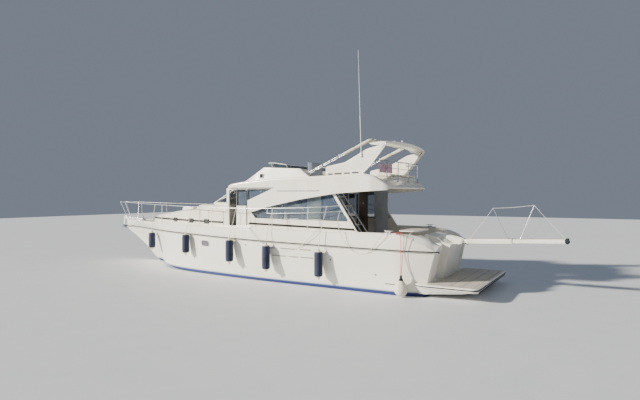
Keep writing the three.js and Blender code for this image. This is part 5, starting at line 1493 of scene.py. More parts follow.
def round_bend(points):
    """A smooth line from port to starboard through half a set of points, none of it past them."""
    whole = [(x, y, 0) for x, y in points[::-1]] + [(x, -y, 0) for x, y in points[1:]]
    return [(p.x, p.y) for p in eased(whole, 0.3, 9)]


def windscreen():
    foot = [(x, y, SCREEN_LOW) for x, y in round_bend(SCREEN_FOOT)]
    head = [(x, y, SCREEN_HIGH) for x, y in round_bend(SCREEN_HEAD)]
    lower, upper = sweep(foot, oval(0.034, 0.0306, 12), up=UP), sweep(head, circle(0.034, 12), up=UP)
    posts = []
    feet = [(x, y, SCREEN_LOW) for x, y in SCREEN_FOOT]
    heads = [(x, y, SCREEN_HIGH) for x, y in SCREEN_HEAD]
    for n, (a, b) in enumerate(zip(feet, heads)):
        wide = 0.028 if n else 0.024
        for sign in ((1, -1) if n else (1,)):
            low, high = Vector((a[0], sign * a[1], a[2])), Vector((b[0], sign * b[1], b[2]))
            posts.append(sweep([low, high], oval(wide, 0.024, 12), up=UP))
    skirt = []
    for x, y in round_bend(SCREEN_FOOT):
        skirt.append([(x - 0.03, y, SCREEN_LOW - 0.02), (x + 0.028, y * 1.012, SCREEN_LOW - 0.01),
                      (x + 0.045, y * 1.02, 2.78), (x - 0.06, y * 0.99, 2.78)])
    piece("windscreen_posts", "hull", [(joined(lower, upper, *posts, skin(skirt)), GELCOAT)],
          "windscreen_frame", 40)
    rings, through = [], Vector((-0.01, 0, -0.012))
    for a, b in zip(foot, head):
        spots = [Vector(a).lerp(Vector(b), share) for share in (0.02, 0.97)]
        low, high = [Vector((p.x - 0.034, p.y * 0.965, p.z - 0.05)) for p in spots]
        rings.append([low, high, high + through, low + through])
    piece("windscreen_panes", "hull", [(skin(rings), SCREEN_PANE)], "windscreen_glass", 30)


def wipers():
    """Three parked wipers on the windscreen."""
    shells = []
    for y, reach in ((0.42, 0.34), (-0.42, -0.34), (1.15, -0.3)):
        foot = (2.47 - abs(y) * 0.12 if abs(y) < 1 else 2.14, y, 2.94)
        head = (foot[0] - 0.55, y + reach, 3.135)
        shells.append(bar(foot, head, 0.006, sides=8))
        blade, middle = Vector((0.36, -reach * 0.2, -0.115)) * 0.7, Vector(head) + Vector((0, 0, 0.008))
        shells.append(bar(middle - blade, middle + blade, 0.007, sides=8))
        shells.append(lathe([(0.02, 0), (0.016, 0.024), (0, 0.026)], (foot[0], foot[1], foot[2] - 0.012),
                            sides=14))
    piece("windscreen_wipers", "hull", [(joined(*shells), BLACK_PLASTIC)], even=False)


windscreen()
wipers()


# Roof moulding and flybridge

ROOF_FORE, ROOF_AFT_END = 0.96, -6.26
ROOF_PLAN = [(0.6, -1.99, 0.2), (ROOF_FORE, -1.62, 0.3), (ROOF_FORE, 1.62, 0.3), (0.6, 1.99, 0.2),
             (-5.6, 1.99, 0.1), (ROOF_AFT_END, 1.8, 0.3), (ROOF_AFT_END, -1.8, 0.3), (-5.6, -1.99, 0.1)]
WELL_FORE, WELL_AFT = -1.42, -5.9
BRIDGE_WELL = [(WELL_FORE, -1.5, 0.25), (WELL_FORE, 1.5, 0.25), (-1.9, 1.74, 0.1), (WELL_AFT, 1.74, 0.2),
               (WELL_AFT, -1.74, 0.2), (-1.9, -1.74, 0.1)]
LADDER_HATCH = (-4.76, 0.92, -3.74, 1.56)
AWNING = {"foot_x": -2.93, "foot_z": 4.005, "leg_y": 1.6, "length": 2.7, "rise": 0.435, "gap": 0.058}


def height_line(points, bend):
    """A rounded side-view line, read as a height at any x."""
    line = sorted((p.x, p.z) for p in eased([(x, 0, z) for x, z in points], bend, 6))
    xs, zs = [p[0] for p in line], [p[1] for p in line]
    return lambda x: float(np.interp(x, xs, zs))


BRIM_NOSE = [(0.96, 3.53), (0.9, 3.553), (0.7, 3.61), (0.45, 3.68)]
ROOF_AFT = [(-3.86, 3.925), (-5.3, 3.97), (-5.72, 3.87), (-6.2, 3.54), (-6.26, 3.49)]
roof_top = height_line([*BRIM_NOSE, (-0.06, 3.752), (-1.02, 4.297), (-2.73, 4.204), (-3.13, 3.905),
                        *ROOF_AFT], 0.055)
roof_brim = height_line([*BRIM_NOSE, (-0.06, 3.748), (-0.31, 3.763), (-1.5, 3.855), (-3.13, 3.903),
                         *ROOF_AFT], 0.055)
roof_under = height_line([(0.96, 3.512), (0.93, 3.503), (0.56, 3.5), (-5.6, 3.5), (-6.0, 3.455),
                          (-6.22, 3.455), (-6.26, 3.475)], 0.03)


def coaming_foot(x):
    return float(np.interp(-x, [-0.96, 0.06, 0.6, 1.1, 3.15, 6.3], [1.4, 1.8, 1.86, 1.89, 1.93, 1.9]))


def coaming_lean(x, rise):
    return float(np.interp(-x, [0.31, 1.4], [0.1, 0.04])) * min(1.0, rise / 0.4)


ROOF_X = (
    [0.96, 0.956, 0.948, 0.936, 0.92, 0.9, 0.87, 0.83, 0.77, 0.7]
    + steps_between(0.62, 0.1, 6)
    + steps_between(0.06, -1.14, 34)
    + steps_between(-1.18, -1.41, 6)
    + [-1.4195, -1.4205]
    + steps_between(-1.43, -2.0, 18)
    + steps_between(-2.06, -2.62, 7)
    + steps_between(-2.66, -3.2, 18)
    + steps_between(-3.27, -5.2, 16)
    + steps_between(-5.25, -5.89, 18)
    + [-5.8995, -5.9005]
    + steps_between(-5.92, -6.18, 8)
    + [-6.2, -6.22, -6.24, -6.252, -6.26]
)


def roof_wide(x):
    """The roof's half breadth, held just inside the two ends of its plan."""
    return plan_half(ROOF_PLAN, min(ROOF_FORE - SEAT_GAP, max(ROOF_AFT_END + SEAT_GAP, x)))


def roof_half(x):
    """Half a section of the roof: underside, side, brim, coaming and the bridge's well."""
    wide = roof_wide(x)
    under, brim, top = roof_under(x), roof_brim(x), roof_top(x)
    thick = brim - under
    low, high = min(0.07, thick * 0.4), min(0.06, thick * 0.4)
    half = [(0.0, under), (wide * 0.5, under), (wide - low * 2.2, under)]
    quarter = [math.radians(a) for a in (0, 22, 45, 68, 90)]
    half += [(wide - low + low * math.sin(t), under + low - low * math.cos(t)) for t in quarter]
    half.append((wide + 0.004, (under + brim) / 2))
    half += [(wide - high + high * math.cos(t), brim - high + high * math.sin(t)) for t in quarter]
    rise = max(0.0, top - brim)
    foot = min(coaming_foot(x), wide - high - 0.012)
    deep = 0.006 * min(1.0, rise / 0.05)
    lean = coaming_lean(x, rise)
    crown = min(0.035, rise * 0.45)
    half += [(foot + 0.009, brim), (foot + 0.006, brim - deep), (foot, brim - deep),
             (foot - 0.002, brim + deep)]
    edge = foot - lean
    for a in (0, 30, 60, 90):
        t = math.radians(a)
        half.append((edge - crown + crown * math.cos(t) - 0.003, top - crown + crown * math.sin(t)))
    inside = WELL_AFT < x < WELL_FORE
    well = min(plan_half(BRIDGE_WELL, min(WELL_FORE - 0.0002, max(WELL_AFT + 0.0002, x))), edge - 0.06)
    floor = BRIDGE_Z if inside else top + 0.012
    lip = 0.02 if inside else 0.0
    half += [(well + 0.02, top), (well + 0.006, top - lip * 0.3), (well, top - lip)]
    half += [(well, floor + lip * 2), (well - 0.012, floor + lip * 0.6), (well - 0.04, floor)]
    camber = 0.0 if inside else 0.02 * min(1.0, thick / 0.1)
    half += [(well * 0.66, floor + camber * 0.6), (well * 0.33, floor + camber * 0.9), (0.0, floor + camber)]
    return half


def wing_outer(x, z):
    """The outer face of the roof's side wing, which leans out to meet the roof's side."""
    tuck = 1.99 - roof_wide(x) if x < -5.4 else 0.0
    return 1.945 + 0.0485 * (z - 2.59) / 1.01 - tuck


wing_low = height_line([(-0.34, 2.588), (-0.62, 2.588), (-1.16, 2.75), (-2.78, 3.07), (-4.23, 3.28),
                        (-6.16, 3.398)], 0.2)
wing_high = height_line([(-0.34, 3.02), (-1.56, 3.475), (-1.9, 3.6), (-5.5, 3.6), (-5.9, 3.6),
                         (-6.16, 3.47)], 0.02)


def side_wing():
    """The wing's section is one edge below, its mirror image above; its ends are pinched in."""
    edge = [(0.008, 0.06), (0.0, 0.052), (0.0, 0.012), (0.003, 0.003), (0.012, 0.0)]
    rings = []
    stations = ([(-0.34, 0.016), (-0.343, 0.008), (-0.349, 0.003), (-0.358, 0.0)]
                + [(x, 0.0) for x in steps_between(-0.39, -1.5, 24) + steps_between(-1.56, -5.3, 34)
                   + steps_between(-5.36, -6.12, 16)]
                + [(-6.14, 0.004), (-6.152, 0.012)])
    for x, pinch in stations:
        low, high = wing_low(x) + pinch, wing_high(x) - pinch
        rows = [(low + up, by) for up, by in edge] + [(low + (high - low) * t, 0.0) for t in (0.35, 0.7)]
        rows += [(high - up, by) for up, by in edge[::-1]]
        rings.append([(x, wing_outer(x, z) - (max(by, pinch) if by < 0.03 else by - pinch), z)
                      for z, by in rows])
    return skin(rings)


def on_coaming(x, z):
    """Half breadth of the coaming's outer face."""
    brim, top = roof_brim(x), roof_top(x)
    foot = coaming_foot(x)
    return foot - coaming_lean(x, top - brim) * (z - brim) / max(0.01, top - brim)


def roof():
    rings = []
    for x in ROOF_X:
        half = roof_half(x)
        rings.append([(x, y, z) for y, z in half] + [(x, -y, z) for y, z in half[-2:0:-1]])
    # The roof's underside and inner faces carry painted shade from its finish.
    shell = mesh_of("roof_shell", [(skin(rings), ROOF_GELCOAT_WITH_PAINTED_SHADE)])
    hatch = plate("xy", rect(*LADDER_HATCH, 0.06), 3.3, 3.8)
    shown("roof_moulding", cut(shell, [hatch]), "hull", "flybridge_deck", 36)
    wing = side_wing()
    pins = []
    for side in (1, -1):
        for start, end, radius, edge in ((1.575, 1.76, 0.012, 0.0), (1.7, 1.748, 0.034, 0.004)):
            pins.append(bar((AWNING["foot_x"], side * start, AWNING["foot_z"]),
                            (AWNING["foot_x"], side * end, AWNING["foot_z"]), radius, edge=edge, sides=20))
    lip = []
    for up, by in ((0.0, 0.0), (0.012, 0.0), (0.018, 0.006), (0.018, 0.03), (0.012, 0.036), (0.0, 0.036)):
        grown = rect(*LADDER_HATCH, 0.06 + by, by)
        lip.append([(p.x, p.y, BRIDGE_Z + up - 0.002) for p in outline(grown, 6)])
    coaming = skin(lip, ends=False, loop=True)
    piece("roof_wings", "hull", [(joined(wing, mirrored(wing), coaming), GELCOAT)], sharp=40)
    piece("awning_pins", "hull", [(joined(*pins), STEEL)])


def roof_fittings():
    """Grab rails on the wings and vents on the coaming."""
    steel, dark, white = [], [], []
    for side in (1, -1):
        for fore, aft in ((-1.77, -2.67), (-2.70, -3.57)):
            z = 3.4
            y = wing_outer(-2, z) + 0.04
            steel.append(tube([(fore, side * (y - 0.04), z), (fore - 0.012, side * y, z),
                               (aft + 0.012, side * y, z), (aft, side * (y - 0.04), z)], 0.0155, 10, 0.03))
            for x in (fore, aft):
                steel.append(bar((x, side * (y - 0.046), z), (x, side * (y - 0.034), z), 0.026, edge=0.003,
                                 sides=18))
        x, z = -0.98, 3.965
        y = on_coaming(x - 0.09, z - 0.09)
        low, high = sorted((side * (y - 0.02), side * (y + 0.022)))
        hole = rect(x, z, x, z, 0.01, 0.07)
        white.append(plate("xz", rect(x, z, x, z, 0.02, 0.09), low, high, [hole], 0.003))
        # A dark plate fills the vent's hole: painted shade behind the louvres.
        dark.append(plate("xz", hole, *sorted((side * (y - 0.02), side * (y + 0.026)))))
        near, far = sorted((side * (y + 0.02), side * (y + 0.031)))
        for k in range(4):
            up = z - 0.052 + k * 0.035
            dark.append(block((x - 0.07, near, up - 0.003), (x + 0.07, far, up + 0.003)))
    piece("roof_grab_rails", "hull", [(joined(*steel), STEEL)])
    piece("coaming_vents", "hull", [(joined(*white), ENAMEL), (joined(*dark), BLACK_PLASTIC)])


FLY_SCREEN = [(-2.15, 1.835), (-1.45, 1.8), (-1.13, 1.6), (-1.08, 0.0)]


def bridge_windscreen():
    """A low see-through screen that leans forward, with a white rail along its top."""
    path = [(x, y, 0) for x, y in FLY_SCREEN] + [(x, -y, 0) for x, y in FLY_SCREEN[-2::-1]]
    rings, caps, feet = [], [], []
    for p in eased(path, 0.2, 8):
        foot = roof_top(p.x) + 0.0008
        fall = min(1.0, max(0.0, (-1.75 - p.x) / 0.4))
        high = 0.17 * (1 - fall * 0.3)
        head = (p.x + 0.08 * high / 0.17, p.y, foot + high)
        rings.append([(p.x, p.y, foot), head, (head[0] - 0.008, head[1] * 0.997, head[2]),
                      (p.x - 0.008, p.y * 0.997, foot)])
        caps.append((head[0] - 0.004, head[1], head[2] + 0.006))
        feet.append((p.x - 0.004, p.y, foot + 0.006))
    strip = oval(0.016, 0.008, 10)
    stands = (0, 6, len(caps) // 2, len(caps) - 7, len(caps) - 1)
    posts = [bar(feet[k], caps[k], 0.008, sides=10) for k in stands]
    # The top rail is white enamel in place of steel: a painted highlight for its sunlit shine.
    parts = [(skin(rings), SMOKED), (tube(caps, 0.013, 10), ENAMEL), (joined(*posts), STEEL),
             (sweep(feet, strip, up=UP), RUBBER)]
    piece("bridge_screen", "hull", parts, "flybridge_windscreen", 40)


def dial(centre, axis, radius):
    """A round instrument: bezel, dark face, pointer and plain marks."""
    matrix = Matrix.Translation(centre) @ turned_to(axis)
    bezel = lathe([(radius, 0), (radius, 0.006), (radius * 0.93, 0.009), (radius * 0.84, 0.006),
                   (radius * 0.84, 0.003), (0, 0.003)], (0, 0, 0), sides=24)
    marks = []
    for k in range(9):
        a = math.radians(-120 + 30 * k)
        out = Vector((math.sin(a), math.cos(a), 0))
        ends = [out * radius * share + Vector((0, 0, 0.004)) for share in (0.62, 0.76)]
        marks.append(bar(*ends, radius * 0.025, sides=6))
    a = math.radians(-50)
    needle = bar((0, 0, 0.0055), (math.sin(a) * radius * 0.6, math.cos(a) * radius * 0.6, 0.0055),
                 radius * 0.03, sides=6)
    return placed(bezel, matrix), placed(joined(*marks, needle), matrix)


def helm_fittings(face_at, out, count, radius):
    """Dials in a row and the switches below them on a dash face."""
    dark, white = [], []
    for k in range(count):
        bezel, marks = dial(face_at(k / max(1, count - 1), 0.62), out, radius)
        dark.append(bezel)
        white.append(marks)
    for k in range(8):
        x, y, z = face_at(0.1 + 0.8 * k / 7, 0.24)
        dark.append(block((x - 0.012, y - 0.013, z - 0.012), (x + 0.012, y + 0.013, z + 0.012), 0.004))
    return dark, white


def levers(base, apart, leans, up, radius):
    """A pair of throttle levers on a dash, and their knobs."""
    rods, knobs = [], []
    for dy, lean in zip((-apart, apart), leans):
        tip = (base[0] + lean, base[1] + dy, base[2] + 0.15)
        rods.append(bar((base[0], base[1] + dy, base[2] + up), tip, radius))
        knobs.append(lathe([(0, -0.018), (radius + 0.008, -0.014), (radius + 0.011, 0),
                            (radius + 0.007, 0.014), (0, 0.018)], tip, sides=14))
    return rods, knobs


WHEEL_TILT = math.radians(16)
WHEEL_OUT = Vector((-math.cos(WHEEL_TILT), 0, math.sin(WHEEL_TILT)))
FLY_WHEEL = {"hub": (-1.905, 0.76, 4.038), "radius": 0.19}
HELM_WHEEL = {"hub": (0.262, -0.82, 2.385), "radius": 0.21}


def steering_wheel(name, wheel, stub_depth):
    """A five-spoked wheel, and the fixed stub behind it."""
    radius, hub = wheel["radius"], Vector(wheel["hub"])
    matrix = Matrix.Translation(hub) @ turned_to(WHEEL_OUT)
    rim = sweep([(a, b, 0) for a, b in circle(radius, 48)], circle(0.0138, 12), up=UP, loop=True)
    grips = []
    for k in range(10):
        a = math.radians(36 * k + 18)
        point = Vector((math.cos(a), math.sin(a), 0)) * radius
        grips.append(placed(lathe([(0.0139, -0.001), (0.0147, 0.002), (0.0139, 0.005)], (0, 0, 0), sides=12),
                            Matrix.Translation(point) @ turned_to((-math.sin(a), math.cos(a), 0))))
    spokes = []
    for k in range(5):
        a = 2 * math.pi * k / 5 + 0.3
        out = Vector((math.cos(a), math.sin(a), 0))
        line = [out * 0.028 + Vector((0, 0, -0.006)), out * radius * 0.5 + Vector((0, 0, -0.004)),
                out * radius]
        spokes.append(sweep(smooth_line(line, 4), oval(0.011, 0.0045, 10),
                            up=UP))
    boss = lathe([(0.0, -0.024), (0.034, -0.024), (0.04, -0.012), (0.038, 0.006), (0.03, 0.02),
                  (0.016, 0.029), (0, 0.03)], (0, 0, 0), sides=28)
    wheel_parts = [(placed(joined(rim, *grips), matrix), BLACK_PLASTIC if name == "helm_wheel" else RUBBER),
                   (placed(joined(boss, *spokes), matrix), STEEL)]
    piece(name + "_rim_and_spokes", name, wheel_parts, name, 50)
    return bar(hub - WHEEL_OUT * 0.0303, hub - WHEEL_OUT * stub_depth, 0.03, 0.036, sides=20)


def bridge_helm():
    low = ON_BRIDGE
    line = [(-1.43, low), (-1.43, 4.19, 0.05), (-1.52, 4.21, 0.05), (-1.86, 4.06, 0.06), (-1.8, low, 0.02)]
    dash = plate("xz", line, 0.08, 1.28, edge=0.03)
    stub = steering_wheel("flybridge_wheel", FLY_WHEEL, 0.118)
    slope = Vector((-0.34, 0, -0.15)).normalized()
    out = (-0.4, 0, 0.915)

    def face(share, down):
        p = Vector((-1.53, 0.2 + 0.96 * share, 4.208)) + slope * (0.32 * (1 - down)) + Vector(out) * 0.001
        return (p.x, p.y, p.z)

    dark, white = helm_fittings(face, out, 5, 0.042)
    base = face(0.93, 0.4)
    rods, knobs = levers(base, 0.018, (0.03, 0.0), 0.02, 0.005)
    pod = lathe([(0.045, 0), (0.045, 0.02), (0.03, 0.034), (0, 0.036)], base, out, 20)
    compass = lathe([(0.05, 0), (0.05, 0.02), (0.042, 0.05), (0.024, 0.068), (0, 0.074)],
                    (-1.475, 0.76, 4.195), sides=24)
    rail = tube([(-1.62, 0.2, 4.17), (-1.66, 0.16, 4.2), (-1.8, 0.16, 4.14), (-1.84, 0.2, 4.06)], 0.01, 10,
                0.04)
    parts = [(dash, GELCOAT), (joined(stub, rail, pod, *rods), STEEL),
             (joined(compass, *dark, *knobs), BLACK_PLASTIC), (joined(*white), ENAMEL)]
    piece("bridge_dash", "hull", parts, "flybridge_helm", 36)


roof()
roof_fittings()
bridge_windscreen()
bridge_helm()


# Soft furnishings: each pad is a closed form, swollen by pressure where time allows

PRESSURE, STEPS_BLOWN = 4.0, 20


def swollen(name, shell, finish, voxel, reach, blow):
    """A pad's mesh: remeshed, blown up as cloth by pressure and held to a small reach."""
    thing = new_object(name, mesh_of(name, [(shell, finish)], weld=True))
    remesh = thing.modifiers.new("remesh", "REMESH")
    remesh.mode = "VOXEL"
    remesh.voxel_size = voxel
    mesh = evaluated(thing)
    thing.modifiers.clear()
    thing.data = mesh
    rest = [v.co.copy() for v in mesh.vertices]
    if blow:
        cloth = thing.modifiers.new("cloth", "CLOTH")
        cloth.settings.quality = 4
        cloth.settings.mass = 0.2
        cloth.settings.tension_stiffness = 12
        cloth.settings.compression_stiffness = 12
        cloth.settings.bending_stiffness = 0.4
        cloth.settings.use_pressure = True
        cloth.settings.uniform_pressure_force = PRESSURE
        cloth.settings.effector_weights.gravity = 0
        cloth.point_cache.frame_start = 1
        cloth.point_cache.frame_end = STEPS_BLOWN
        for step in range(1, STEPS_BLOWN + 1):
            bpy.context.scene.frame_set(step)
        depsgraph = bpy.context.evaluated_depsgraph_get()
        blown = thing.evaluated_get(depsgraph).to_mesh()
        moved = []
        for v, home in zip(blown.vertices, rest):
            shift = v.co - home
            if shift.length > reach:
                shift = shift.normalized() * reach
            moved.append(home + shift)
        thing.evaluated_get(depsgraph).to_mesh_clear()
        thing.modifiers.clear()
        bpy.context.scene.frame_set(1)
        for v, place in zip(mesh.vertices, moved):
            v.co = place
    bm = bmesh.new()
    bm.from_mesh(mesh)
    for turn in range(3):
        bmesh.ops.smooth_vert(bm, verts=bm.verts[:], factor=0.5, use_axis_x=True, use_axis_y=True,
                              use_axis_z=True)
    bm.to_mesh(mesh)
    bm.free()
    bpy.data.objects.remove(thing)
    mesh.materials.clear()
    mesh.materials.append(finish)
    return mesh


def pad_frame(low, high):
    """A box's half size, its middle, its thin axis and its two wide ones."""
    size, middle = [[(high[k] + sign * low[k]) / 2 for k in range(3)] for sign in (-1, 1)]
    thin = size.index(min(size))
    return size, middle, thin, [k for k in range(3) if k != thin]


def crowned(low, high, crown, pinch):
    """A box-shaped pad whose faces rise in the middle and whose sides pull in between the corners."""
    bm = bmesh.new()
    bmesh.ops.create_cube(bm, size=2)
    bmesh.ops.subdivide_edges(bm, edges=bm.edges[:], cuts=8, use_grid_fill=True)
    size, middle, thin, wide = pad_frame(low, high)
    for v in bm.verts:
        a, b, c = v.co[wide[0]], v.co[wide[1]], v.co[thin]
        bulge = (1 - a * a) * (1 - b * b)
        rounding = 1 - 0.5 * max(0.0, abs(c) - 0.35) ** 2
        place = [0.0, 0.0, 0.0]
        place[wide[0]] = a * (size[wide[0]] - pinch * (1 - b * b) * 0.5) * (0.985 + 0.015 * rounding)
        place[wide[1]] = b * (size[wide[1]] - pinch * (1 - a * a) * 0.5) * (0.985 + 0.015 * rounding)
        place[thin] = c * (size[thin] - crown + crown * bulge)
        v.co = [middle[k] + place[k] for k in range(3)]
    bmesh.ops.bevel(bm, geom=[e for e in bm.edges if e.calc_face_angle(0) > 1.0], offset=min(size) * 0.35,
                    segments=3, profile=0.5, affect="EDGES")
    return of_bmesh(bm)


def piping(low, high, radius, pinch):
    """A round cord sewn along the rim of a pad's face."""
    size, middle, thin, wide = pad_frame(low, high)
    line = []
    for side in range(4):
        for k in range(10):
            t = -0.88 + 1.76 * k / 9
            a, b = ((t, -1), (1, t), (-t, 1), (-1, -t))[side]
            place = [0.0, 0.0, 0.0]
            place[wide[0]] = a * (size[wide[0]] - pinch * (1 - b * b) * 0.5 - 0.004)
            place[wide[1]] = b * (size[wide[1]] - pinch * (1 - a * a) * 0.5 - 0.004)
            place[thin] = size[thin] * 0.72
            line.append(tuple(m + p for m, p in zip(middle, place)))
    return tube(line, radius, 8, loop=True)


def pad(name, low, high, fill, stands_for=(), crown=0.02, pinch=0.02, reach=0.012, voxel=0.012, blow=True,
        finish=VINYL, slot="pale_vinyl"):
    """A sewn cushion with piping round it."""
    inner = [[low[k] + 0.006 for k in range(3)], [high[k] - 0.006 for k in range(3)]]
    mesh = swollen(name, crowned(*inner, crown, pinch), finish, voxel, reach, blow)
    cushion = shown(name, mesh, "hull", stands_for, 60, even=False)
    piece(name + "_piping", "hull", [(piping(low, high, 0.0045, pinch), finish)], even=False)


def bridge_seat():
    low = ON_BRIDGE
    base = block((-2.84, 0.54, low), (-2.44, 1.3, 3.95), 0.03, 3)
    hinge = tube([(-2.46, 0.5, 3.9), (-2.46, 0.48, 3.93), (-2.46, 1.36, 3.93), (-2.46, 1.34, 3.9)], 0.01, 8)
    back = plate("xz", [(-2.875, 3.95), (-2.855, 3.95), (-2.845, 4.43), (-2.865, 4.45, 0.02),
                        (-2.885, 4.43)], 0.5, 1.34, edge=0.004)
    side_pad = [block((-2.83, y - 0.004, low + 0.04), (-2.5, y + 0.004, 3.93), 0.003) for y in (0.538, 1.302)]
    # The seat's back and side pads are blue-grey: painted shade.
    piece("bridge_seat_base", "hull", [(base, GELCOAT), (hinge, STEEL),
                                                  (joined(back, *side_pad), PAINTED_SHADE_VINYL)])
    pad("bridge_seat_cushion", (-2.69, 0.475, 3.958), (-2.365, 1.365, 4.068), 0.85, "flybridge_seat", 0.012)
    pad("bridge_seat_back", (-2.845, 0.475, 4.06), (-2.7, 1.365, 4.468), 0.8, finish=PAINTED_SHADE_VINYL)


SETTEE_TOP = 3.98


def bridge_settee():
    low = ON_BRIDGE
    line = [(-5.88, -1.7, 0.18), (-5.88, 0.82, 0.04), (-5.28, 0.82, 0.06), (-5.28, -1.1, 0.12),
            (-4.3, -1.1, 0.06), (-4.3, -1.7, 0.04)]
    base = plate("xy", line, low, 3.885, edge=0.02)
    kick = plate("xy", [(-5.87, -1.69), (-5.87, 0.8), (-5.31, 0.8), (-5.31, -1.13), (-4.33, -1.13),
                        (-4.33, -1.69)], low, low + 0.06)
    piece("settee_moulding", "hull", [(joined(base, kick), GELCOAT)], sharp=36)
    spans = [((-5.86, 0.02), (-5.29, 0.81)), ((-5.86, -0.8), (-5.29, 0.0)), ((-5.86, -1.68), (-5.29, -0.82)),
             ((-5.27, -1.68), (-4.32, -1.115))]
    for n, ((aft, starboard), (fore, port)) in enumerate(spans, 1):
        pad(f"settee_cushion_{n}", (aft, starboard, 3.887), (fore, port, SETTEE_TOP), 0.85,
            "flybridge_settee" if n == 1 else (), 0.01, 0.014, 0.008)


def settee_backrest():
    low, high = (-5.832, 0.565, SETTEE_TOP + 0.003), (-5.733, 1.635, 4.328)
    middle = (low[1] + high[1]) / 2
    for half, starboard, port, stands in (("port", middle + 0.002, high[1], "settee_backrest"),
                                          ("starboard", low[1], middle - 0.002, ())):
        pad(f"backrest_{half}_half", (low[0], starboard, low[2]), (high[0], port, high[2]), 0.75, stands,
            0.016, 0.016, 0.01, finish=MAROON, slot="maroon_cloth")


bridge_seat()
bridge_settee()
settee_backrest()


# Arch, antenna, awning and the flybridge's rails

BRIDGE_RAIL = {"x": -5.99, "y": 1.69, "z": 4.4}
ARCH_INNER, ARCH_OUTER = 1.77, 1.9
ARCH_SIDE = [(-3.81, 3.9), (-3.83, 4.24, 0.08), (-4.6, 4.372, 0.1), (-5.44, 4.8, 0.08), (-6.14, 4.95, 0.05),
             (-5.56, 4.24, 0.4), (-5.2, 3.9)]
ARCH_SLOTS = [(-3.93, -4.11), (-4.18, -4.48), (-4.56, -4.8), (-4.87, -5.13)]
ARCH_BEAM = [(1.895, -5.83, 4.975, 0.3), (1.5, -5.87, 5.025, 0.3), (0.7, -5.95, 5.06, 0.29),
             (0.0, -5.98, 5.07, 0.285)]


def radar_arch():
    legs, flanges, slots = [], [], []
    low_edge = [(-3.81, 3.93), *ARCH_SIDE[1:-1], (-5.24, 3.945)]
    for side in (1, -1):
        low, high = sorted((side * ARCH_INNER, side * ARCH_OUTER))
        legs.append(plate("xz", low_edge, low, high, edge=0.034, steps=10))
        rear = [(p.x, side * (ARCH_OUTER - 0.02), p.z) for p in
                eased([(-5.22, 0, 3.95), (-5.56, 0, 4.24), (-6.125, 0, 4.93)], 0.3, 10)]
        flanges.append(sweep(rear, oval(0.028, 0.02, 12), up=(0, 1, 0)))
        foot = [(x, side * (ARCH_OUTER + 0.002), roof_top(x) + 0.002) for x in steps_between(-3.85, -5.2, 22)]
        flanges.append(sweep(foot, oval(0.005, 0.008, 8), up=UP))
        near, far = sorted((side * 1.86, side * 1.9035))
        for fore, aft in ARCH_SLOTS:
            up = roof_top((fore + aft) / 2)
            slots.append(block((aft, near, up + 0.014), (fore, far, up + 0.062), 0.006))
    half = smooth_line(ARCH_BEAM, 6)
    rows = [(-p[0], p[1], p[2], p[3]) for p in half] + [tuple(p) for p in half[-2::-1]]
    rings = []
    for y, x, z, chord in rows:
        ring = []
        for a in angles(24):
            rise = math.copysign(abs(math.sin(a)) ** 0.8, math.sin(a))
            thick = 0.042 * (1 - 0.25 * math.cos(a)) if rise > 0 else z - 0.03 - (z * 0.4 + 2.89)
            ring.append((x + chord * math.cos(a) * (1 if rise > 0 else 1 - 0.3 * rise * rise), y,
                         z - 0.008 + thick * rise))
        rings.append(ring)
    stand = lathe([(0.03, 0), (0.03, 0.05), (0.024, 0.06), (0, 0.064)], (-5.95, 0, 5.1), sides=18)
    lamp = lathe([(0.026, 0), (0.028, 0.02), (0.026, 0.05), (0, 0.052)], (-5.95, 0, 5.16), sides=18)
    horn = lathe([(0.015, 0), (0.018, 0.16), (0.03, 0.22), (0.05, 0.26), (0.044, 0.262), (0.02, 0.2),
                  (0, 0.19)], (-5.9, 0.55, 5.142), (1, 0, 0), 18)
    horn_foot = block((-5.94, 0.525, 5.09), (-5.88, 0.575, 5.14), 0.01)
    parts = [(joined(*legs, skin(rings), *flanges), GELCOAT), (joined(*slots), BLACK_PLASTIC),
             (joined(stand, lamp), ENAMEL), (joined(horn, horn_foot), STEEL)]
    piece("arch_moulding", "hull", parts, "radar_arch", 36)


WHIP = {"foot": (-5.24, 1.932, 4.56), "head": (-5.12, 1.932, 8.15)}


def whip_antenna():
    foot, head = Vector(WHIP["foot"]), Vector(WHIP["head"])
    bracket = block((foot.x - 0.03, ARCH_OUTER + SEAT_GAP, foot.z - 0.06),
                    (foot.x + 0.03, 1.926, foot.z + 0.06), 0.006)
    ratchet = lathe([(0.024, -0.02), (0.024, 0.02), (0.016, 0.024)], (foot.x, 1.93, foot.z), (0, 1, 0), 18)

    def at(t):
        return foot.lerp(head, t)

    sleeve = lathe([(0.018, -0.02), (0.018, 0.1), (0.0145, 0.13)], tuple(foot), tuple(head - foot), 18)
    lower = bar(at(0.03), at(0.36), 0.0135, 0.011, 14)
    ferrule = bar(at(0.355), at(0.375), 0.0145, 0.0145, 14)
    upper = bar(at(0.37), at(1.0), 0.009, 0.0045, 12)
    parts = [(joined(lower, upper), ENAMEL), (joined(bracket, ratchet, sleeve, ferrule), STEEL)]
    piece("whip_aerial", "hull", parts, "whip_antenna", 50, even=False)


def awning_point(offset, y, d):
    rise, foot_x, foot_z = AWNING["rise"], AWNING["foot_x"], AWNING["foot_z"]
    run = 1 / math.hypot(1, rise)
    return (foot_x + (offset * rise - d) * run, y, foot_z + (offset + d * rise) * run)


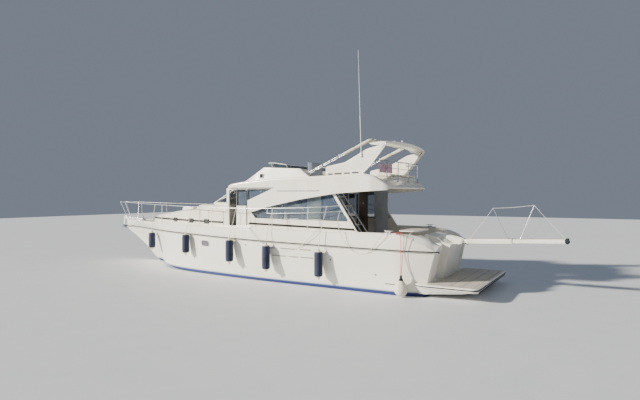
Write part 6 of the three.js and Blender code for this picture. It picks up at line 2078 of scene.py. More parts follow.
def awning_frame():
    leg, long, gap = AWNING["leg_y"], AWNING["length"], AWNING["gap"]
    shells, plastic = [], []
    for offset in (0.0, gap):
        corners = [awning_point(offset, leg, 0.0), awning_point(offset, leg, long),
                   awning_point(offset, -leg, long), awning_point(offset, -leg, 0.0)]
        shells.append(tube(corners, 0.0115, 12, 0.16))
    for side in (1, -1):
        y = side * leg
        eye = [(0.0128, -0.02), (0.034, -0.02), (0.036, 0.0), (0.034, 0.02), (0.0128, 0.02)]
        ring_points = [[(AWNING["foot_x"] + a, y + h, AWNING["foot_z"] + b) for a, b in circle(r, 24)] for r,
                       h in eye]
        shells.append(skin(ring_points, loop=True))
        for t in (0.12, 0.25, 0.38, 0.5):
            shells.append(bar(awning_point(0.0, y, long * t), awning_point(gap, y, long * t), 0.008,
                              sides=10))
            for offset in (0.0, gap):
                a, b = awning_point(offset, y, long * t - 0.02), awning_point(offset, y, long * t + 0.02)
                plastic.append(bar(a, b, 0.0185, edge=0.003, sides=14))
    parts = [(joined(*shells), STEEL), (joined(*plastic), BLACK_PLASTIC)]
    piece("awning_hoops", "awning", parts, "awning_frame", 45, even=False)


def evenly(line, gap):
    """Points on a line, evenly spaced, with how far along each lies."""
    steps = [0.0]
    for a, b in zip(line, line[1:]):
        steps.append(steps[-1] + (Vector(b) - Vector(a)).length)
    count = max(2, round(steps[-1] / gap) + 1)
    points = []
    for far in steps_between(0.0, steps[-1], count):
        points.append((Vector([float(np.interp(far, steps, [p[k] for p in line])) for k in range(3)]), far))
    return points


def awning_roll():
    """The awning's canvas rolled round the two hoops and down part of their legs, drawn in by its ties."""
    leg, long, up = AWNING["leg_y"], AWNING["length"], AWNING["gap"] / 2
    low = long * 0.6
    corners = [awning_point(up, leg, low), awning_point(up, leg, long), awning_point(up, -leg, long),
               awning_point(up, -leg, low)]
    points = evenly(eased(corners, 0.17, 10), 0.02)
    whole = points[-1][1]
    normal = (Vector(awning_point(1, 0, 0)) - Vector(awning_point(0, 0, 0))).normalized()
    tie_gap = whole / 11
    rings, straps = [], []
    for n, (middle, far) in enumerate(points):
        ahead = points[min(n + 1, len(points) - 1)][0] - points[max(n - 1, 0)][0]
        side = ahead.cross(normal).normalized()
        near = abs((far + tie_gap / 2) % tie_gap - tie_gap / 2)
        inward = min(far, whole - far)
        draw = 1 - (0.2 * math.exp(-(near / 0.035) ** 2) if inward > 0.1 else 0.0)
        thick = 0.052 + 0.016 * min(1.0, max(0.0, (inward - 0.6) / 0.6))
        end = min(1.0, inward / 0.03 + 0.72)
        ring = []
        for a in angles(40):
            fold = 0.05 * math.sin(3 * a + 1.7 * far + 0.6)
            fold += 0.035 * math.sin(7 * a - 4.1 * far) * math.sin(5.0 * far + 1)
            flap = 0.07 if abs((a + 0.25 * math.sin(2.1 * far)) % (2 * math.pi) - 4.2) < 0.18 else 0.0
            r = thick * draw * end * (1 + fold + flap * draw)
            ring.append(middle + side * (r * math.cos(a)) + normal * (r * math.sin(a) * 0.97))
        rings.append(ring)
        if near < 0.0101 and inward > 0.1 and (not straps or (middle - straps[-1][0]).length > 0.1):
            loop = [middle + side * (thick * 0.85 * math.cos(a)) + normal * (thick * 0.835 * math.sin(a))
                    for a in angles(32)]
            straps.append((middle, sweep(loop, oval(0.012, 0.0018, 8), up=tuple(ahead), loop=True)))
    mesh = mesh_of("awning_roll", [(skin(rings), CANVAS)])
    roll = shown("awning_roll", mesh, "awning", "awning_canvas", 50, even=False)
    piece("awning_ties", "awning", [(joined(*[strap for _, strap in straps]), CANVAS)], even=False)


def bridge_rail():
    x, y, z = BRIDGE_RAIL["x"], BRIDGE_RAIL["y"], BRIDGE_RAIL["z"]
    half = [(-5.43, ARCH_INNER - SEAT_GAP, z), (-5.44, y + 0.02, z), (-5.5, y, z), (x + 0.1, y, z),
            (x + 0.02, y - 0.02, z), (x, y - 0.1, z), (x, 0.5, z)]
    around = half + [(a, -b, c) for a, b, c in half[::-1]]
    shells = [tube(eased(around, 0.05, 6), 0.019, 12)]
    for side in (1, -1):
        shells.append(bar((-5.43, side * (ARCH_INNER - SEAT_GAP), z), (-5.43, side * (ARCH_INNER - 0.012), z),
                          0.036, edge=0.003, sides=20))
    for py in (-1.5, -0.5, 0.5, 1.5):
        foot = roof_top(x) + 0.012
        shells.append(bar((x, py, foot), (x, py, z), 0.015, sides=12))
        shells.append(lathe([(0.036, 0), (0.036, 0.004), (0.026, 0.012), (0.014, 0.034)],
                            (x, py, foot + 0.004), sides=18))
        shells.append(lathe([(0.02, -0.02), (0.021, 0.0), (0.0, 0.001)], (x, py, z - 0.008), sides=14))
    middle = [(x, -1.5, z - 0.24), (x, 1.5, z - 0.24)]
    shells.append(tube(middle, 0.009, 10))
    # The rail's steel is darkened: painted shade.
    piece("bridge_rail_tubes", "hull", [(joined(*shells), DULL_STEEL_PAINTED_SHADE)], "flybridge_rail", 45,
          even=False)


def ladder():
    def at(z):
        return -5.5 + 0.72 * (z - WELL["floor"])

    low, high = ON_SOLE, 3.6
    tubes, boards, rubbers = [], [], []
    for y in (1.02, 1.44):
        tubes.append(tube([(at(low), y, low + 0.004), (at(high), y, high)], 0.02, 14))
        tubes.append(block((at(low) - 0.045, y - 0.03, low), (at(low) + 0.045, y + 0.03, low + 0.012), 0.004))
    for z in steps_between(1.53, 3.48, 7):
        x = at(z)
        boards.append(block((x - 0.07, 1.03, z), (x + 0.07, 1.43, z + 0.032), 0.006))
        for k in range(4):
            aft = x - 0.05 + 0.03 * k
            rubbers.append(block((aft, 1.06, z + 0.03), (aft + 0.012, 1.4, z + 0.0345), 0.001))
        tubes.append(bar((x, 1.0, z + 0.016), (x, 1.46, z + 0.016), 0.008, sides=8))
    parts = [(joined(*tubes), STEEL), (joined(*boards), RUB_PALE), (joined(*rubbers), RUBBER)]
    piece("bridge_ladder", "hull", parts, "flybridge_ladder", 40)


radar_arch()
whip_antenna()
awning_frame()
awning_roll()
bridge_rail()
ladder()


# Gangway and cockpit

GANGWAY = {"x": -8.11, "z": 1.665, "reach": 3.29, "half": 0.2, "deep": 0.16, "rise": 0.042}


def gangway_at(d, up=0.0, y=0.0):
    return (GANGWAY["x"] - d, y, GANGWAY["z"] + d * GANGWAY["rise"] + up)


def gangway_base():
    cheeks = []
    line = [(-7.62, 1.52), (-7.62, 1.85, 0.06), (-7.95, 1.8, 0.1), (-8.18, 1.735, 0.08), (-8.18, 1.595, 0.08),
            (-7.96, 1.52)]
    for side in (1, -1):
        low, high = sorted((side * 0.0925, side * 0.14))
        cheeks.append(plate("xz", line, low, high, edge=0.012, steps=8))
        cheeks.append(lathe([(0.05, 0), (0.048, 0.008), (0.03, 0.014), (0, 0.015)],
                            gangway_at(0, 0, side * 0.138), (0, side, 0), 24))
    saddle = plate("xz", [(-7.62, 1.5), (-7.62, 1.84, 0.06), (-7.93, 1.79, 0.06), (-7.99, 1.5)], -0.1, 0.1,
                   edge=0.01)
    pin = bar(gangway_at(0, 0, -0.135), gangway_at(0, 0, 0.135), 0.022, sides=24)
    parts = [(joined(*cheeks, saddle), GELCOAT), (pin, STEEL)]
    piece("gangway_mount", "hull", parts, "gangway_base", 36)


def gangway():
    reach, half, deep = GANGWAY["reach"], GANGWAY["half"], GANGWAY["deep"] / 2

    def beam(start, end, y, low, high, edge):
        a, b = gangway_at(start), gangway_at(end)
        line = [(a[0], a[2] + low), (a[0], a[2] + high), (b[0], b[2] + high), (b[0], b[2] + low)]
        return plate("xz", line, -y, y, edge=edge)

    def root_point(d, up, r=0.0):
        x, _, z = gangway_at(d, up)
        return (x, z, r)

    root = plate("xz", [root_point(-0.048, -0.048, 0.03), root_point(-0.048, 0.048, 0.03),
                        root_point(0.42, 0.078), root_point(0.42, -0.078)], -0.086, 0.086,
                 [[(GANGWAY["x"] + a, GANGWAY["z"] + b) for a, b in circle(0.0226, 24)]])
    outer = beam(0.21, 1.66, half, -deep, deep, 0.018)
    inner = beam(1.6, reach - 0.05, half - 0.02, -deep + 0.018, deep - 0.012, 0.014)
    tip_line = [root_point(reach - 0.1, -deep + 0.03, 0.02), root_point(reach - 0.1, deep, 0.01),
                root_point(reach, deep, 0.02), root_point(reach, -deep + 0.03, 0.04)]
    tip = plate("xz", tip_line, -half, half, edge=0.01)
    collar = beam(1.625, 1.665, half, -deep, deep, 0.004)
    decks = []
    for start, end, up, wide in ((0.24, 1.6, deep, half - 0.03),
                                 (1.68, reach - 0.11, deep - 0.012, half - 0.045)):
        decks.append(beam(start, end, wide, up - 0.003, up + 0.004, 0.002))
    wheels = [lathe([(0.0, -0.018), (0.045, -0.018), (0.05, -0.008), (0.05, 0.008), (0.045, 0.018),
                     (0.0, 0.018)], gangway_at(reach - 0.03, -deep + 0.05, y), (0, 1, 0), 24)
              for y in (-half + 0.03, half - 0.03)]
    lift = deep - 0.01
    y = half - 0.022
    heads = [(-9.18, y, 2.8), (-10.43, y, 2.91)]
    poles, balls, lines = [], [], []
    for d, head in zip((1.54, 1.91), heads):
        foot = gangway_at(d, lift, y)
        poles.append(bar(foot, head, 0.011, sides=12))
        poles.append(lathe([(0.026, 0), (0.026, 0.02), (0.016, 0.03), (0.0125, 0.06)],
                           (foot[0], foot[1], foot[2] + 0.004), tuple(Vector(head) - Vector(foot)), 18))
        balls.append(lathe([(0.0, -0.018), (0.012, -0.014), (0.018, 0), (0.012, 0.014), (0, 0.018)], head,
                           sides=16))
    ends = [gangway_at(0.3, lift, y), heads[0], heads[1], gangway_at(reach - 0.06, lift, y)]
    for a, b in zip(ends, ends[1:]):
        a, b = Vector(a), Vector(b)
        line = [a.lerp(b, k / 16) - Vector((0, 0, 0.02 * 4 * (k / 16) * (1 - k / 16))) for k in range(17)]
        lines.append(tube(line, 0.0055, 8))
    joint_bolts = [lathe([(0.014, 0), (0.012, 0.006), (0, 0.008)], gangway_at(d, u, side * half),
                         (0, side, 0), 12) for d in (0.3, 0.38) for u in (-0.03, 0.03) for side in (1, -1)]
    parts = [(joined(root, outer, inner, collar), GELCOAT), (joined(*decks), DECK_GRIP), (tip, RUBBER),
             (joined(*wheels), BLACK_PLASTIC), (joined(*poles, *balls, *joint_bolts), STEEL),
             (joined(*lines), WHITE_CORD)]
    piece("gangway_beam", "gangway", parts, "gangway", 36)


def table():
    top = plate("xy", [(-7.05, 0.08, 0.28), (-7.05, 1.48, 0.28), (-6.35, 1.48, 0.28), (-6.35, 0.08, 0.28)],
                2.01, 2.045, edge=0.012, steps=10)
    inlay = plate("xy", [(-6.98, 0.15, 0.24), (-6.98, 1.41, 0.24), (-6.42, 1.41, 0.24), (-6.42, 0.15, 0.24)],
                  2.03, 2.0475, edge=0.001, steps=10)
    leg = lathe([(0.13, 0), (0.13, 0.014), (0.11, 0.022), (0.062, 0.03), (0.045, 0.06), (0.045, 0.66),
                 (0.06, 0.7), (0.09, 0.744)], (-6.56, 0.78, ON_SOLE), sides=32)
    piece("cockpit_table_top", "hull", [(top, GELCOAT), (inlay, TEAK), (leg, STEEL)],
          "cockpit_table", 36)


def bench():
    low = ON_SOLE
    base = block((-7.1, -1.45, low), (-6.72, 1.45, 1.6), 0.02, 3)
    # A thin darker sheet on the bench's front paints the shade of a recess.
    painted_recess_shade = block((-6.722, -1.3, low + 0.06), (-6.716, 1.3, 1.54), 0.004)
    piece("bench_moulding", "hull", [(base, GELCOAT), (painted_recess_shade, PAINTED_SHADE_GELCOAT)], sharp=36)
    for half, starboard, port, stands in (("port", 0.005, 1.445, "cockpit_bench"),
                                          ("starboard", -1.445, -0.005, ())):
        pad(f"bench_cushion_{half}", (-7.095, starboard, 1.602), (-6.715, port, 1.71), 0.85, stands, 0.012,
            0.014, 0.008)


gangway_base()
gangway()
table()
bench()


# Below the water

SHAFT_RADIUS = 0.03
PROPELLER_RADIUS = 0.318
SHAFT_END_X = -3.45


def propeller(name, side):
    radius = PROPELLER_RADIUS
    shaft_length = (SHAFT_END_X - PROPELLER_X) / math.cos(SHAFT_TILT)
    axle = bar((-0.15, 0, 0), (shaft_length, 0, 0), SHAFT_RADIUS, sides=24)
    hub = lathe([(0.0, -0.13), (0.05, -0.13), (0.056, -0.1), (0.062, 0.0), (0.062, 0.08), (0.05, 0.1),
                 (0, 0.1)], (0, 0, 0), (1, 0, 0), 32)
    nose = lathe([(0.03, 0.0), (0.05, 0.01), (0.044, 0.04), (0.028, 0.07), (0.012, 0.082), (0, 0.085)],
                 (-0.125, 0, 0), (-1, 0, 0), 24)
    blades = []
    for k in range(4):
        rings = []
        for t in shares(14):
            reach = 0.03 + (radius - 0.03) * t
            half = 0.062 + 0.075 * math.sin(math.pi * min(1.0, t * 1.08) ** 0.85) - 0.05 * t ** 6
            half = max(0.012, half * (1 - 0.75 * max(0.0, t - 0.82) / 0.18))
            pitch = math.atan2(0.3, 2 * math.pi * max(reach, 0.07) / 1.9)
            thick = 0.011 * (1 - t) + 0.002
            sweep_back = 0.05 * t * t
            ring = []
            for a in angles(16):
                u, v = half * math.cos(a) + sweep_back, thick * math.sin(a)
                x = -u * math.sin(pitch) + v * math.cos(pitch)
                y = -u * math.cos(pitch) - v * math.sin(pitch)
                bend = y / max(reach, 0.06)
                ring.append((x, reach * math.sin(bend), reach * math.cos(bend)))
            rings.append(ring)
        blades.append(placed(skin(rings), Matrix.Rotation(k * math.pi / 2, 4, "X")))
    lean = Matrix.Translation((PROPELLER_X, side * SHAFT_Y, PROPELLER_Z))
    lean = lean @ Matrix.Rotation(-SHAFT_TILT, 4, "Y")
    parts = [(placed(joined(hub, nose, *blades), lean), BRONZE), (placed(axle, lean), STEEL)]
    piece(name + "_bronze", name, parts, name, 40)


def shaft_bracket(name, side):
    start, end = Vector(shaft_point(0.14)), Vector(shaft_point(0.38))
    outer, inner = 0.056, 0.0312
    long = (end - start).length
    profile = [(inner, 0.0), (outer - 0.008, 0.0), (outer, 0.01), (outer, long - 0.01),
               (outer - 0.008, long), (inner, long)]
    rings = [[(a, b, h) for a, b in circle(r, 28)] for r, h in profile]
    barrel = placed(skin(rings, loop=True), Matrix.Translation(start) @ turned_to(end - start))
    legs = []
    for reach in (-0.26, 0.17):
        rings = []
        for t in shares(6):
            low = Vector(shaft_point(0.26)) + Vector((0, 0, 0.042))
            high = Vector((shaft_point(0.28)[0], SHAFT_Y + reach, -0.56))
            middle = low.lerp(high, t)
            rings.append([(middle.x + 0.082 * math.cos(a), middle.y + 0.015 * math.sin(a), middle.z)
                          for a in angles(20)])
        legs.append(skin(rings))
    parts = on_board(side, [(joined(barrel, *legs), BRONZE)])
    piece(name + "_casting", "hull", parts, name, 40)


RUDDER = {"x": -7.0, "top": -0.54, "depth": 0.64, "stock": 0.032}


def rudder(name, side):
    """The CAD blade's outline with a rounded leading edge and a fine tail."""
    _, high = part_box(name)
    top, foot = RUDDER["top"], RUDDER["top"] - RUDDER["depth"]
    rings = []
    for t in shares(16):
        z = top + (foot - top) * t
        ease = 1.0 - 0.4 * max(0.0, t - 0.92) / 0.08
        fore = RUDDER["x"] + 0.13 - 0.04 * t - (0.03 * (1 - ease) / 0.4)
        aft = -7.3 + 0.03 * t + (0.03 * (1 - ease) / 0.4)
        ring = []
        for a in angles(24):
            u = 0.5 + 0.5 * math.cos(a)
            thick = 0.026 * ease * math.sin(a) * (0.35 + 1.25 * u - 0.62 * u * u)
            ring.append((aft + (fore - aft) * u, side * SHAFT_Y + thick, z))
        rings.append(ring)
    ends = [(RUDDER["x"], side * SHAFT_Y, z) for z in (foot + 0.06, high[2])]
    stock = bar(*ends, RUDDER["stock"], sides=24)
    parts = [(skin(rings), ANTIFOULING), (stock, STEEL)]
    piece(name + "_blade", name, parts, name, 40)


for name, side in (("port", 1), ("starboard", -1)):
    propeller(name + "_propeller", side)
    shaft_bracket(name + "_shaft_bracket", side)
    rudder(name + "_rudder", side)


def engines():
    """Two plain blocks on their bearers."""
    low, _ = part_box("engines")
    shells = []
    for side in (1, -1):
        y = side * 0.76
        shells.append(block((-5.65, y - 0.38, low[2]), (-4.15, y + 0.38, low[2] + 0.5), 0.03, 3))
        shells.append(block((-5.55, y - 0.3, low[2] + 0.49), (-4.25, y + 0.3, low[2] + 0.8), 0.04, 3))
        shells.append(block((-5.45, y - 0.16, low[2] + 0.79), (-4.35, y + 0.16, low[2] + 0.92), 0.04, 3))
    shells += [block((x, -0.76, low[2]), (x + 0.1, 0.76, low[2] + 0.09), 0.01) for x in (-5.4, -4.5)]
    piece("engine_blocks", "hull", [(joined(*shells), ENGINE)], "engines", 36)


engines()


# Through the glass

def helm_console():
    low = ON_SOLE
    line = [(0.84, low), (0.84, 2.79, 0.02), (0.7, 2.79, 0.06), (0.38, 2.56, 0.05), (0.33, 2.25, 0.07),
            (0.48, 2.15, 0.05), (0.48, low)]
    dash = plate("xz", line, -1.5, 0.15, edge=0.02)
    stub = steering_wheel("helm_wheel", HELM_WHEEL, 0.12)
    out = Vector((-0.584, 0, 0.812))

    def face(share, down):
        top, foot = Vector((0.665, -1.36, 2.765)), Vector((0.425, -1.36, 2.592))
        p = foot.lerp(top, down) + Vector((0, 1.1 * share, 0)) + out * 0.001
        return (p.x, p.y, p.z)

    dark, white = helm_fittings(face, tuple(out), 6, 0.044)
    doors = [block((0.474, y, low + 0.09), (0.4835, y + 0.5, 2.08), 0.004) for y in (-1.44, -0.92, -0.4)]
    knobs = [lathe([(0.014, 0), (0.01, 0.012), (0.016, 0.022), (0, 0.028)], (0.475, y, 1.8), (-1, 0, 0), 16)
             for y in (-0.98, -0.86, -0.34)]
    rods, tips = levers(face(0.98, 0.5), 0.02, (-0.01, -0.05), 0.0, 0.006)
    # The dash is gelcoat darkened to paint the saloon's shade.
    parts = [(dash, PAINTED_SHADE_GELCOAT), (joined(*doors), CABIN_WOOD), (joined(stub, *rods, *knobs), STEEL),
             (joined(*dark, *tips), BLACK_PLASTIC), (joined(*white), ENAMEL)]
    piece("helm_console_moulding", "hull", parts, "helm_console", 36)


def helm_seat():
    low = ON_SOLE
    base = block((-0.62, -1.18, low), (-0.22, -0.48, 1.72), 0.012)
    back = plate("xz", [(-0.705, 1.74), (-0.68, 1.72), (-0.585, 1.84), (-0.715, 2.49, 0.01),
                        (-0.735, 2.48, 0.01)], -1.2, -0.46, edge=0.004)
    # The seat's back is gelcoat darkened to paint the saloon's shade.
    piece("helm_seat_base", "hull", [(base, CABIN_WOOD), (back, PAINTED_SHADE_GELCOAT)], sharp=36)
    pad("helm_seat_cushion", (-0.57, -1.228, 1.722), (-0.185, -0.432, 1.85), 0.85, "helm_seat", 0.014,
        voxel=0.018, blow=False)
    pad("helm_seat_back", (-0.7, -1.228, 1.855), (-0.585, -0.432, 2.495), 0.85, (), 0.016, voxel=0.018,
        blow=False)


SOFA = {"fore": -1.0, "aft": -3.4, "cushions": 3}


def sofa():
    low = ON_SOLE
    base = block((SOFA["aft"], 0.92, low), (SOFA["fore"], 1.64, 1.575), 0.012)
    back = block((SOFA["aft"], 1.615, 1.57), (SOFA["fore"], 1.655, 2.23), 0.012)
    piece("saloon_sofa_base", "hull", [(joined(base, back), CABIN_WOOD)], sharp=36)
    wide = (SOFA["fore"] - SOFA["aft"]) / SOFA["cushions"]
    for n in range(SOFA["cushions"]):
        aft, fore = SOFA["aft"] + wide * n + 0.004, SOFA["aft"] + wide * (n + 1) - 0.004
        pad(f"sofa_cushion_{n + 1}", (aft, 0.905, 1.577), (fore, 1.44, 1.71), 0.8,
            "saloon_sofa" if n == 0 else (), 0.016, 0.016, voxel=0.02, blow=False)
        pad(f"sofa_back_{n + 1}", (aft, 1.465, 1.715), (fore, 1.612, 2.255), 0.8, (), 0.02, 0.016,
            voxel=0.02, blow=False)


CURTAIN_Y, CURTAIN_TOP = 1.66, 3.405
CURTAIN_FOLD = {"deep": 0.016, "pitch": 0.085}
PORT_PANELS = [(-3.5, -2.9, 2.3), (-1.57, -1.33, 2.3)]
STARBOARD_PANELS = [(-4.68, -4.08, 1.33)]


def curtains(name, side, panels, rail, finish):
    """Gathered curtains: each an open sheet in even folds, hung by hooks from a rail."""
    aft, fore = rail
    y, z = side * CURTAIN_Y, 3.42
    steel = [bar((aft, y, z), (fore, y, z), 0.012, sides=12)]
    for x in (aft + 0.02, fore - 0.02):
        steel.append(block((x - 0.012, y - 0.01, z), (x + 0.012, y + 0.01, CABIN_TOP), 0.002))
    deep = CURTAIN_FOLD["deep"]
    hooks = []
    for n, (left, right, low) in enumerate(panels, 1):
        folds = round((right - left) / CURTAIN_FOLD["pitch"])

        def hung(s, t):
            loose = 1.0 - 0.35 * t ** 3
            wave = math.sin(2 * math.pi * folds * s + 0.35 * math.sin(5 * s + 2 * t))
            lean = 0.012 * math.sin(2 * math.pi * folds * s * 2 + 0.8) * (1 - t)
            hem = 0.004 * math.sin(2 * math.pi * folds * s + 1.2) * (1 - t)
            return (left + (right - left) * s + lean * 0.5, y + deep * loose * wave,
                    low + (CURTAIN_TOP - low) * t + hem)

        cloth = [(patch(hung, folds * 16, 24), finish)]
        sheet = piece(f"{name}_panel_{n}", "hull", cloth, name if n == 1 else (), 70,
                      even=False)
        line = [Vector(hung(k / 400, 0.5)) for k in range(401)]
        width = sum((b - a).length for a, b in zip(line, line[1:]))
        for k in range(folds):
            x = left + (right - left) * (k + 0.5) / folds
            line = [(x, y + a, z - 0.003 + b) for a, b in circle(0.016, 14)]
            hooks.append(sweep(line, circle(0.0022, 6), up=(1, 0, 0), loop=True))
    piece(f"{name}_rail", "hull", [(joined(*steel), STEEL), (joined(*hooks), ENAMEL)],
          even=False)


helm_console()
helm_seat()
sofa()
curtains("port_curtains", 1, PORT_PANELS, (-3.56, -1.27), CURTAIN)
# The starboard curtain's grey-blue tone is painted shade.
curtains("starboard_curtains", -1, STARBOARD_PANELS, (-4.74, -4.02), PAINTED_SHADE_CURTAIN)


# Rows of small like parts, each laid by one tree of nodes

ROUND_HEAD, SQUARE_BAR = "round", "square"


def row_tree(name, shape):
    """Small parts set evenly on lines, each turned to stand out from its surface."""
    tree = bpy.data.node_groups.new(name, "GeometryNodeTree")
    for label, way, kind in (("Lines", "INPUT", "Geometry"), ("Gap", "INPUT", "Float"),
                             ("Size", "INPUT", "Vector"), ("Finish", "INPUT", "Material"),
                             ("Row", "OUTPUT", "Geometry")):
        tree.interface.new_socket(label, in_out=way, socket_type="NodeSocket" + kind)

    def node(kind, settings=None, sockets=None):
        made = tree.nodes.new(kind)
        for key, value in (settings or {}).items():
            setattr(made, key, value)
        for key, value in (sockets or {}).items():
            if isinstance(value, bpy.types.NodeSocket):
                tree.links.new(value, made.inputs[key])
            else:
                made.inputs[key].default_value = value
        return made

    given = node("NodeGroupInput")
    curve = node("GeometryNodeMeshToCurve", None, {"Mesh": given.outputs["Lines"]})
    spaced = node("GeometryNodeResampleCurve", {"mode": "LENGTH"},
                  {"Curve": curve.outputs[0], "Length": given.outputs["Gap"]})
    if shape == ROUND_HEAD:
        part = node("GeometryNodeMeshCylinder", None, {"Vertices": 10, "Radius": 0.5, "Depth": 1.0})
    else:
        part = node("GeometryNodeMeshCube", None, {"Size": (1.0, 1.0, 1.0)})
    out = node("GeometryNodeInputNamedAttribute", {"data_type": "FLOAT_VECTOR"}, {"Name": "out"})
    stood = node("FunctionNodeAlignRotationToVector", {"axis": "Z"}, {"Vector": out.outputs[0]})
    along = node("GeometryNodeInputTangent")
    turned = node("FunctionNodeAlignRotationToVector", {"axis": "X", "pivot_axis": "Z"},
                  {"Rotation": stood.outputs[0], "Vector": along.outputs[0]})
    parts = node("GeometryNodeInstanceOnPoints", None,
                 {"Points": spaced.outputs[0], "Instance": part.outputs[0], "Rotation": turned.outputs[0],
                  "Scale": given.outputs["Size"]})
    real = node("GeometryNodeRealizeInstances", None, {"Geometry": parts.outputs[0]})
    coated = node("GeometryNodeSetMaterial", None, {"Geometry": real.outputs[0],
                                                    "Material": given.outputs["Finish"]})
    node("NodeGroupOutput", None, {"Row": coated.outputs[0]})
    return tree


SCREW_ROW = row_tree("row_of_screws", ROUND_HEAD)
STITCH_ROW = row_tree("row_of_bars", SQUARE_BAR)


def row_mesh(name, lines, tree, gap, size, finish):
    """Lines of (point, outward) pairs, turned by the tree into rows of parts."""
    points, edges, outward = [], [], []
    for line in lines:
        start = len(points)
        points += [tuple(p) for p, _ in line]
        outward += [c for _, out in line for c in Vector(out).normalized()]
        edges += [(start + k, start + k + 1) for k in range(len(line) - 1)]
    mesh = bpy.data.meshes.new(name)
    mesh.from_pydata(points, edges, [])
    mesh.attributes.new("out", "FLOAT_VECTOR", "POINT").data.foreach_set("vector", outward)
    thing = new_object(name, mesh)
    modifier = thing.modifiers.new("row", "NODES")
    modifier.node_group = tree
    given = {"Gap": gap, "Size": size, "Finish": finish}
    for socket in tree.interface.items_tree:
        if socket.in_out == "INPUT" and socket.name in given:
            modifier[socket.identifier] = given[socket.name]
    result = evaluated(thing)
    bpy.data.objects.remove(thing)
    result.name = name
    return result


def repeated(name, body, lines, tree, gap, size, finish):
    shown(name, row_mesh(name, lines, tree, gap, size, finish), body, (), 30, even=False)


# Fenders

FENDERS = [(5.79, 0.7, 1.6), (2.74, 0.74, 1.69), (0.04, 0.6, 1.62), (-1.74, 0.45, 1.5), (-3.92, 0.35, 1.4)]
FENDER_RADIUS = 0.15
COVER_HEM = 0.112


def round_body(profile, centre, ripple):
    """A turned shell whose hems are drawn up in small gathers. Profile rows are (radius, height, gather)."""
    rings = []
    for r, h, gather in profile:
        reaches = [(a, r * (1 + gather * math.sin(ripple * a))) for a in angles(48)]
        rings.append([(centre[0] + reach * math.cos(a), centre[1] + reach * math.sin(a), centre[2] + h)
                      for a, reach in reaches])
    return skin(rings)


def ring_at(centre, radius, thick, across):
    """A small ring standing up, seen end on along an axis."""
    axis = Vector(across).normalized()
    up = Vector(UP)
    other = axis.cross(up).normalized()
    line = [Vector(centre) + other * (radius * math.cos(a)) + up * (radius * math.sin(a))
            for a in angles(20)]
    return sweep(line, circle(thick, 8), up=tuple(axis), loop=True)


def wrapped(centre, axis, radius, thick, turns):
    """Turns of thin line round a bar."""
    along = Vector(axis).normalized()
    other = along.cross(Vector(UP)).normalized()
    up = other.cross(along)
    line = []
    for k in range(turns * 12 + 1):
        a = 2 * math.pi * k / 12
        line.append(Vector(centre) + along * ((k / 12 - turns / 2) * thick * 2.1)
                    + other * (radius * math.cos(a)) + up * (radius * math.sin(a)))
    return tube(line, thick, 6)


def fender(n, x, low, high):
    y = hull_at(x)["rubY"] + RUB_PROUD + FENDER_RADIUS + 0.004
    long = high - low
    end = [(0.002, 0.012), (0.018, 0.006), (0.03, 0.0), (0.038, 0.006), (0.042, 0.03), (0.052, 0.058),
           (0.082, 0.084), (0.112, 0.104), (0.126, 0.13)]
    pale = [end + [(0.12, 0.15), (0.002, 0.15)],
            [(r, long - h) for r, h in end + [(0.12, 0.15), (0.002, 0.15)]]]
    hem = [(0.112, COVER_HEM + 0.002, 0.0), (0.125, COVER_HEM - 0.006, 0.03), (0.133, COVER_HEM, 0.035),
           (0.137, COVER_HEM + 0.014, 0.02), (0.143, 0.155, 0.01), (0.148, 0.19, 0.004)]
    middle = [(0.1492 + 0.0008 * math.sin(k * 1.9 + n), 0.19 + (long - 0.38) * k / 12, 0.002)
              for k in range(1, 12)]
    cover = round_body(hem + middle + [(r, long - h, g) for r, h, g in hem[::-1]], (x, y, low), 15)
    ends = joined(*[lathe(row, (x, y, low), sides=28) for row in pale])
    eyes = joined(*[ring_at((x, y, z), 0.02, 0.007, (0, 1, 0)) for z in (high + 0.004, low + 0.006)])
    row = hull_at(x)
    rail = Vector(rail_point(x))
    beside = Vector(rail_point(x + 0.05)) - Vector(rail_point(x - 0.05))
    lines = []
    for dx in (-0.011, 0.011):
        over = (x + dx, max(row["deckY"], row["rubY"] + RUB_PROUD) + 0.014, TOE_RAIL_Z + 0.012)
        start = (x + dx * 0.6, y, high + 0.012)
        lines.append(tube([start, over, (x + dx, rail.y + 0.006, rail.z - 0.004)], 0.0045, 8, 0.05))
    lines.append(wrapped((x, y, high + 0.026), (1, 0, 0.02), 0.009, 0.0045, 3))
    lines.append(wrapped(tuple(rail), tuple(beside), RAIL_RADIUS + 0.0042, 0.0045, 4))
    lines.append(tube([(x + 0.02, rail.y + 0.018, rail.z - 0.006), (x + 0.024, rail.y + 0.022, rail.z - 0.05),
                       (x + 0.021, rail.y + 0.016, rail.z - 0.12)], 0.0045, 6))
    parts = [(cover, NAVY), (joined(ends, eyes), BUFF), (joined(*lines), WHITE_CORD)]
    thing = piece(f"fender_{n}_cover", "hull", parts, f"fender_{n}", 50, even=False)
    seams = []
    for a in (0.9, 0.9 + math.pi):
        out = Vector((math.cos(a), math.sin(a), 0))
        heights = steps_between(0.2, long - 0.2, 12)
        seams.append([(Vector((x, y, low + h)) + out * 0.1497, out) for h in heights])
    repeated(f"fender_{n}_stitches", "hull", seams, STITCH_ROW, 0.02, (0.012, 0.003, 0.003),
             CANVAS)


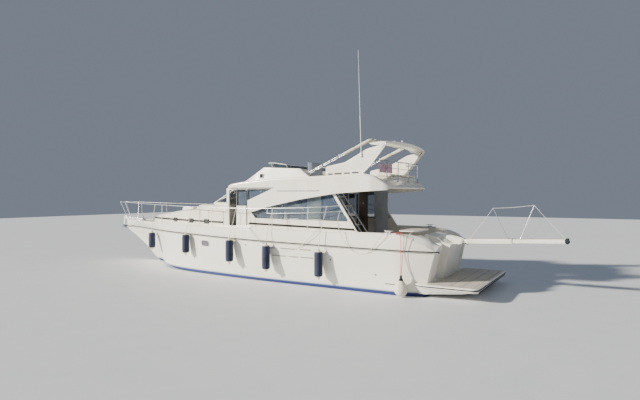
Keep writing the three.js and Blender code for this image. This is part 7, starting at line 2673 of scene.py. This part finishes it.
def ball_fender():
    x, radius, middle = -6.83, 0.215, 0.25
    y = side_y(x, 0.3) + radius + 0.03
    profile = [(0.002, middle - radius)]
    for k in range(1, 20):
        a = -math.pi / 2 + math.pi * k / 27
        profile.append((radius * math.cos(a), middle + radius * math.sin(a)))
    ball = lathe(profile + [(0.142, 0.437), (0.11, 0.488), (0.08, 0.53), (0.06, 0.548), (0.002, 0.55)],
                 (x, y, 0), sides=56)
    seam = lathe([(radius - 0.004, middle - 0.003), (radius + 0.001, middle),
                  (radius - 0.004, middle + 0.003)], (x, y, 0), sides=56)
    cone = lathe([(0.04, 0.53), (0.078, 0.536), (0.081, 0.545), (0.062, 0.575), (0.042, 0.61), (0.034, 0.7),
                  (0.018, 0.702)], (x, y, 0), sides=28)
    above = TOE_RAIL_Z + 0.0075
    edge, inner = hull_at(-6.56)["deckY"], hull_at(-6.47)["deckY"]
    ropes = []
    for n, apart in enumerate((-1, 1)):
        route = [(x + apart * 0.004, y, 0.69), (x + 0.01 + apart * 0.028, y - 0.09, 1.25),
                 (x + 0.02 + apart * 0.058, hull_at(x)["rubY"] + RUB_PROUD + 0.014, 1.945),
                 (-6.56 + apart * 0.02, edge + 0.008, above + 0.006),
                 (-6.47 + apart * 0.012, inner - 0.036, above)]
        line = smooth_line(route, 8)
        ropes.append(rope_mesh(f"lanyard_{n}", line, 0.0085, RED_ROPE, 10, 0.035))
    joined_mesh = mesh_of("ball_fender_body", [(joined(ball, seam), BUFF), (cone, BLACK_PLASTIC)])
    body = shown("ball_fender_body", joined_mesh, "hull", "ball_fender", 50, even=False)
    for n, mesh in enumerate(ropes, 1):
        shown(f"ball_fender_lanyard_{n}", mesh, "hull", (), 60, even=False)


# Fittings on the hull side

def laid(shell, side=1):
    """A shell drawn as (x, proud, z), laid on the hull side."""
    points, faces = shell
    return [on_side(x, z, proud, side) for x, proud, z in points], faces


def slot_line(aft, fore, z, half):
    return rect(aft, z - half, fore, z + half, half * 0.9)


def side_out(x, z, side):
    return Vector(on_side(x, z, 1.0, side)) - Vector(on_side(x, z, 0.0, side))


AIR_SLOTS = [(-2.11, -1.45, 1.305), (-2.92, -2.22, 1.305), (-3.53, -3.03, 1.305), (-2.46, -1.84, 1.03),
             (-2.98, -2.57, 1.03), (-3.6, -3.06, 1.03)]
OUTLETS = [(-0.62, 1.35), (-4.26, 1.02), (-5.91, 0.62)]
PORTHOLE = {"aft": 1.42, "fore": 1.94, "low": 1.14, "high": 1.41}
DRAIN_SLOTS = [(-6.54, -6.21, 0.355, 0.014), (6.13, 6.27, 1.5, 0.012), (5.6, 5.74, 1.47, 0.012)]


def hull_fittings():
    rims, dark, glass, steel, slats, screws = [], [], [], [], [], []
    half_high = (PORTHOLE["high"] - PORTHOLE["low"]) / 2
    middle_z = PORTHOLE["low"] + half_high
    for side in (1, -1):
        slots = [(aft + 0.012, fore - 0.012, z, 0.019, 0.012, 0.011, 0.007) for aft, fore, z in AIR_SLOTS]
        slots += [(*slot, 0.01, 0.008, 0.005) for slot in DRAIN_SLOTS]
        for aft, fore, z, half, wide, high, proud in slots:
            outer, inner = slot_line(aft - wide, fore + wide, z, half + high), slot_line(aft, fore, z, half)
            rims.append(laid(plate("xz", outer, -0.008, proud, [inner], 0.002, 5), side))
            # A dark plate inside each slot paints the shade in its hollow.
            dark.append(laid(plate("xz", inner, -0.008, 0.0015, steps=5), side))
        for aft, fore, z in AIR_SLOTS:
            slats.append([(on_side(x, z, 0.003, side), side_out(x, z, side))
                          for x in steps_between(aft + 0.04, fore - 0.04, 9)])
        for x, z in OUTLETS:
            centre, out = on_side(x, z, 0.0, side), tuple(side_out(x, z, side))
            steel.append(lathe([(0.0, -0.012), (0.036, -0.012), (0.036, 0.006), (0.03, 0.011),
                                (0.024, 0.008), (0.021, 0.0), (0.0, 0.0)], centre, out, 24))
            # A dark disc in the outlet's mouth paints the shade inside its bore.
            dark.append(lathe([(0.0, 0.0002), (0.0205, 0.0002), (0.0205, 0.0022), (0.0, 0.0022)], centre,
                              out, 20))
        line, gasket, light, screwed = [
            slot_line(PORTHOLE["aft"] + by, PORTHOLE["fore"] - by, middle_z, half_high - by)
            for by in (0.0, 0.026, 0.042, 0.013)]
        rims.append(laid(plate("xz", line, -0.012, 0.012, [gasket], 0.004, 10), side))
        # A black gasket ring between frame and glass, wide all round, also paints the shadow in the
        # porthole's recess.
        dark.append(laid(plate("xz", gasket, -0.012, 0.006, [light], 0.002, 10), side))
        glass.append(laid(plate("xz", light, -0.012, 0.003, steps=10), side))
        ring = outline(screwed, 10)
        screws.append([(on_side(p.x, p.y, 0.0125, side), side_out(p.x, p.y, side)) for p in [*ring, ring[0]]])
    parts = [(joined(*rims), GELCOAT), (joined(*dark), BLACK_PLASTIC), (joined(*glass), PORT_PANE),
             (joined(*steel), STEEL)]
    piece("hull_side_fittings", "hull", parts, sharp=36, even=False)
    repeated("air_slot_bars", "hull", slats, STITCH_ROW, 0.032, (0.009, 0.036, 0.009), GELCOAT)
    repeated("porthole_screws", "hull", screws, SCREW_ROW, 0.085, (0.012, 0.012, 0.004), STEEL)


def rail_screws():
    """Screws along the rub rail's pale lip and down into the toe rail."""
    rub, toe = [], []
    for side in (1, -1):
        lip, top = [], []
        for x in steps_between(-7.7, 8.6, 120):
            row = hull_at(x)
            out = side_out(x, row["rubZ"] - 0.05, side)
            lip.append(((x, side * (row["rubY"] + 0.0355), row["rubZ"] - 0.013), (out.x, out.y, 0.0)))
        for x in steps_between(-6.4, 8.6, 110):
            top.append(((x, side * (hull_at(x)["deckY"] - 0.036), TOE_RAIL_Z - 0.0005), (0, 0, 1)))
        rub.append(lip)
        toe.append(top)
    repeated("rub_rail_screws", "hull", rub, SCREW_ROW, 0.22, (0.014, 0.014, 0.005), STEEL)
    repeated("toe_rail_screws", "hull", toe, SCREW_ROW, 0.3, (0.016, 0.016, 0.003), STEEL)


def gangway_treads():
    """Anti-slip bars across the gangway's two decks."""
    deep = GANGWAY["deep"] / 2
    up = Vector(gangway_at(0, 1)) - Vector(gangway_at(0, 0))
    for n, (start, end, height, wide) in enumerate(((0.28, 1.56, deep + 0.005, 0.3),
                                                    (1.72, 3.14, deep - 0.007, 0.27)), 1):
        line = [(gangway_at(d, height), up) for d in (start, end)]
        repeated(f"gangway_treads_{n}", "gangway", [line], STITCH_ROW, 0.052,
                 (0.014, wide, 0.005), RUB_PALE)


for number, (x, low, high) in enumerate(FENDERS, 1):
    fender(number, x, low, high)
ball_fender()
hull_fittings()
rail_screws()
gangway_treads()
